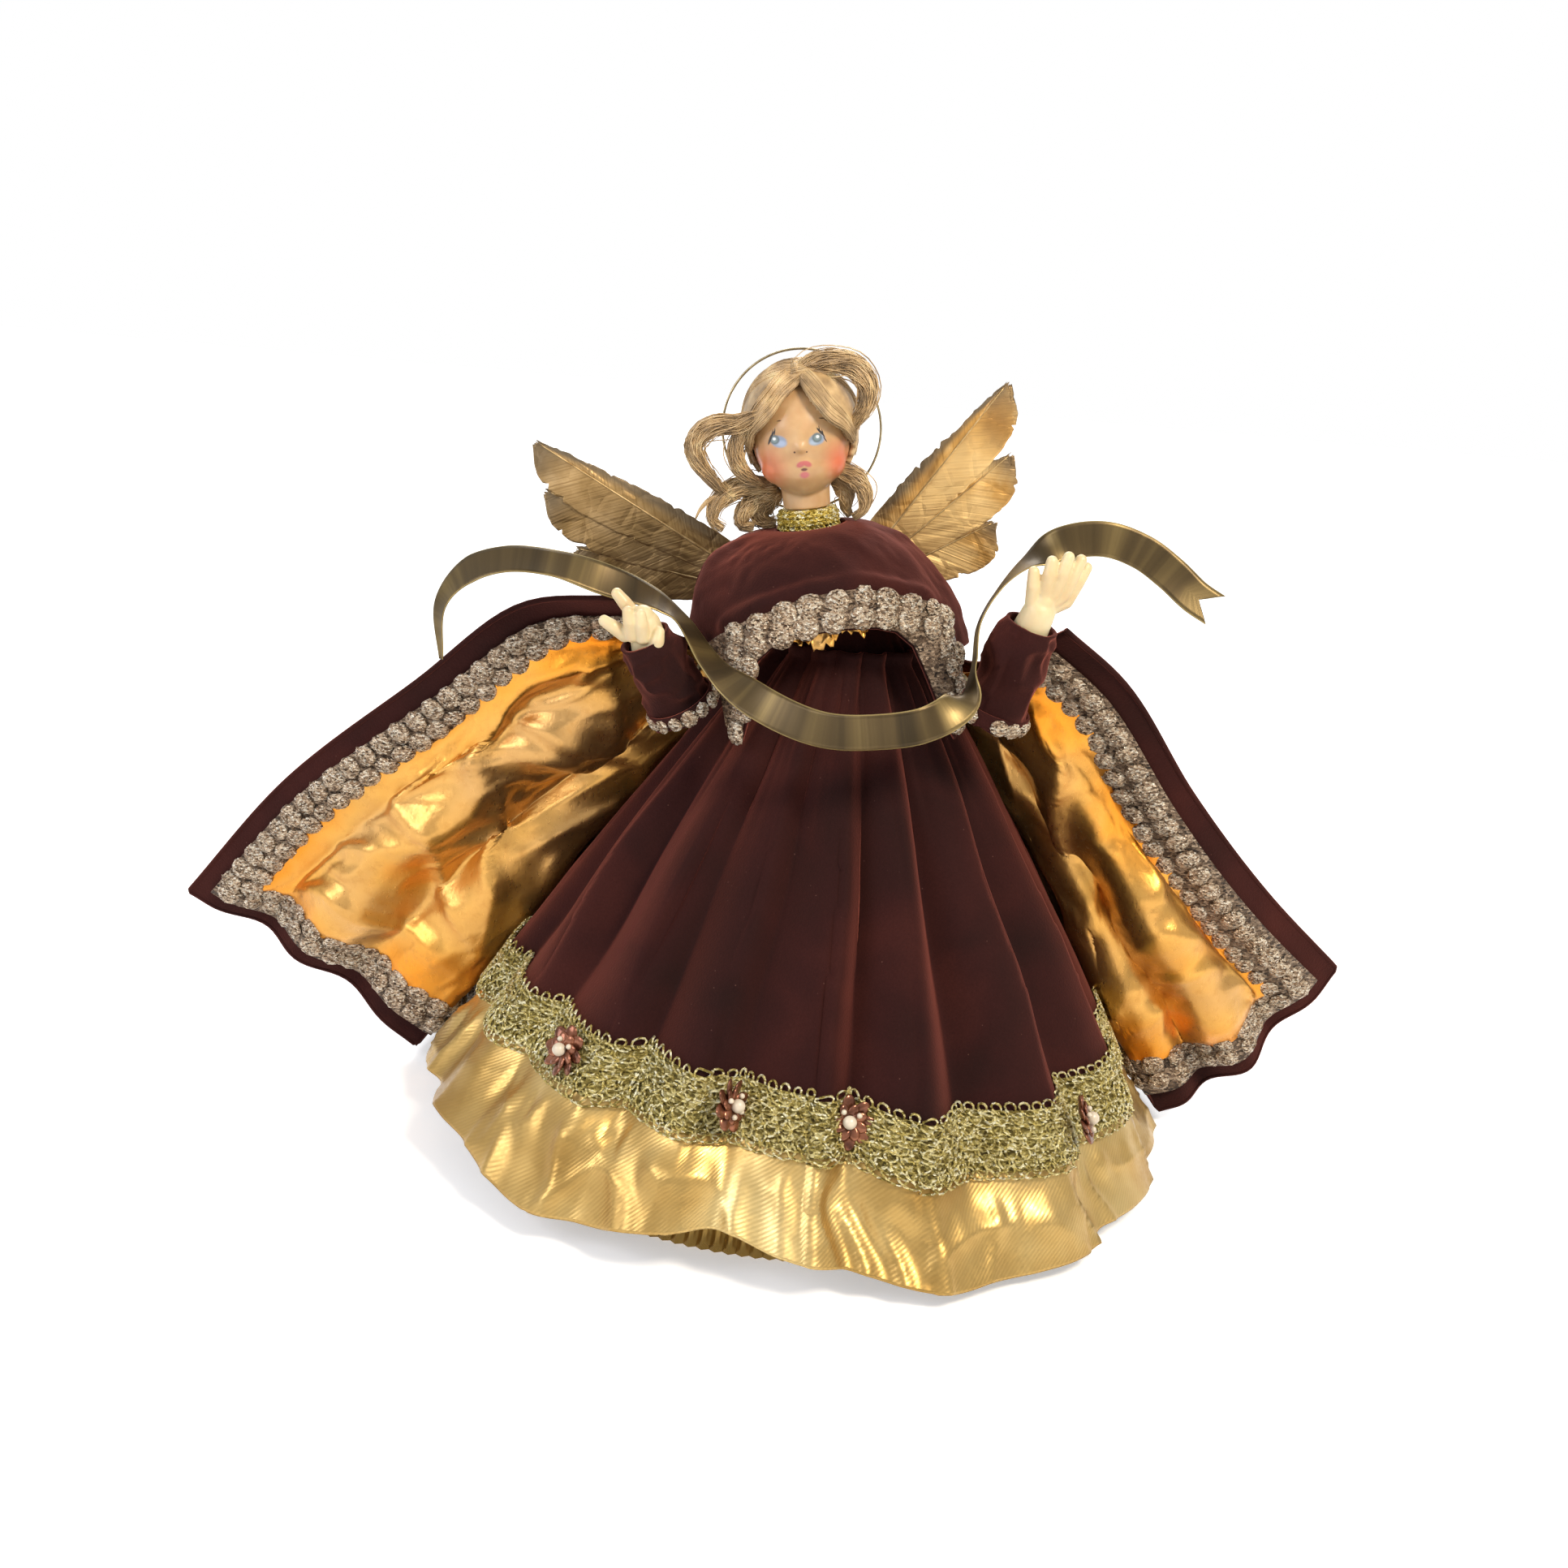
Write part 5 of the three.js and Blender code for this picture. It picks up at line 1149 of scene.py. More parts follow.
def sewCapelet():
    shoulder = capelet["shoulder"]
    top = np.linspace(0, capelet["band"], capelet["rows"])[:, None] + 0 * capeletAngles[None, :]
    fall = np.linspace(0, 1, capelet["bandRows"])[1:, None]
    shares = np.concatenate([top, capelet["band"] + (capeletEdge - capelet["band"]) * fall])
    angles = capeletAngles[None, :] + 0 * shares
    points = capeletPoint(angles, shares * shoulder)
    normals = gridNormals(points, True)
    front = eased(-146, -132, angles) * (1 - eased(-40, -28, angles))
    rim = np.exp(-((shares - gimpTop(angles) + 0.05) / 0.08) ** 2) * capelet["rim"] * front
    soft = (smoothNoise(angles / 14, shares * 4, 81) * 0.9
            + smoothNoise(angles / 5, shares * 9, 82) * 0.25)
    calm = 1 - eased(gimpTop(angles) - 0.06, gimpTop(angles) + 0.02, shares) * front
    points = points + normals * (rim + soft * eased(0.15, 0.5, shares) * calm)[..., None]
    piece = clothPiece("capelet", points, 0, gown["velvet"], velvet, True)
    finishPiece(piece, "body", "velvet", "capelet_velvet")
    inArch = (angles[0] <= capelet["arch"][0]) & (angles[0] > capelet["arch"][1])
    middle = eased(-112, -104, angles[0]) * (1 - eased(-76, -66, angles[0]))
    torn = 0.075 + 0.075 * smoothNoise(angles[0] / 4.5, angles[0] * 0, 84)
    torn = torn + 0.05 * smoothNoise(angles[0] / 1.3, angles[0] * 0, 85)
    reach = np.where(inArch, capeletEdge - 0.02 + torn * middle, 0.97)
    inner = 0.3 + (reach - 0.3) * np.linspace(0, 1, 44)[:, None]
    angles = capeletAngles[None, :] + 0 * inner
    crumple = (smoothNoise(angles / 4.5, inner * 12, 83)
               + 0.5 * smoothNoise(angles / 1.6, inner * 26, 86))
    innerPoints = capeletPoint(angles, inner * shoulder)
    innerNormals = gridNormals(innerPoints, True)
    innerPoints = innerPoints - innerNormals * (np.abs(crumple) * 1.5)[..., None]
    lining = clothPiece("capelet_foil", innerPoints, -foil["apart"] - gown["foil"], -foil["apart"],
                        foilCloth, True, marks={"warmth": 0.3 + 0.3 * crumple})
    finishPiece(lining, "body", "foil_cloth", "capelet_lining")
    return piece


capeletPiece = sewCapelet()


def trimCapelet():
    first, last = capelet["trim"]
    shoulder = capelet["shoulder"]
    top = gimpTop(capeletAngles)
    inTrim = (capeletAngles <= first) & (capeletAngles > last) & (capeletEdge > top + 0.08)
    share = top + (capeletEdge - top) * np.linspace(0.02, 0.97, 24)[:, None]
    angles = capeletAngles[None, :] + 0 * share
    points = capeletPoint(angles, share * shoulder)
    lift = gown["velvet"] + doll["clearance"]
    ground = clothPiece("capelet_gimp_ground", points, lift, lift + gimp["ground"], gimpShade, True,
                        keep=np.broadcast_to(inTrim, share.shape))
    finishPiece(ground, "body", "gimp", "capelet_trim")
    places, outs = [], []
    for line in range(gimp["capeletLines"]):
        fall = top + (3.6 + line * gimp["row"]) / shoulder
        use = inTrim & (fall < capeletEdge - 0.03)
        path = capeletPoint(capeletAngles, fall * shoulder)
        down = capeletPoint(capeletAngles, fall * shoulder + 0.6) - path
        out = unit(np.cross(np.roll(path, -1, axis=0) - np.roll(path, 1, axis=0), down))
        held = np.flatnonzero(use)
        for group in np.split(held, np.flatnonzero(np.diff(held) > 1) + 1):
            length = np.linalg.norm(np.diff(path[group], axis=0), axis=1).sum()
            if length < 2.5:
                continue
            if length < gimp["pitch"] * 1.2:
                middle = len(group) // 2
                places.append((path[group] + out[group] * (lift + 0.4))[middle:middle + 1])
                outs.append(out[group][middle:middle + 1])
                continue
            count = max(2, round(length / gimp["pitch"]))
            start = (line % 2 - 0.5) * 0.5 * length / count
            place, normal = stepsAlong(path[group], out[group], length / count, start)
            places.append(place + normal * (lift + 0.4))
            outs.append(normal)
    rosettes = rosettePiece("capelet_gimp", np.concatenate(places), np.concatenate(outs), 72)
    finishPiece(rosettes, "body", "gimp")


trimCapelet()
print("capelet is trimmed")

# Bodice, sleeves, cuffs and hands

arms = {
    "wrist": {"left": (-0.434, -0.331, 1.034), "right": (0.463, -0.368, 1.123)},
    "elbow": {"left": (-0.331, -0.279, 0.9), "right": (0.397, -0.331, 0.944)},
    "palm": {"left": (-0.444, -0.353, 1.08), "right": (0.485, -0.382, 1.174)},
    "tips": {
        "left": [(-0.508, -0.35, 1.118), (-0.532, -0.372, 1.07), (-0.476, -0.39, 1.093),
                 (-0.447, -0.39, 1.089), (-0.402, -0.372, 1.058)],
        "right": [(0.452, -0.397, 1.228), (0.49, -0.404, 1.25), (0.528, -0.397, 1.259),
                  (0.559, -0.38, 1.254), (0.577, -0.355, 1.238)]},
    "roots": {
        "left": [(-0.466, -0.335, 1.08), (-0.482, -0.365, 1.046), (-0.464, -0.375, 1.048),
                 (-0.439, -0.375, 1.046), (-0.406, -0.37, 1.024)],
        "right": [(0.458, -0.385, 1.168), (0.484, -0.392, 1.192), (0.507, -0.39, 1.195),
                  (0.527, -0.38, 1.19), (0.538, -0.364, 1.176)]},
    "sleeve": 9.6, "wristRadius": 7.6, "finger": 2.05,
    "cuff": 1.12, "cuffGimp": 0.66, "cuffPitch": 5.2,
    "stations": [(1, 0.9), (0.8, 0.98), (0.4, 1.06), (0.12, 1.1), (0, 1.1)],
}
torso = {
    "base": 176.35, "top": 213.65, "radius": 22.55, "offset": 7, "neckOffset": -9, "neckForward": 3,
    "stations": [(0, 1, 1), (0.15, 1, 0.98), (0.42, 0.84, 0.74), (0.68, 0.84, 0.62),
                 (0.86, 0.66, 0.5), (1, 0.38, 0.38)],
}


def sewBodice():
    angles = np.arange(144) / 144 * fullTurn
    heights = np.linspace(199, 178.8, 22)[:, None]
    along = (heights - torso["base"]) / (torso["top"] - torso["base"])
    up, wide, deep = np.array(torso["stations"]).T
    rise = (heights - doll["waistHeight"]) / doll["neckRise"]
    x = torso["offset"] + (torso["neckOffset"] - torso["offset"]) * rise
    y = -torso["neckForward"] * rise
    gather = 0.5 * np.cos(angles * 30 + 3 * smoothNoise(angles * 3, heights / 9, 91))
    gather = gather * (1 - eased(180, 188, heights))
    clear = doll["clearance"] + 0.4
    points = np.stack(np.broadcast_arrays(
        x + (np.interp(along, up, wide) * torso["radius"] + clear + gather) * np.cos(angles),
        y + (np.interp(along, up, deep) * torso["radius"] + clear + gather) * np.sin(angles),
        heights), axis=-1)[:, ::-1] + shift
    piece = clothPiece("bodice_velvet", points, 0, gown["velvet"], velvet, True)
    finishPiece(piece, "body", "velvet", "bodice")


def ringsAround(start, end, shares, radii, count):
    # Rings of points about a straight limb.
    start, end = np.asarray(start), np.asarray(end)
    tangent = unit(end - start)
    first = unit(np.cross(tangent, [0.0, 0.0, 1.0]))
    second = unit(np.cross(first, tangent))
    turn = np.arange(count) / count * fullTurn
    ring = np.cos(turn)[:, None] * first + np.sin(turn)[:, None] * second
    centre = start + (end - start) * np.asarray(shares)[:, None]
    return centre[:, None] + np.asarray(radii)[..., None] * ring[None]


def sewSleeve(side):
    elbow, wrist = placed(arms["elbow"][side]) + shift, placed(arms["wrist"][side]) + shift
    shares = np.linspace(1.04, -0.02, 44)
    along, wide = np.array(arms["stations"][::-1]).T
    radius = arms["sleeve"] * np.interp(shares, along, wide)[:, None]
    turn = np.arange(96) / 96 * fullTurn
    crease = ridges(turn * 1.3 + 3, shares[:, None] * 5, 95 if side == "left" else 96) * 1.0
    crease = crease + smoothNoise(turn * 1.9, shares[:, None] * 4, 97) * 1.1
    crease = crease * (1 - eased(0.93, 1.04, shares))[:, None]
    points = ringsAround(elbow, wrist, shares, radius + crease, 96)
    piece = clothPiece(f"sleeve_velvet_{side}", points, -gown["velvet"], 0, velvet, True)
    finishPiece(piece, "body", "velvet", f"sleeve_{side}")
    length = np.linalg.norm(wrist - elbow)
    cuff = arms["sleeve"] * arms["cuff"]
    ground = ringsAround(elbow, wrist, np.linspace(5 / length + 0.01, 0.01, 5),
                         np.full((5, 1), cuff), 96)
    braid = clothPiece(f"cuff_ground_{side}", ground, doll["clearance"], 1.0, velvet, True)
    finishPiece(braid, "body", "gimp", f"sleeve_trim_{side}")
    middle = 1.9 / length
    ring = ringsAround(elbow, wrist, [middle + 0.01], np.full((1, 1), cuff + 0.8), 96)
    loop = np.concatenate([ring[0], ring[0][:1]])
    place, out = stepsAlong(loop, unit(loop - (elbow + (wrist - elbow) * middle)), arms["cuffPitch"])
    rosettes = rosettePiece(f"cuff_gimp_{side}", place, out, 73, arms["cuffGimp"])
    finishPiece(rosettes, "body", "gimp")


def capsule(start, end, radius, tipRadius):
    start, end = Vector(start) * milli, Vector(end) * milli
    turn = (end - start).to_track_quat("Z", "Y").to_euler()
    bpy.ops.mesh.primitive_cone_add(vertices=20, radius1=radius * milli, radius2=tipRadius * milli,
                                    depth=(end - start).length, location=(start + end) / 2,
                                    rotation=turn)
    parts = [bpy.context.object]
    for place, size in ((start, radius), (end, tipRadius)):
        bpy.ops.mesh.primitive_uv_sphere_add(segments=20, ring_count=12, radius=size * milli,
                                             location=place)
        parts.append(bpy.context.object)
    return parts


def meltTogether(name, parts, voxel, rounds):
    # Joins lumps of wax into one skin and smooths it.
    piece = joinedParts(name, parts)
    settle(piece)
    piece.data.remesh_voxel_size = voxel * milli
    bpy.ops.object.voxel_remesh()
    soften = piece.modifiers.new("soften", "SMOOTH")
    soften.factor, soften.iterations = 0.5, rounds
    bpy.ops.object.modifier_apply(modifier=soften.name)
    bpy.ops.object.shade_smooth()
    return piece


def castHand(side):
    elbow, wrist = placed(arms["elbow"][side]) + shift, placed(arms["wrist"][side]) + shift
    palm = placed(arms["palm"][side]) + shift
    wide, finger = arms["wristRadius"], arms["finger"]
    stem = elbow + (wrist - elbow) * 0.9
    heel = stem + (palm - stem) * 0.72
    clearSelection()
    parts = capsule(stem, heel, wide * 0.8, wide * 0.7)
    parts += capsule(heel, palm + (palm - heel) * 0.05, wide * 0.66, wide * 0.5)
    for tip, root in zip(arms["tips"][side], arms["roots"][side]):
        end = placed(tip) + shift
        base = placed(root) + shift
        knuckle = base + (end - base) * 0.55 + np.array([0, -0.8, 0.3])
        parts += capsule(heel + (base - heel) * 0.5, base, finger * 1.25, finger * 1.15)
        parts += capsule(base, knuckle, finger * 1.15, finger * 1.1)
        parts += capsule(knuckle, end, finger * 1.1, finger * 0.92)
    piece = meltTogether(f"wax_hand_{side}", parts, 0.42, 4)
    piece.data.materials.clear()
    piece.data.materials.append(ivoryWax)
    finishPiece(piece, "body", "wax_hands", f"hand_{side}")


sewBodice()
for side in ("left", "right"):
    sewSleeve(side)
    castHand(side)
print("sleeves are sewn and hands cast")

# Ribbon from hand to hand

strip = {
    "path": [(-0.93, -0.27, 0.955), (-0.934, -0.285, 1.06), (-0.875, -0.3, 1.125), (-0.779, -0.31, 1.157),
             (-0.662, -0.31, 1.157), (-0.551, -0.3, 1.136), (-0.42, -0.264, 1.1), (-0.36, -0.262, 1.07),
             (-0.26, -0.37, 1), (-0.13, -0.47, 0.955), (0, -0.53, 0.935), (0.12, -0.56, 0.945),
             (0.23, -0.555, 0.965), (0.31, -0.5, 1), (0.335, -0.42, 1.05), (0.348, -0.33, 1.12),
             (0.39, -0.275, 1.175), (0.45, -0.25, 1.225), (0.54, -0.25, 1.268), (0.63, -0.25, 1.28),
             (0.72, -0.25, 1.262), (0.79, -0.265, 1.23), (0.85, -0.285, 1.195), (0.9, -0.3, 1.175)],
    "wide": [(-0.8, 0.6, 0), (-0.7, 0.7, 0.1), (-0.45, 0.75, 0.5), (-0.15, 0.8, 0.6), (0, 0.8, 0.6),
             (0, 0.6, 0.8), (0.1, 0.9, 0.35), (0.1, 1, 0.1), (0.1, 0.9, 0.3), (0, 0.45, 1), (0, 0.1, 1),
             (0, 0, 1),
             (0, 0.1, 1), (0, 0.75, 0.6), (0, 1, -0.2), (0, 1, -0.28), (-0.05, 1, -0.25),
             (-0.1, 0.9, 0.1), (-0.1, 0.2, 1), (0, 0.1, 1), (0.1, 0.1, 1), (0.3, 0.2, 0.9),
             (0.5, 0.3, 0.8), (0.6, 0.3, 0.7)],
    "width": 11.4, "thick": 0.4, "steps": 300, "tip": 0.15, "taper": 9, "notch": 0.035,
}


def foldRibbon():
    line = curveThrough(placed(strip["path"]) + shift)
    lean = curveThrough(np.array(strip["wide"], float))
    across = np.linspace(-1, 1, 9)
    share = np.linspace(0, 1, strip["steps"])[:, None]
    end = eased(0.9, 1.0, share)
    along = share - strip["notch"] * (1 - np.abs(across)) * end ** 2
    point = line(along)
    tangent = unit(line(np.minimum(along + 1e-3, 1)) - line(np.maximum(along - 1e-3, 0)))
    wide = lean(along)
    wide = unit(wide - tangent * (wide * tangent).sum(axis=2, keepdims=True))
    face = unit(np.cross(wide, tangent))
    half = strip["width"] / 2 * np.minimum(1, strip["tip"] + strip["taper"] * along)
    cup = (1 - across ** 2) * 0.25
    points = point + wide * (across * half)[..., None] + face * cup[..., None]
    run = np.concatenate([[0], np.cumsum(np.linalg.norm(np.diff(point[:, 4], axis=0), axis=1))])
    uv = np.stack(np.broadcast_arrays(across[None, :], run[:, None]), axis=-1)
    piece = clothPiece("brass_ribbon", points, -strip["thick"] / 2, strip["thick"] / 2, brass, uv=uv)
    finishPiece(piece, "body", "ribbon", "ribbon")


foldRibbon()
print("ribbon is folded")

# Head: wax, painted face, mohair, collar and halo, modelled in the head's own frame

head = {"foot": (5.008, -9.987, 214), "lean": -10, "lift": 36, "radius": 16.5, "height": 40,
        "throat": 6.3}
headTurn = np.array(Matrix.Rotation(math.radians(head["lean"]), 3, "Y"))


def onHead(points):
    return np.asarray(points, float) @ headTurn.T + np.array(head["foot"])


dabs = [   # place from the head's middle, reach, push outwards
    ((-7.6, -14.6, 0.0), 3.4, -0.55), ((5.5, -15.4, -0.5), 3.4, -0.55),
    ((-0.1, -16.2, -2.6), 1.9, 1.15), ((0.2, -16.2, 2.0), 2.2, 0.35),
    ((-9.5, -11.5, -9.5), 5.5, 0.9), ((10.2, -10.8, -9.5), 5.5, 0.9),
    ((0.5, -15.0, -7.6), 1.7, 0.75), ((-0.9, -15.0, -8.0), 1.2, 0.35), ((1.9, -14.8, -8.2), 1.2, 0.35),
    ((0.5, -14.0, -10.1), 1.1, -0.9), ((0.4, -13.3, -12.0), 1.5, 0.75),
    ((0.4, -12.0, -14.0), 2.0, -0.35), ((0.1, -10.2, -16.6), 3.6, 0.7),
]


def castHead():
    parts = []
    middle = head["lift"]
    lumps = [((0, 0, middle), (16.5, 16.5, 20)), ((0, -4.6, middle - 8.8), (11.9, 11.2, 10.8)),
             ((-7.5, -5.5, middle - 9), (6.5, 6.5, 6.5)), ((7.5, -5.5, middle - 9), (6.5, 6.5, 6.5))]
    for centre, size in lumps:
        bpy.ops.mesh.primitive_uv_sphere_add(segments=64, ring_count=40, radius=1,
                                             location=Vector(centre) * milli, scale=inMetres(size))
        parts.append(bpy.context.object)
    for low, high, depth, place in ((1, 1, 10.5, (0, 0, 6.7)), (1.26, 1.36, 15.6, (0, -0.6, 19.7))):
        bpy.ops.mesh.primitive_cone_add(vertices=48, radius1=head["throat"] * low * milli,
                                        radius2=head["throat"] * high * milli, depth=depth * milli,
                                        location=inMetres(place))
        parts.append(bpy.context.object)
    piece = meltTogether("wax_head", parts, 0.5, 14)
    co = np.zeros(len(piece.data.vertices) * 3)
    piece.data.vertices.foreach_get("co", co)
    co = co.reshape(-1, 3) / milli
    middlePoint = np.array([0, 0, middle])
    for place, reach, push in dabs:
        away = np.linalg.norm(co - middlePoint - np.array(place), axis=1)
        outward = unit(np.array(place) * np.array([1, 1, 0.6]))
        co += outward * (push * np.exp(-(away / reach) ** 2))[:, None]
    piece.data.vertices.foreach_set("co", (onHead(co) * milli).ravel())
    piece.data.update()
    return piece


# Painted marks: place across and up from the head's middle, half sizes, turn, colour, softness
marks = [
    ((-12.5, -9.5), (6.8, 7.8), 0, "#cc5f38", 0.98), ((12.2, -9.0), (5.0, 7.0), 0, "#cc5c3c", 0.98),
    ((-7.0, -0.3), (2.75, 2.05), -8, "#8895ac", 0.3), ((-6.3, -0.9), (1.8, 1.1), -8, "#a0aec6", 0.6),
    ((-8.4, 0.4), (1.7, 1.65), 0, "#586468", 0.3), ((-8.4, 0.4), (1.2, 1.15), 0, "#76878b", 0.5),
    # A painted highlight: the near-white dot in this iris.
    ((-8.5, 0.65), (0.6, 0.55), 0, "#e6ecea", 0.5),
    ((5.4, -0.6), (2.85, 1.95), 10, "#8796aa", 0.3), ((4.5, -1.3), (1.7, 1.0), 10, "#9fb0c2", 0.6),
    ((5.5, 0.0), (1.7, 1.7), 0, "#586468", 0.3), ((5.5, 0.0), (1.2, 1.15), 0, "#76878b", 0.5),
    # A painted highlight: the near-white dot in this iris.
    ((5.7, 0.3), (0.6, 0.55), 0, "#e6ecea", 0.5),
    ((-9.9, 0.5), (0.42, 2.0), -24, "#2a2422", 0.3), ((-8.7, 2.4), (0.32, 1.5), -34, "#2a2422", 0.3),
    ((-8.1, 3.0), (0.16, 1.3), -8, "#2a2422", 0.3), ((-8.9, 2.9), (0.14, 1.1), -20, "#2a2422", 0.3),
    ((6.6, 1.9), (0.36, 1.7), 36, "#2a2422", 0.3), ((7.5, 0.9), (0.24, 1.4), 24, "#2a2422", 0.3),
    ((6.5, 2.7), (0.14, 1.2), 10, "#2a2422", 0.3), ((8.1, -0.9), (0.18, 1.1), 30, "#2a2422", 0.3),
    ((7.4, 1.9), (0.13, 1.0), 18, "#2a2422", 0.3),
    ((-6.4, 6.4), (0.85, 0.17), 8, "#3a2a20", 0.4), ((7.6, 6.0), (1.1, 0.2), -8, "#3a2a20", 0.4),
    ((8.9, 5.2), (0.9, 0.16), -38, "#3a2a20", 0.4),
    ((-2.2, -4.0), (0.36, 0.36), 0, "#4a2c18", 0.35), ((1.8, -4.2), (0.3, 0.3), 0, "#4a2c18", 0.35),
    ((-0.5, -8.1), (1.7, 1.0), 22, "#b66260", 0.4), ((1.6, -8.1), (1.7, 1.0), -28, "#b66260", 0.4),
    ((0.45, -11.7), (1.75, 1.2), 0, "#b96868", 0.45), ((0.45, -9.9), (1.15, 0.55), 0, "#683a36", 0.4),
]


def paintFace():
    paint = newFinish("paintedWax", 0.34, 0.0, Subsurface_Weight=0.12, Subsurface_Scale=0.004,
                      Coat_Weight=0.25, Coat_Roughness=0.22, IOR=1.45)
    upright = addNode(paint, "ShaderNodeMapping", vector_type="TEXTURE",
                      in_Vector=addNode(paint, "ShaderNodeTexCoord").outputs["Object"],
                      in_Location=Vector(head["foot"]) * milli, in_Scale=(milli, milli, milli),
                      in_Rotation=(0, math.radians(head["lean"]), 0)).outputs[0]
    place = axes(paint, upright)
    forward = numbers(paint, "MULTIPLY", place["Y"], -0.5)
    inFront = shaded(paint, forward, [(0.0, 0.0), (0.6, 1.0)])
    flat = addNode(paint, "ShaderNodeCombineXYZ", in_0=place["X"],
                   in_1=numbers(paint, "SUBTRACT", place["Z"], float(head["lift"]))).outputs[0]
    waxNoise = pattern(paint, "Noise", upright, "Fac", in_Scale=0.12, in_Detail=3.0)
    colour = shaded(paint, waxNoise, [(0.3, "#b48c60"), (0.5, "#bf996c"), (0.7, "#c8a57a")])
    for centre, half, turn, tint, softness in marks:
        fit = addNode(paint, "ShaderNodeMapping", vector_type="TEXTURE", in_Vector=flat,
                      in_Location=(*centre, 0), in_Rotation=(0, 0, math.radians(turn)),
                      in_Scale=(*half, 1)).outputs[0]
        reach = addNode(paint, "ShaderNodeVectorMath", operation="LENGTH", in_0=fit).outputs["Value"]
        cover = 0.8 if softness > 0.9 else 1.0   # the blush is a thin stain
        mask = ranged(paint, reach, 1.0 + softness / 2, 1.0 - softness, 0.0, cover,
                      interpolation_type="SMOOTHSTEP")
        colour = mixed(paint, numbers(paint, "MULTIPLY", mask, inFront), colour, tint)
    fine = pattern(paint, "Noise", upright, "Fac", in_Scale=0.9, in_Detail=4.0)
    return wearing(paint, Base_Color=colour, Normal=pressed(paint, fine, 0.03, 0.5))


waxHead = castHead()
waxHead.data.materials.clear()
waxHead.data.materials.append(paintFace())
finishPiece(waxHead, "head", "wax_face", "head_wax")
print("head is cast and painted")

# Mohair: a dense scalp, then fine tapered strands over it and in every lock

hair = {"strand": 0.2, "sides": 3, "steps": 18, "scalp": (18.7, 18.7, 21.5), "cap": (19.3, 19.3, 22.2),
        "back": 1.8, "up": 2.1}


def strandsOnHead(paths, radii, out):
    return threads(onHead(paths), radii, hair["sides"], out @ headTurn.T)


def strandsBetween(guides, count, spread, radius, seed, lift):
    # Strands that run between neighbouring guide curves, lifted and strayed at random.
    rng = np.random.default_rng(seed)
    share = np.linspace(0, 1, hair["steps"])
    lines = np.stack([evenCurve(guide)[0](share) for guide in guides])
    at = np.sort(rng.uniform(0, len(guides) - 1, count))
    low = np.minimum(at.astype(int), len(guides) - 2)
    part = (at - low)[:, None, None]
    paths = lines[low] * (1 - part) + lines[low + 1] * part
    stray = rng.normal(0, spread, (count, 1, 3)) * (0.4 + 0.9 * share[None, :, None])
    sway = rng.normal(0, spread * 0.5, (count, 1, 3)) * np.sin(share * math.pi * 2)[None, :, None]
    paths = paths + stray + sway
    out = unit(paths - np.array([0, 1.0, head["lift"]]))
    paths = paths + out * rng.uniform(0, lift, (count, 1, 1))
    taper = radius * (0.35 + 0.75 * np.sin(np.clip(share * 1.05 + 0.06, 0, 1) * math.pi) ** 0.5)
    return strandsOnHead(paths, taper * rng.uniform(0.7, 1.2, (count, 1)), out)


# Locks: millimetres from the head's middle along each curl, its thickness and number of strands.
locks = {
    "loop_right": [([(1.3, -3, 20.5), (5.6, -4, 23), (12.2, -5, 23.4), (19.4, -6, 21.3), (23.2, -6, 15),
                     (22.4, -6, 8), (18, -6, 2.5), (14.8, -6, -0.6)], 3.9, 330)],
    "loop_left": [([(-12, -12, 8.5), (-20.5, -10, 6.2), (-27.1, -9, 6.3), (-33, -8, 4), (-35.6, -8, 0.1),
                    (-34.4, -7, -5.9), (-31, -6, -11.3), (-27.5, -4, -16.3), (-24, -2, -19.5)], 3.4, 300),
                  ([(-17, -9, 5), (-21, -8, 0), (-21.5, -7, -7.1), (-18.7, -5, -11.7), (-13.6, -2, -15.8)],
                   3.0, 200)],
    "curl_left_1": [([(-10, 2, -17), (-19.7, 0, -15.6), (-26.5, -2, -17.2), (-31.1, -3, -21.7),
                      (-32, -3, -26), (-28.6, -3, -29)], 3.6, 260),
                    ([(-9, 4, -18.5), (-17.9, 2, -21.5), (-22.4, 0, -25.3), (-22.6, 0, -28.4),
                      (-18.5, 0, -29.5)], 3.6, 260),
                    ([(-24, -3, -17.9), (-31.3, -4, -18.1), (-35.4, -5, -21), (-37.6, -5, -24.5)],
                     0.8, 36)],
    "curl_left_2": [([(-9, 6, -18), (-14.5, 5, -22.5), (-16.5, 4, -26), (-14.6, 4, -28.6),
                      (-11, 4, -29.2)], 4.0, 300)],
    "curl_right_1": [([(11, -1, -12), (17.3, -2, -15.6), (19.8, -2, -22.2), (18.4, -2, -26.9),
                       (15, -2, -29)], 2.9, 220),
                     ([(10, 3, -15.7), (13.4, 2, -21.6), (12.9, 2, -26.1), (14.2, 2, -29)], 2.9, 200)],
}


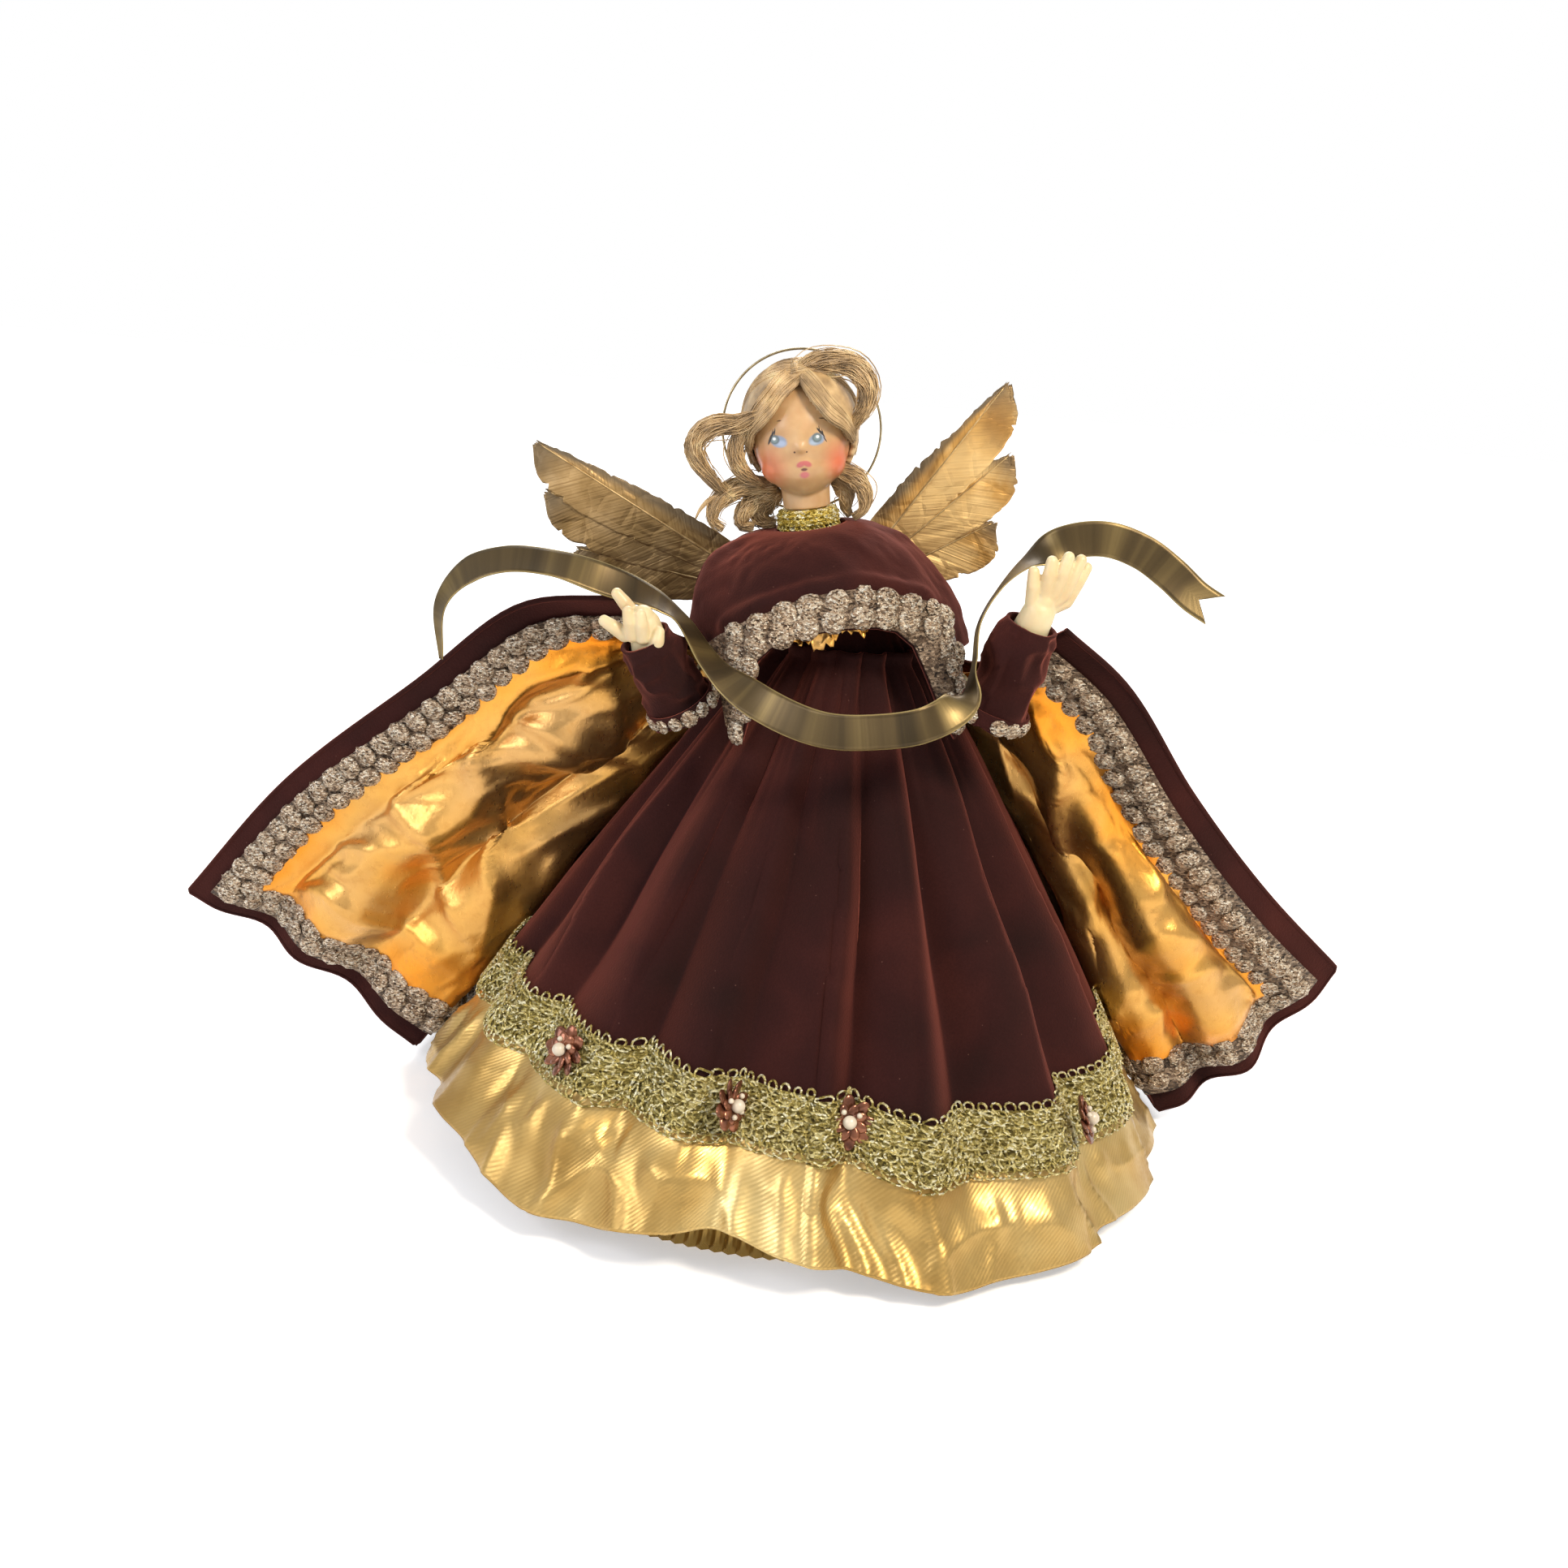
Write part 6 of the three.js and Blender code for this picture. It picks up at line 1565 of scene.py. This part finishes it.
def curledLock(points, radius, count, seed):
    # A lock whose strands wind slowly about its middle, wave apart and end unevenly.
    rng = np.random.default_rng(seed)
    line, _ = evenCurve(np.array(points, float) + [0, 0, head["lift"]])
    share = np.linspace(0, 1, hair["steps"])
    ends = rng.uniform(0.82, 1.06, (count, 1))
    at = np.minimum(share[None, :] * ends, 1.0)
    path = line(at)
    before, after = line(np.maximum(at - 0.02, 0)), line(np.minimum(at + 0.02, 1))
    tangent = unit(after - before)
    side = unit(np.cross(tangent, [0.0, 1.0, 0.0]))
    out = unit(np.cross(side, tangent))
    swell = 0.5 + 0.5 * np.sin(math.pi * np.minimum(1, at + 0.14))
    away = np.sqrt(rng.uniform(0.02, 1, (count, 1)))
    away = away * np.where(rng.random((count, 1)) < 0.05, 1.5, 0.95)   # a few strands fly loose
    start = rng.uniform(0, fullTurn, (count, 1)) + 1.3 * at
    swaying = at * fullTurn * rng.uniform(0.7, 1.6, (count, 1)) + rng.uniform(0, 6, (count, 1))
    turn = start + 0.35 * np.sin(swaying)
    reach = radius * swell * away * (1 + 0.16 * np.sin(at * 13 + rng.uniform(0, 6, (count, 1))))
    paths = (path + side * (np.cos(turn) * reach)[..., None]
             + out * (np.sin(turn) * reach * 0.8)[..., None])
    taper = hair["strand"] * (0.3 + 0.8 * np.sin(np.clip(share * 0.97 + 0.05, 0, 1) * math.pi) ** 0.5)
    normals = unit(paths - path + 1e-6)
    return strandsOnHead(paths, taper * rng.uniform(0.7, 1.2, (count, 1)), normals)


def lockCore(points, radius):
    # The dense middle of a lock, which keeps light from passing between its strands.
    line, _ = evenCurve(np.array(points, float) + [0, 0, head["lift"]])
    share = np.linspace(0.02, 0.93, 26)
    width = radius * 0.62 * (0.5 + 0.5 * np.sin(math.pi * np.minimum(1, share + 0.14)))
    width = width * (1 - 0.85 * eased(0.6, 0.93, share))
    core = onHead(line(share))
    ahead = np.broadcast_to(headTurn @ [0, 1.0, 0], core.shape)
    return threads(core[None], width[None], 12, ahead[None])


# The hairline across and up from the head's middle, apex first, then down each side.
hairline = {
    "left": [(1.4, 17.5), (-4.2, 13.1), (-8.7, 7.9), (-12.3, 4.8), (-15.1, 2.3), (-16.9, -3.5)],
    "right": [(1.4, 17.5), (3.9, 13.4), (6.6, 9.4), (10.0, 5.0), (14.3, 1.5), (16.6, -3.5)],
}


def onSkull(x, z, extra):
    # A point on the hair shell over the skull at a place across and up from its middle.
    radius = np.array([head["radius"], head["radius"], head["height"] / 2]) + extra
    depth = np.sqrt(np.maximum(0.02, 1 - (x / radius[0]) ** 2 - (z / radius[2]) ** 2)) * radius[1]
    return (x, -depth, head["lift"] + z)


def layScalp():
    # The dense hair on the skull, under the loose strands; the face stays open below the hairline.
    turn = np.radians(180 - np.arange(120) / 120 * 360)[None, :]
    down = np.radians(np.linspace(0.6, 128, 44))[:, None]
    local = np.stack(np.broadcast_arrays(np.sin(down) * np.cos(turn), np.sin(down) * np.sin(turn),
                                         np.cos(down)), axis=-1) * np.array(hair["scalp"])
    x, y, z = local[..., 0], local[..., 1] + hair["back"], local[..., 2] + hair["up"]
    edge = np.interp(x, *np.array(hairline["left"][::-1] + hairline["right"][1:]).T)
    keep = (z > edge + 1.0) | (y > -3.5 + 0.35 * np.abs(z))
    keep &= (z > -17) | (y > 6)
    points = onHead(np.stack([x, y, z + head["lift"]], axis=-1))
    scalp = clothPiece("mohair_scalp", points, -1.0, 0.8, mohair, True, keep=keep)
    finishPiece(scalp, "head", "mohair", "hair_cap")


def windLocks():
    for number, (label, curls) in enumerate(locks.items()):
        shapes = []
        for part, (points, radius, count) in enumerate(curls):
            shapes.append(curledLock(points, radius, count, 100 + 10 * number + part))
            if radius > 1:
                shapes.append(lockCore(points, radius))
        piece = joinedMeshes(f"mohair_{label}", shapes, mohair)
        finishPiece(piece, "head", "mohair", f"hair_{label}")


def combCap():
    # Strands leave the parting and fall over the skull to its sides and back.
    shapes = []
    for sign in (-1, 1):
        guides = []
        for start in np.linspace(-34, 150, 12):
            a = math.radians(start)
            top = np.array([0, math.sin(a), math.cos(a)])
            side = np.array([sign, 0.35, -0.1])
            side = unit(side - top * (side @ top))
            line = []
            for down in np.linspace(-0.03, 1, 9):
                swing = down * math.radians(112 if start < 40 else 80)
                direction = unit(top * math.cos(swing) + side * math.sin(swing))
                line.append(direction * hair["cap"] + [0, hair["back"], head["lift"] + hair["up"]])
            guides.append(line)
        shapes.append(strandsBetween(guides, 700, 0.25, hair["strand"] * 1.15, 120 + sign, 0.7))
    finishPiece(joinedMeshes("mohair_cap", shapes, mohair), "head", "mohair")


def combBangs():
    # From the parting along the hairline and over the brow to each temple.
    for sign, side in ((-1, "left"), (1, "right")):
        guides = []
        for low in np.linspace(0, 1, 6):
            guide = []
            for step, (x, z) in enumerate(hairline[side]):
                along = step / 5
                rise = low * (3.4 + 5.5 * math.sin(math.pi * min(along + 0.12, 1)))
                extra = 2.3 + 1.3 * math.sin(math.pi * along)
                guide.append(onSkull(x + sign * low * 1.2 * along, z + rise, extra))
            guides.append(guide)
        strands = strandsBetween(guides, 460, 0.2, hair["strand"] * 1.05, 130 + sign, 0.8)
        piece = joinedMeshes(f"mohair_bang_{side}", [strands], mohair)
        finishPiece(piece, "head", "mohair", f"hair_bang_{side}")


layScalp()
windLocks()
combCap()
combBangs()
print("hair is dressed")

# Collar and halo

collar = {"radius": 8.9, "rows": [5.4, 6.8, 8.3, 9.8], "out": [0.4, 1.2, 1.2, 0.4], "loops": 32,
          "loop": 1.45, "thread": 0.36}
halo = {"radius": 27, "wire": 0.42, "place": (0, 15.7, 36), "stem": 18.5, "stemPlace": (0, 15.9, 18.2)}


def loopCollar():
    shapes = []
    for number, (height, away) in enumerate(zip(collar["rows"], collar["out"])):
        steps = collar["loops"] * 10
        phase = np.arange(steps) / 10 * fullTurn + number * 1.3
        turn = np.arange(steps) / steps * fullTurn + collar["loop"] * np.sin(phase) / collar["radius"]
        radius = collar["radius"] + away + 0.4 * np.sin(phase * 2 + number)
        path = np.stack([radius * np.cos(turn), radius * np.sin(turn),
                         height + collar["loop"] * np.cos(phase)], axis=-1)
        out = np.stack([np.cos(turn), np.sin(turn), 0 * turn], axis=-1)
        shapes.append(threads(onHead(path)[None], collar["thread"], 4, (out @ headTurn.T)[None], True))
    piece = joinedMeshes("collar_loops", shapes, collarTinsel)
    finishPiece(piece, "head", "gold_braid")


def bendHalo():
    seat = (Matrix.Translation(Vector(head["foot"]) * milli)
            @ Matrix.Rotation(math.radians(head["lean"]), 4, "Y"))
    bpy.ops.mesh.primitive_torus_add(major_radius=halo["radius"] * milli, major_segments=160,
                                     minor_radius=halo["wire"] * milli, minor_segments=10,
                                     rotation=(math.pi / 2, 0, 0), location=inMetres(halo["place"]))
    ring = bpy.context.object
    bpy.ops.mesh.primitive_cylinder_add(radius=halo["wire"] * milli, depth=halo["stem"] * milli,
                                        vertices=10, location=inMetres(halo["stemPlace"]))
    piece = joinedParts("wire_halo", [ring, bpy.context.object])
    settle(piece, seat)
    bpy.ops.object.shade_smooth()
    piece.data.materials.append(wireSteel)
    finishPiece(piece, "head", "wire", "halo_ring")


loopCollar()
bendHalo()
print("collar and halo are on")

# Wings: gilt feathers with quills, barbs and ragged edges

# The left wing's smaller share of pale leaf is painted shade as well.
wings = {
    "left": {"root": (-17 + 14.008, 35 - 6.987, 186.01), "gilt": giltLeftShaded, "leads": -1, "leaf": 0.35,
             "feathers": [(0.77, 152), (0.69, 160), (0.57, 171)]},
    "right": {"root": (2.04 + 14.008, 35 - 6.987, 187.97), "gilt": giltRightLit, "leads": 1, "leaf": 1.0,
              "feathers": [(0.72, 57), (0.6, 45), (0.47, 31)]},
}
feather = {"lead": 8, "trail": 13, "root": 1.8, "layer": 0.85, "camber": 1.6, "rows": 120, "columns": 30,
           "thick": 0.16, "quill": 0.7, "quillLength": 0.97}


def bladeEdge(share, blade):
    # How far a blade reaches from the quill along the feather, as the solid's outline runs.
    t = np.linspace(0, 1, 60)
    wide = feather[blade]
    if blade == "trail":
        p = [(0, feather["root"]), (0.4, 0.4 * wide), (0.85, 2 * wide), (1.0, 0.12 * wide)]
    else:
        p = [(0, feather["root"]), (0.2, 1.5 * wide), (0.5, wide), (1.0, 0.08 * wide)]
    weights = ((1 - t) ** 3, 3 * t * (1 - t) ** 2, 3 * t * t * (1 - t), t ** 3)
    x, y = (sum(weight * q[k] for weight, q in zip(weights, p)) for k in (0, 1))
    return np.interp(share, x, y)


def layFeather(side, number, lengthShare, angle, wing):
    length = lengthShare * doll["hemRadius"]
    share = np.linspace(0.0, 1.0, feather["rows"])[:, None]
    across = np.linspace(-1, 1, feather["columns"] + 1)[None, :]
    leading = across * wing["leads"] > 0
    seed = 200 + 10 * number + (0 if side == "left" else 5)
    frayed = (smoothNoise(share * 60, np.sign(across) * 3 + 0.5, seed)
              + 0.6 * smoothNoise(share * 22, np.sign(across) * 4 + 0.5, seed + 4))
    splits = np.abs(smoothNoise(share * 12, np.sign(across) * 5 + 0.5, seed + 1))
    split = np.exp(-(splits / 0.05) ** 2) * eased(0.3, 0.5, share)
    half = np.where(leading, bladeEdge(share, "lead"), bladeEdge(share, "trail"))
    ragged = 0.5 * frayed * np.where(leading, 0.9, 0.55) * eased(0.2, 0.45, share)
    half = half + (ragged * np.abs(across) ** 2 - 0.14 * half * split * np.abs(across) ** 3)
    tipCurl = eased(0.9, 1.0, share)
    sweep = np.where(leading, 0.5, 0.3) * eased(0.1, 0.5, share)
    x = share * length + np.abs(across) * half * sweep * (1 - tipCurl) * 0.6
    x = x - tipCurl * (smoothNoise(across * 7, share * 0, seed + 2) * 0.5 + 0.5) * 2.2
    z = across * half
    lift = feather["camber"] * (1 - across ** 2) * np.sin(share * math.pi) * 0.35
    ripple = smoothNoise(share * 14 - np.abs(across) * 3, across * 2, seed + 3) * 0.22
    out = -(lift + ripple + 0.35)
    turn = math.radians(angle)
    points = np.stack([x * math.cos(turn) - z * math.sin(turn), out + number * feather["layer"] + 0.4,
                       x * math.sin(turn) + z * math.cos(turn)], axis=-1)
    root = np.array(wing["root"])
    lead = across * wing["leads"]
    rub = (0.9 if number == 0 else 0.3) * eased(0.25, 0.8, lead) * eased(0.15, 0.4, share)
    rub = rub + 0.8 * eased(0.8, 0.97, share) + 0.12 * smoothNoise(share * 9, across * 3, seed + 6)
    leafed = wing["leaf"] * eased(-0.2, 0.15, -lead) * eased(0.12, 0.3, share)
    leafed = leafed * (1 - eased(0.66, 0.86, share))
    uv = np.stack(np.broadcast_arrays(z, x), axis=-1)
    blade = clothPiece(f"feather_{side}_{number + 1}", points + root, -feather["thick"] / 2,
                       feather["thick"] / 2, wing["gilt"], uv=uv,
                       marks={"rubbed": np.clip(rub, 0, 1), "leafed": leafed})
    finishPiece(blade, f"wing_{side}", "gilt_feather", f"wing_{side}_feather_{number + 1}")
    spine = np.linspace(0, feather["quillLength"], 40)
    back = -(feather["camber"] * np.sin(spine * math.pi) * 0.35 + 0.5)
    back = back + number * feather["layer"] + 0.4
    quill = np.stack([spine * length * math.cos(turn), back, spine * length * math.sin(turn)],
                     axis=-1) + root
    rod = threadPiece(f"quill_{side}_{number + 1}", quill[None],
                      feather["quill"] * (1 - 0.8 * spine)[None], 8,
                      np.broadcast_to([0.0, 1.0, 0.0], quill.shape)[None], quillGilt)
    finishPiece(rod, f"wing_{side}", "gilt_feather")


for side, wing in wings.items():
    for number, (lengthShare, angle) in enumerate(wing["feathers"]):
        layFeather(side, number, lengthShare, angle, wing)
print("wings are gilded")

# Brooches on the lace

brooch = {
    "places": [-132, -102, -81, -40], "edgeOn": [0, 62, 0, 25], "petals": 8, "reach": 8,
    "proud": 1.4, "upward": 0.42, "flatLift": 0.9, "heart": 2.4, "heartThick": 0.8,
    "pearl": 2.2, "pearlRise": 3.6, "seed": 0.9, "seedRise": 3.1,
    # Two layers of petals: how far out, half sizes, height, turn against the other layer.
    "layers": [(5.1, (3.7, 2.4, 0.7), 0.9, 0.0), (3.3, (2.8, 1.9, 0.7), 1.9, 0.39)],
    # Seed beads beside the pearl: turn and how far out, for a brooch seen flat and for a turned one.
    "flatSeeds": [(0.6, 3.8), (2.1, 3.6)],
    "turnedSeeds": [(0.6, 3.8), (2.4, 3.8), (4.2, 3.6), (5.4, 3.4)],
}


def broochSeat(angle, slant):
    point, normal, _ = laceSurface(np.array(float(angle)), np.array(0.5))
    turn, lean = math.radians(angle), math.radians(slant)
    outward = unit(np.array([math.cos(turn), math.sin(turn), brooch["upward"]]) + 0.25 * normal)
    side = unit(np.cross([0.0, 0.0, 1.0], outward))
    face = outward * math.cos(lean) + side * math.sin(lean)
    lift = brooch["flatLift"] if slant == 0 else brooch["reach"] * 0.55
    seat = point + normal * (lace["base"] + brooch["proud"]) + outward * lift
    return (Matrix.Translation(Vector(seat) * milli)
            @ Vector(face).to_track_quat("Z", "Y").to_matrix().to_4x4())


def pinned(name, parts, seat, material):
    piece = joinedParts(name, parts)
    settle(piece, seat)
    bpy.ops.object.shade_smooth()
    piece.data.materials.append(material)
    return piece


def layBrooch(number, angle, slant):
    seat = broochSeat(angle, slant)
    petals = []
    for step in range(brooch["petals"]):
        for away, size, rise, spin in brooch["layers"]:
            turn = step / brooch["petals"] * fullTurn + spin
            place = inMetres((away * math.cos(turn), away * math.sin(turn), rise))
            bpy.ops.mesh.primitive_uv_sphere_add(segments=16, ring_count=8, radius=1, location=place,
                                                 rotation=(0.3, -0.18, turn), scale=inMetres(size))
            petals.append(bpy.context.object)
    bpy.ops.mesh.primitive_cylinder_add(radius=brooch["heart"] * milli, vertices=24,
                                        depth=brooch["heartThick"] * milli,
                                        location=(0, 0, brooch["heartThick"] / 2 * milli))
    petals.append(bpy.context.object)
    flower = pinned(f"brooch_petals_{number}", petals, seat, petalGlass)
    finishPiece(flower, "body", "petal", f"brooch_flower_{number}")
    bpy.ops.mesh.primitive_uv_sphere_add(segments=24, ring_count=16, radius=brooch["pearl"] * milli,
                                         location=(0, 0, brooch["pearlRise"] * milli))
    pearls = [bpy.context.object]
    for turn, away in brooch["flatSeeds"] if slant == 0 else brooch["turnedSeeds"]:
        place = (away * math.cos(turn), away * math.sin(turn), brooch["seedRise"])
        bpy.ops.mesh.primitive_uv_sphere_add(segments=14, ring_count=10, radius=brooch["seed"] * milli,
                                             location=inMetres(place))
        pearls.append(bpy.context.object)
    beads = pinned(f"brooch_beads_{number}", pearls, seat, pearl)
    finishPiece(beads, "body", "pearl", f"brooch_pearl_{number}")


for number, (angle, slant) in enumerate(zip(brooch["places"], brooch["edgeOn"]), 1):
    layBrooch(number, angle, slant)
print("brooches are pinned")

# Ribbed foil cone under the skirt

cone = {"rim": 106, "top": 11, "height": 176, "ribs": 150, "depth": 0.7, "wall": 1.2}


def wrapCone():
    turn = np.arange(cone["ribs"] * 4) / (cone["ribs"] * 4) * fullTurn
    share = np.linspace(0, 1, 12)[:, None]
    radius = cone["top"] + (cone["rim"] - cone["top"]) * share
    rib = cone["depth"] * (0.25 + 0.75 * share) * np.cos(turn * cone["ribs"])
    radius = radius + rib - cone["depth"]
    points = np.stack(np.broadcast_arrays(radius * np.cos(turn), radius * np.sin(turn),
                                          cone["height"] * (1 - share)), axis=-1)[:, ::-1] + shift
    piece = clothPiece("cone_foil", points, -cone["wall"], 0, coneFoil, True)
    for corner in piece.data.vertices:
        corner.co.z = max(corner.co.z, 0.0)   # the cut rim stands flat
    finishPiece(piece, "body", "cone_board", "base_cone")


wrapCone()

# Finishes for the solids that stay

carried = {
    "cone_cap": capWood, "torso": bodyPaper, "neck_peg": capWood,
    "arm_wire_left": wireSteel, "arm_wire_right": wireSteel, "collar_braid": collarTinsel,
    "wing_left_foil": foilCloth, "wing_right_foil": foilCloth,
    "wing_left_pin": wireSteel, "wing_right_pin": wireSteel,
}
for name, paint in carried.items():
    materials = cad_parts[name].data.materials
    materials.clear()
    materials.append(paint)
print("carried solids are finished")
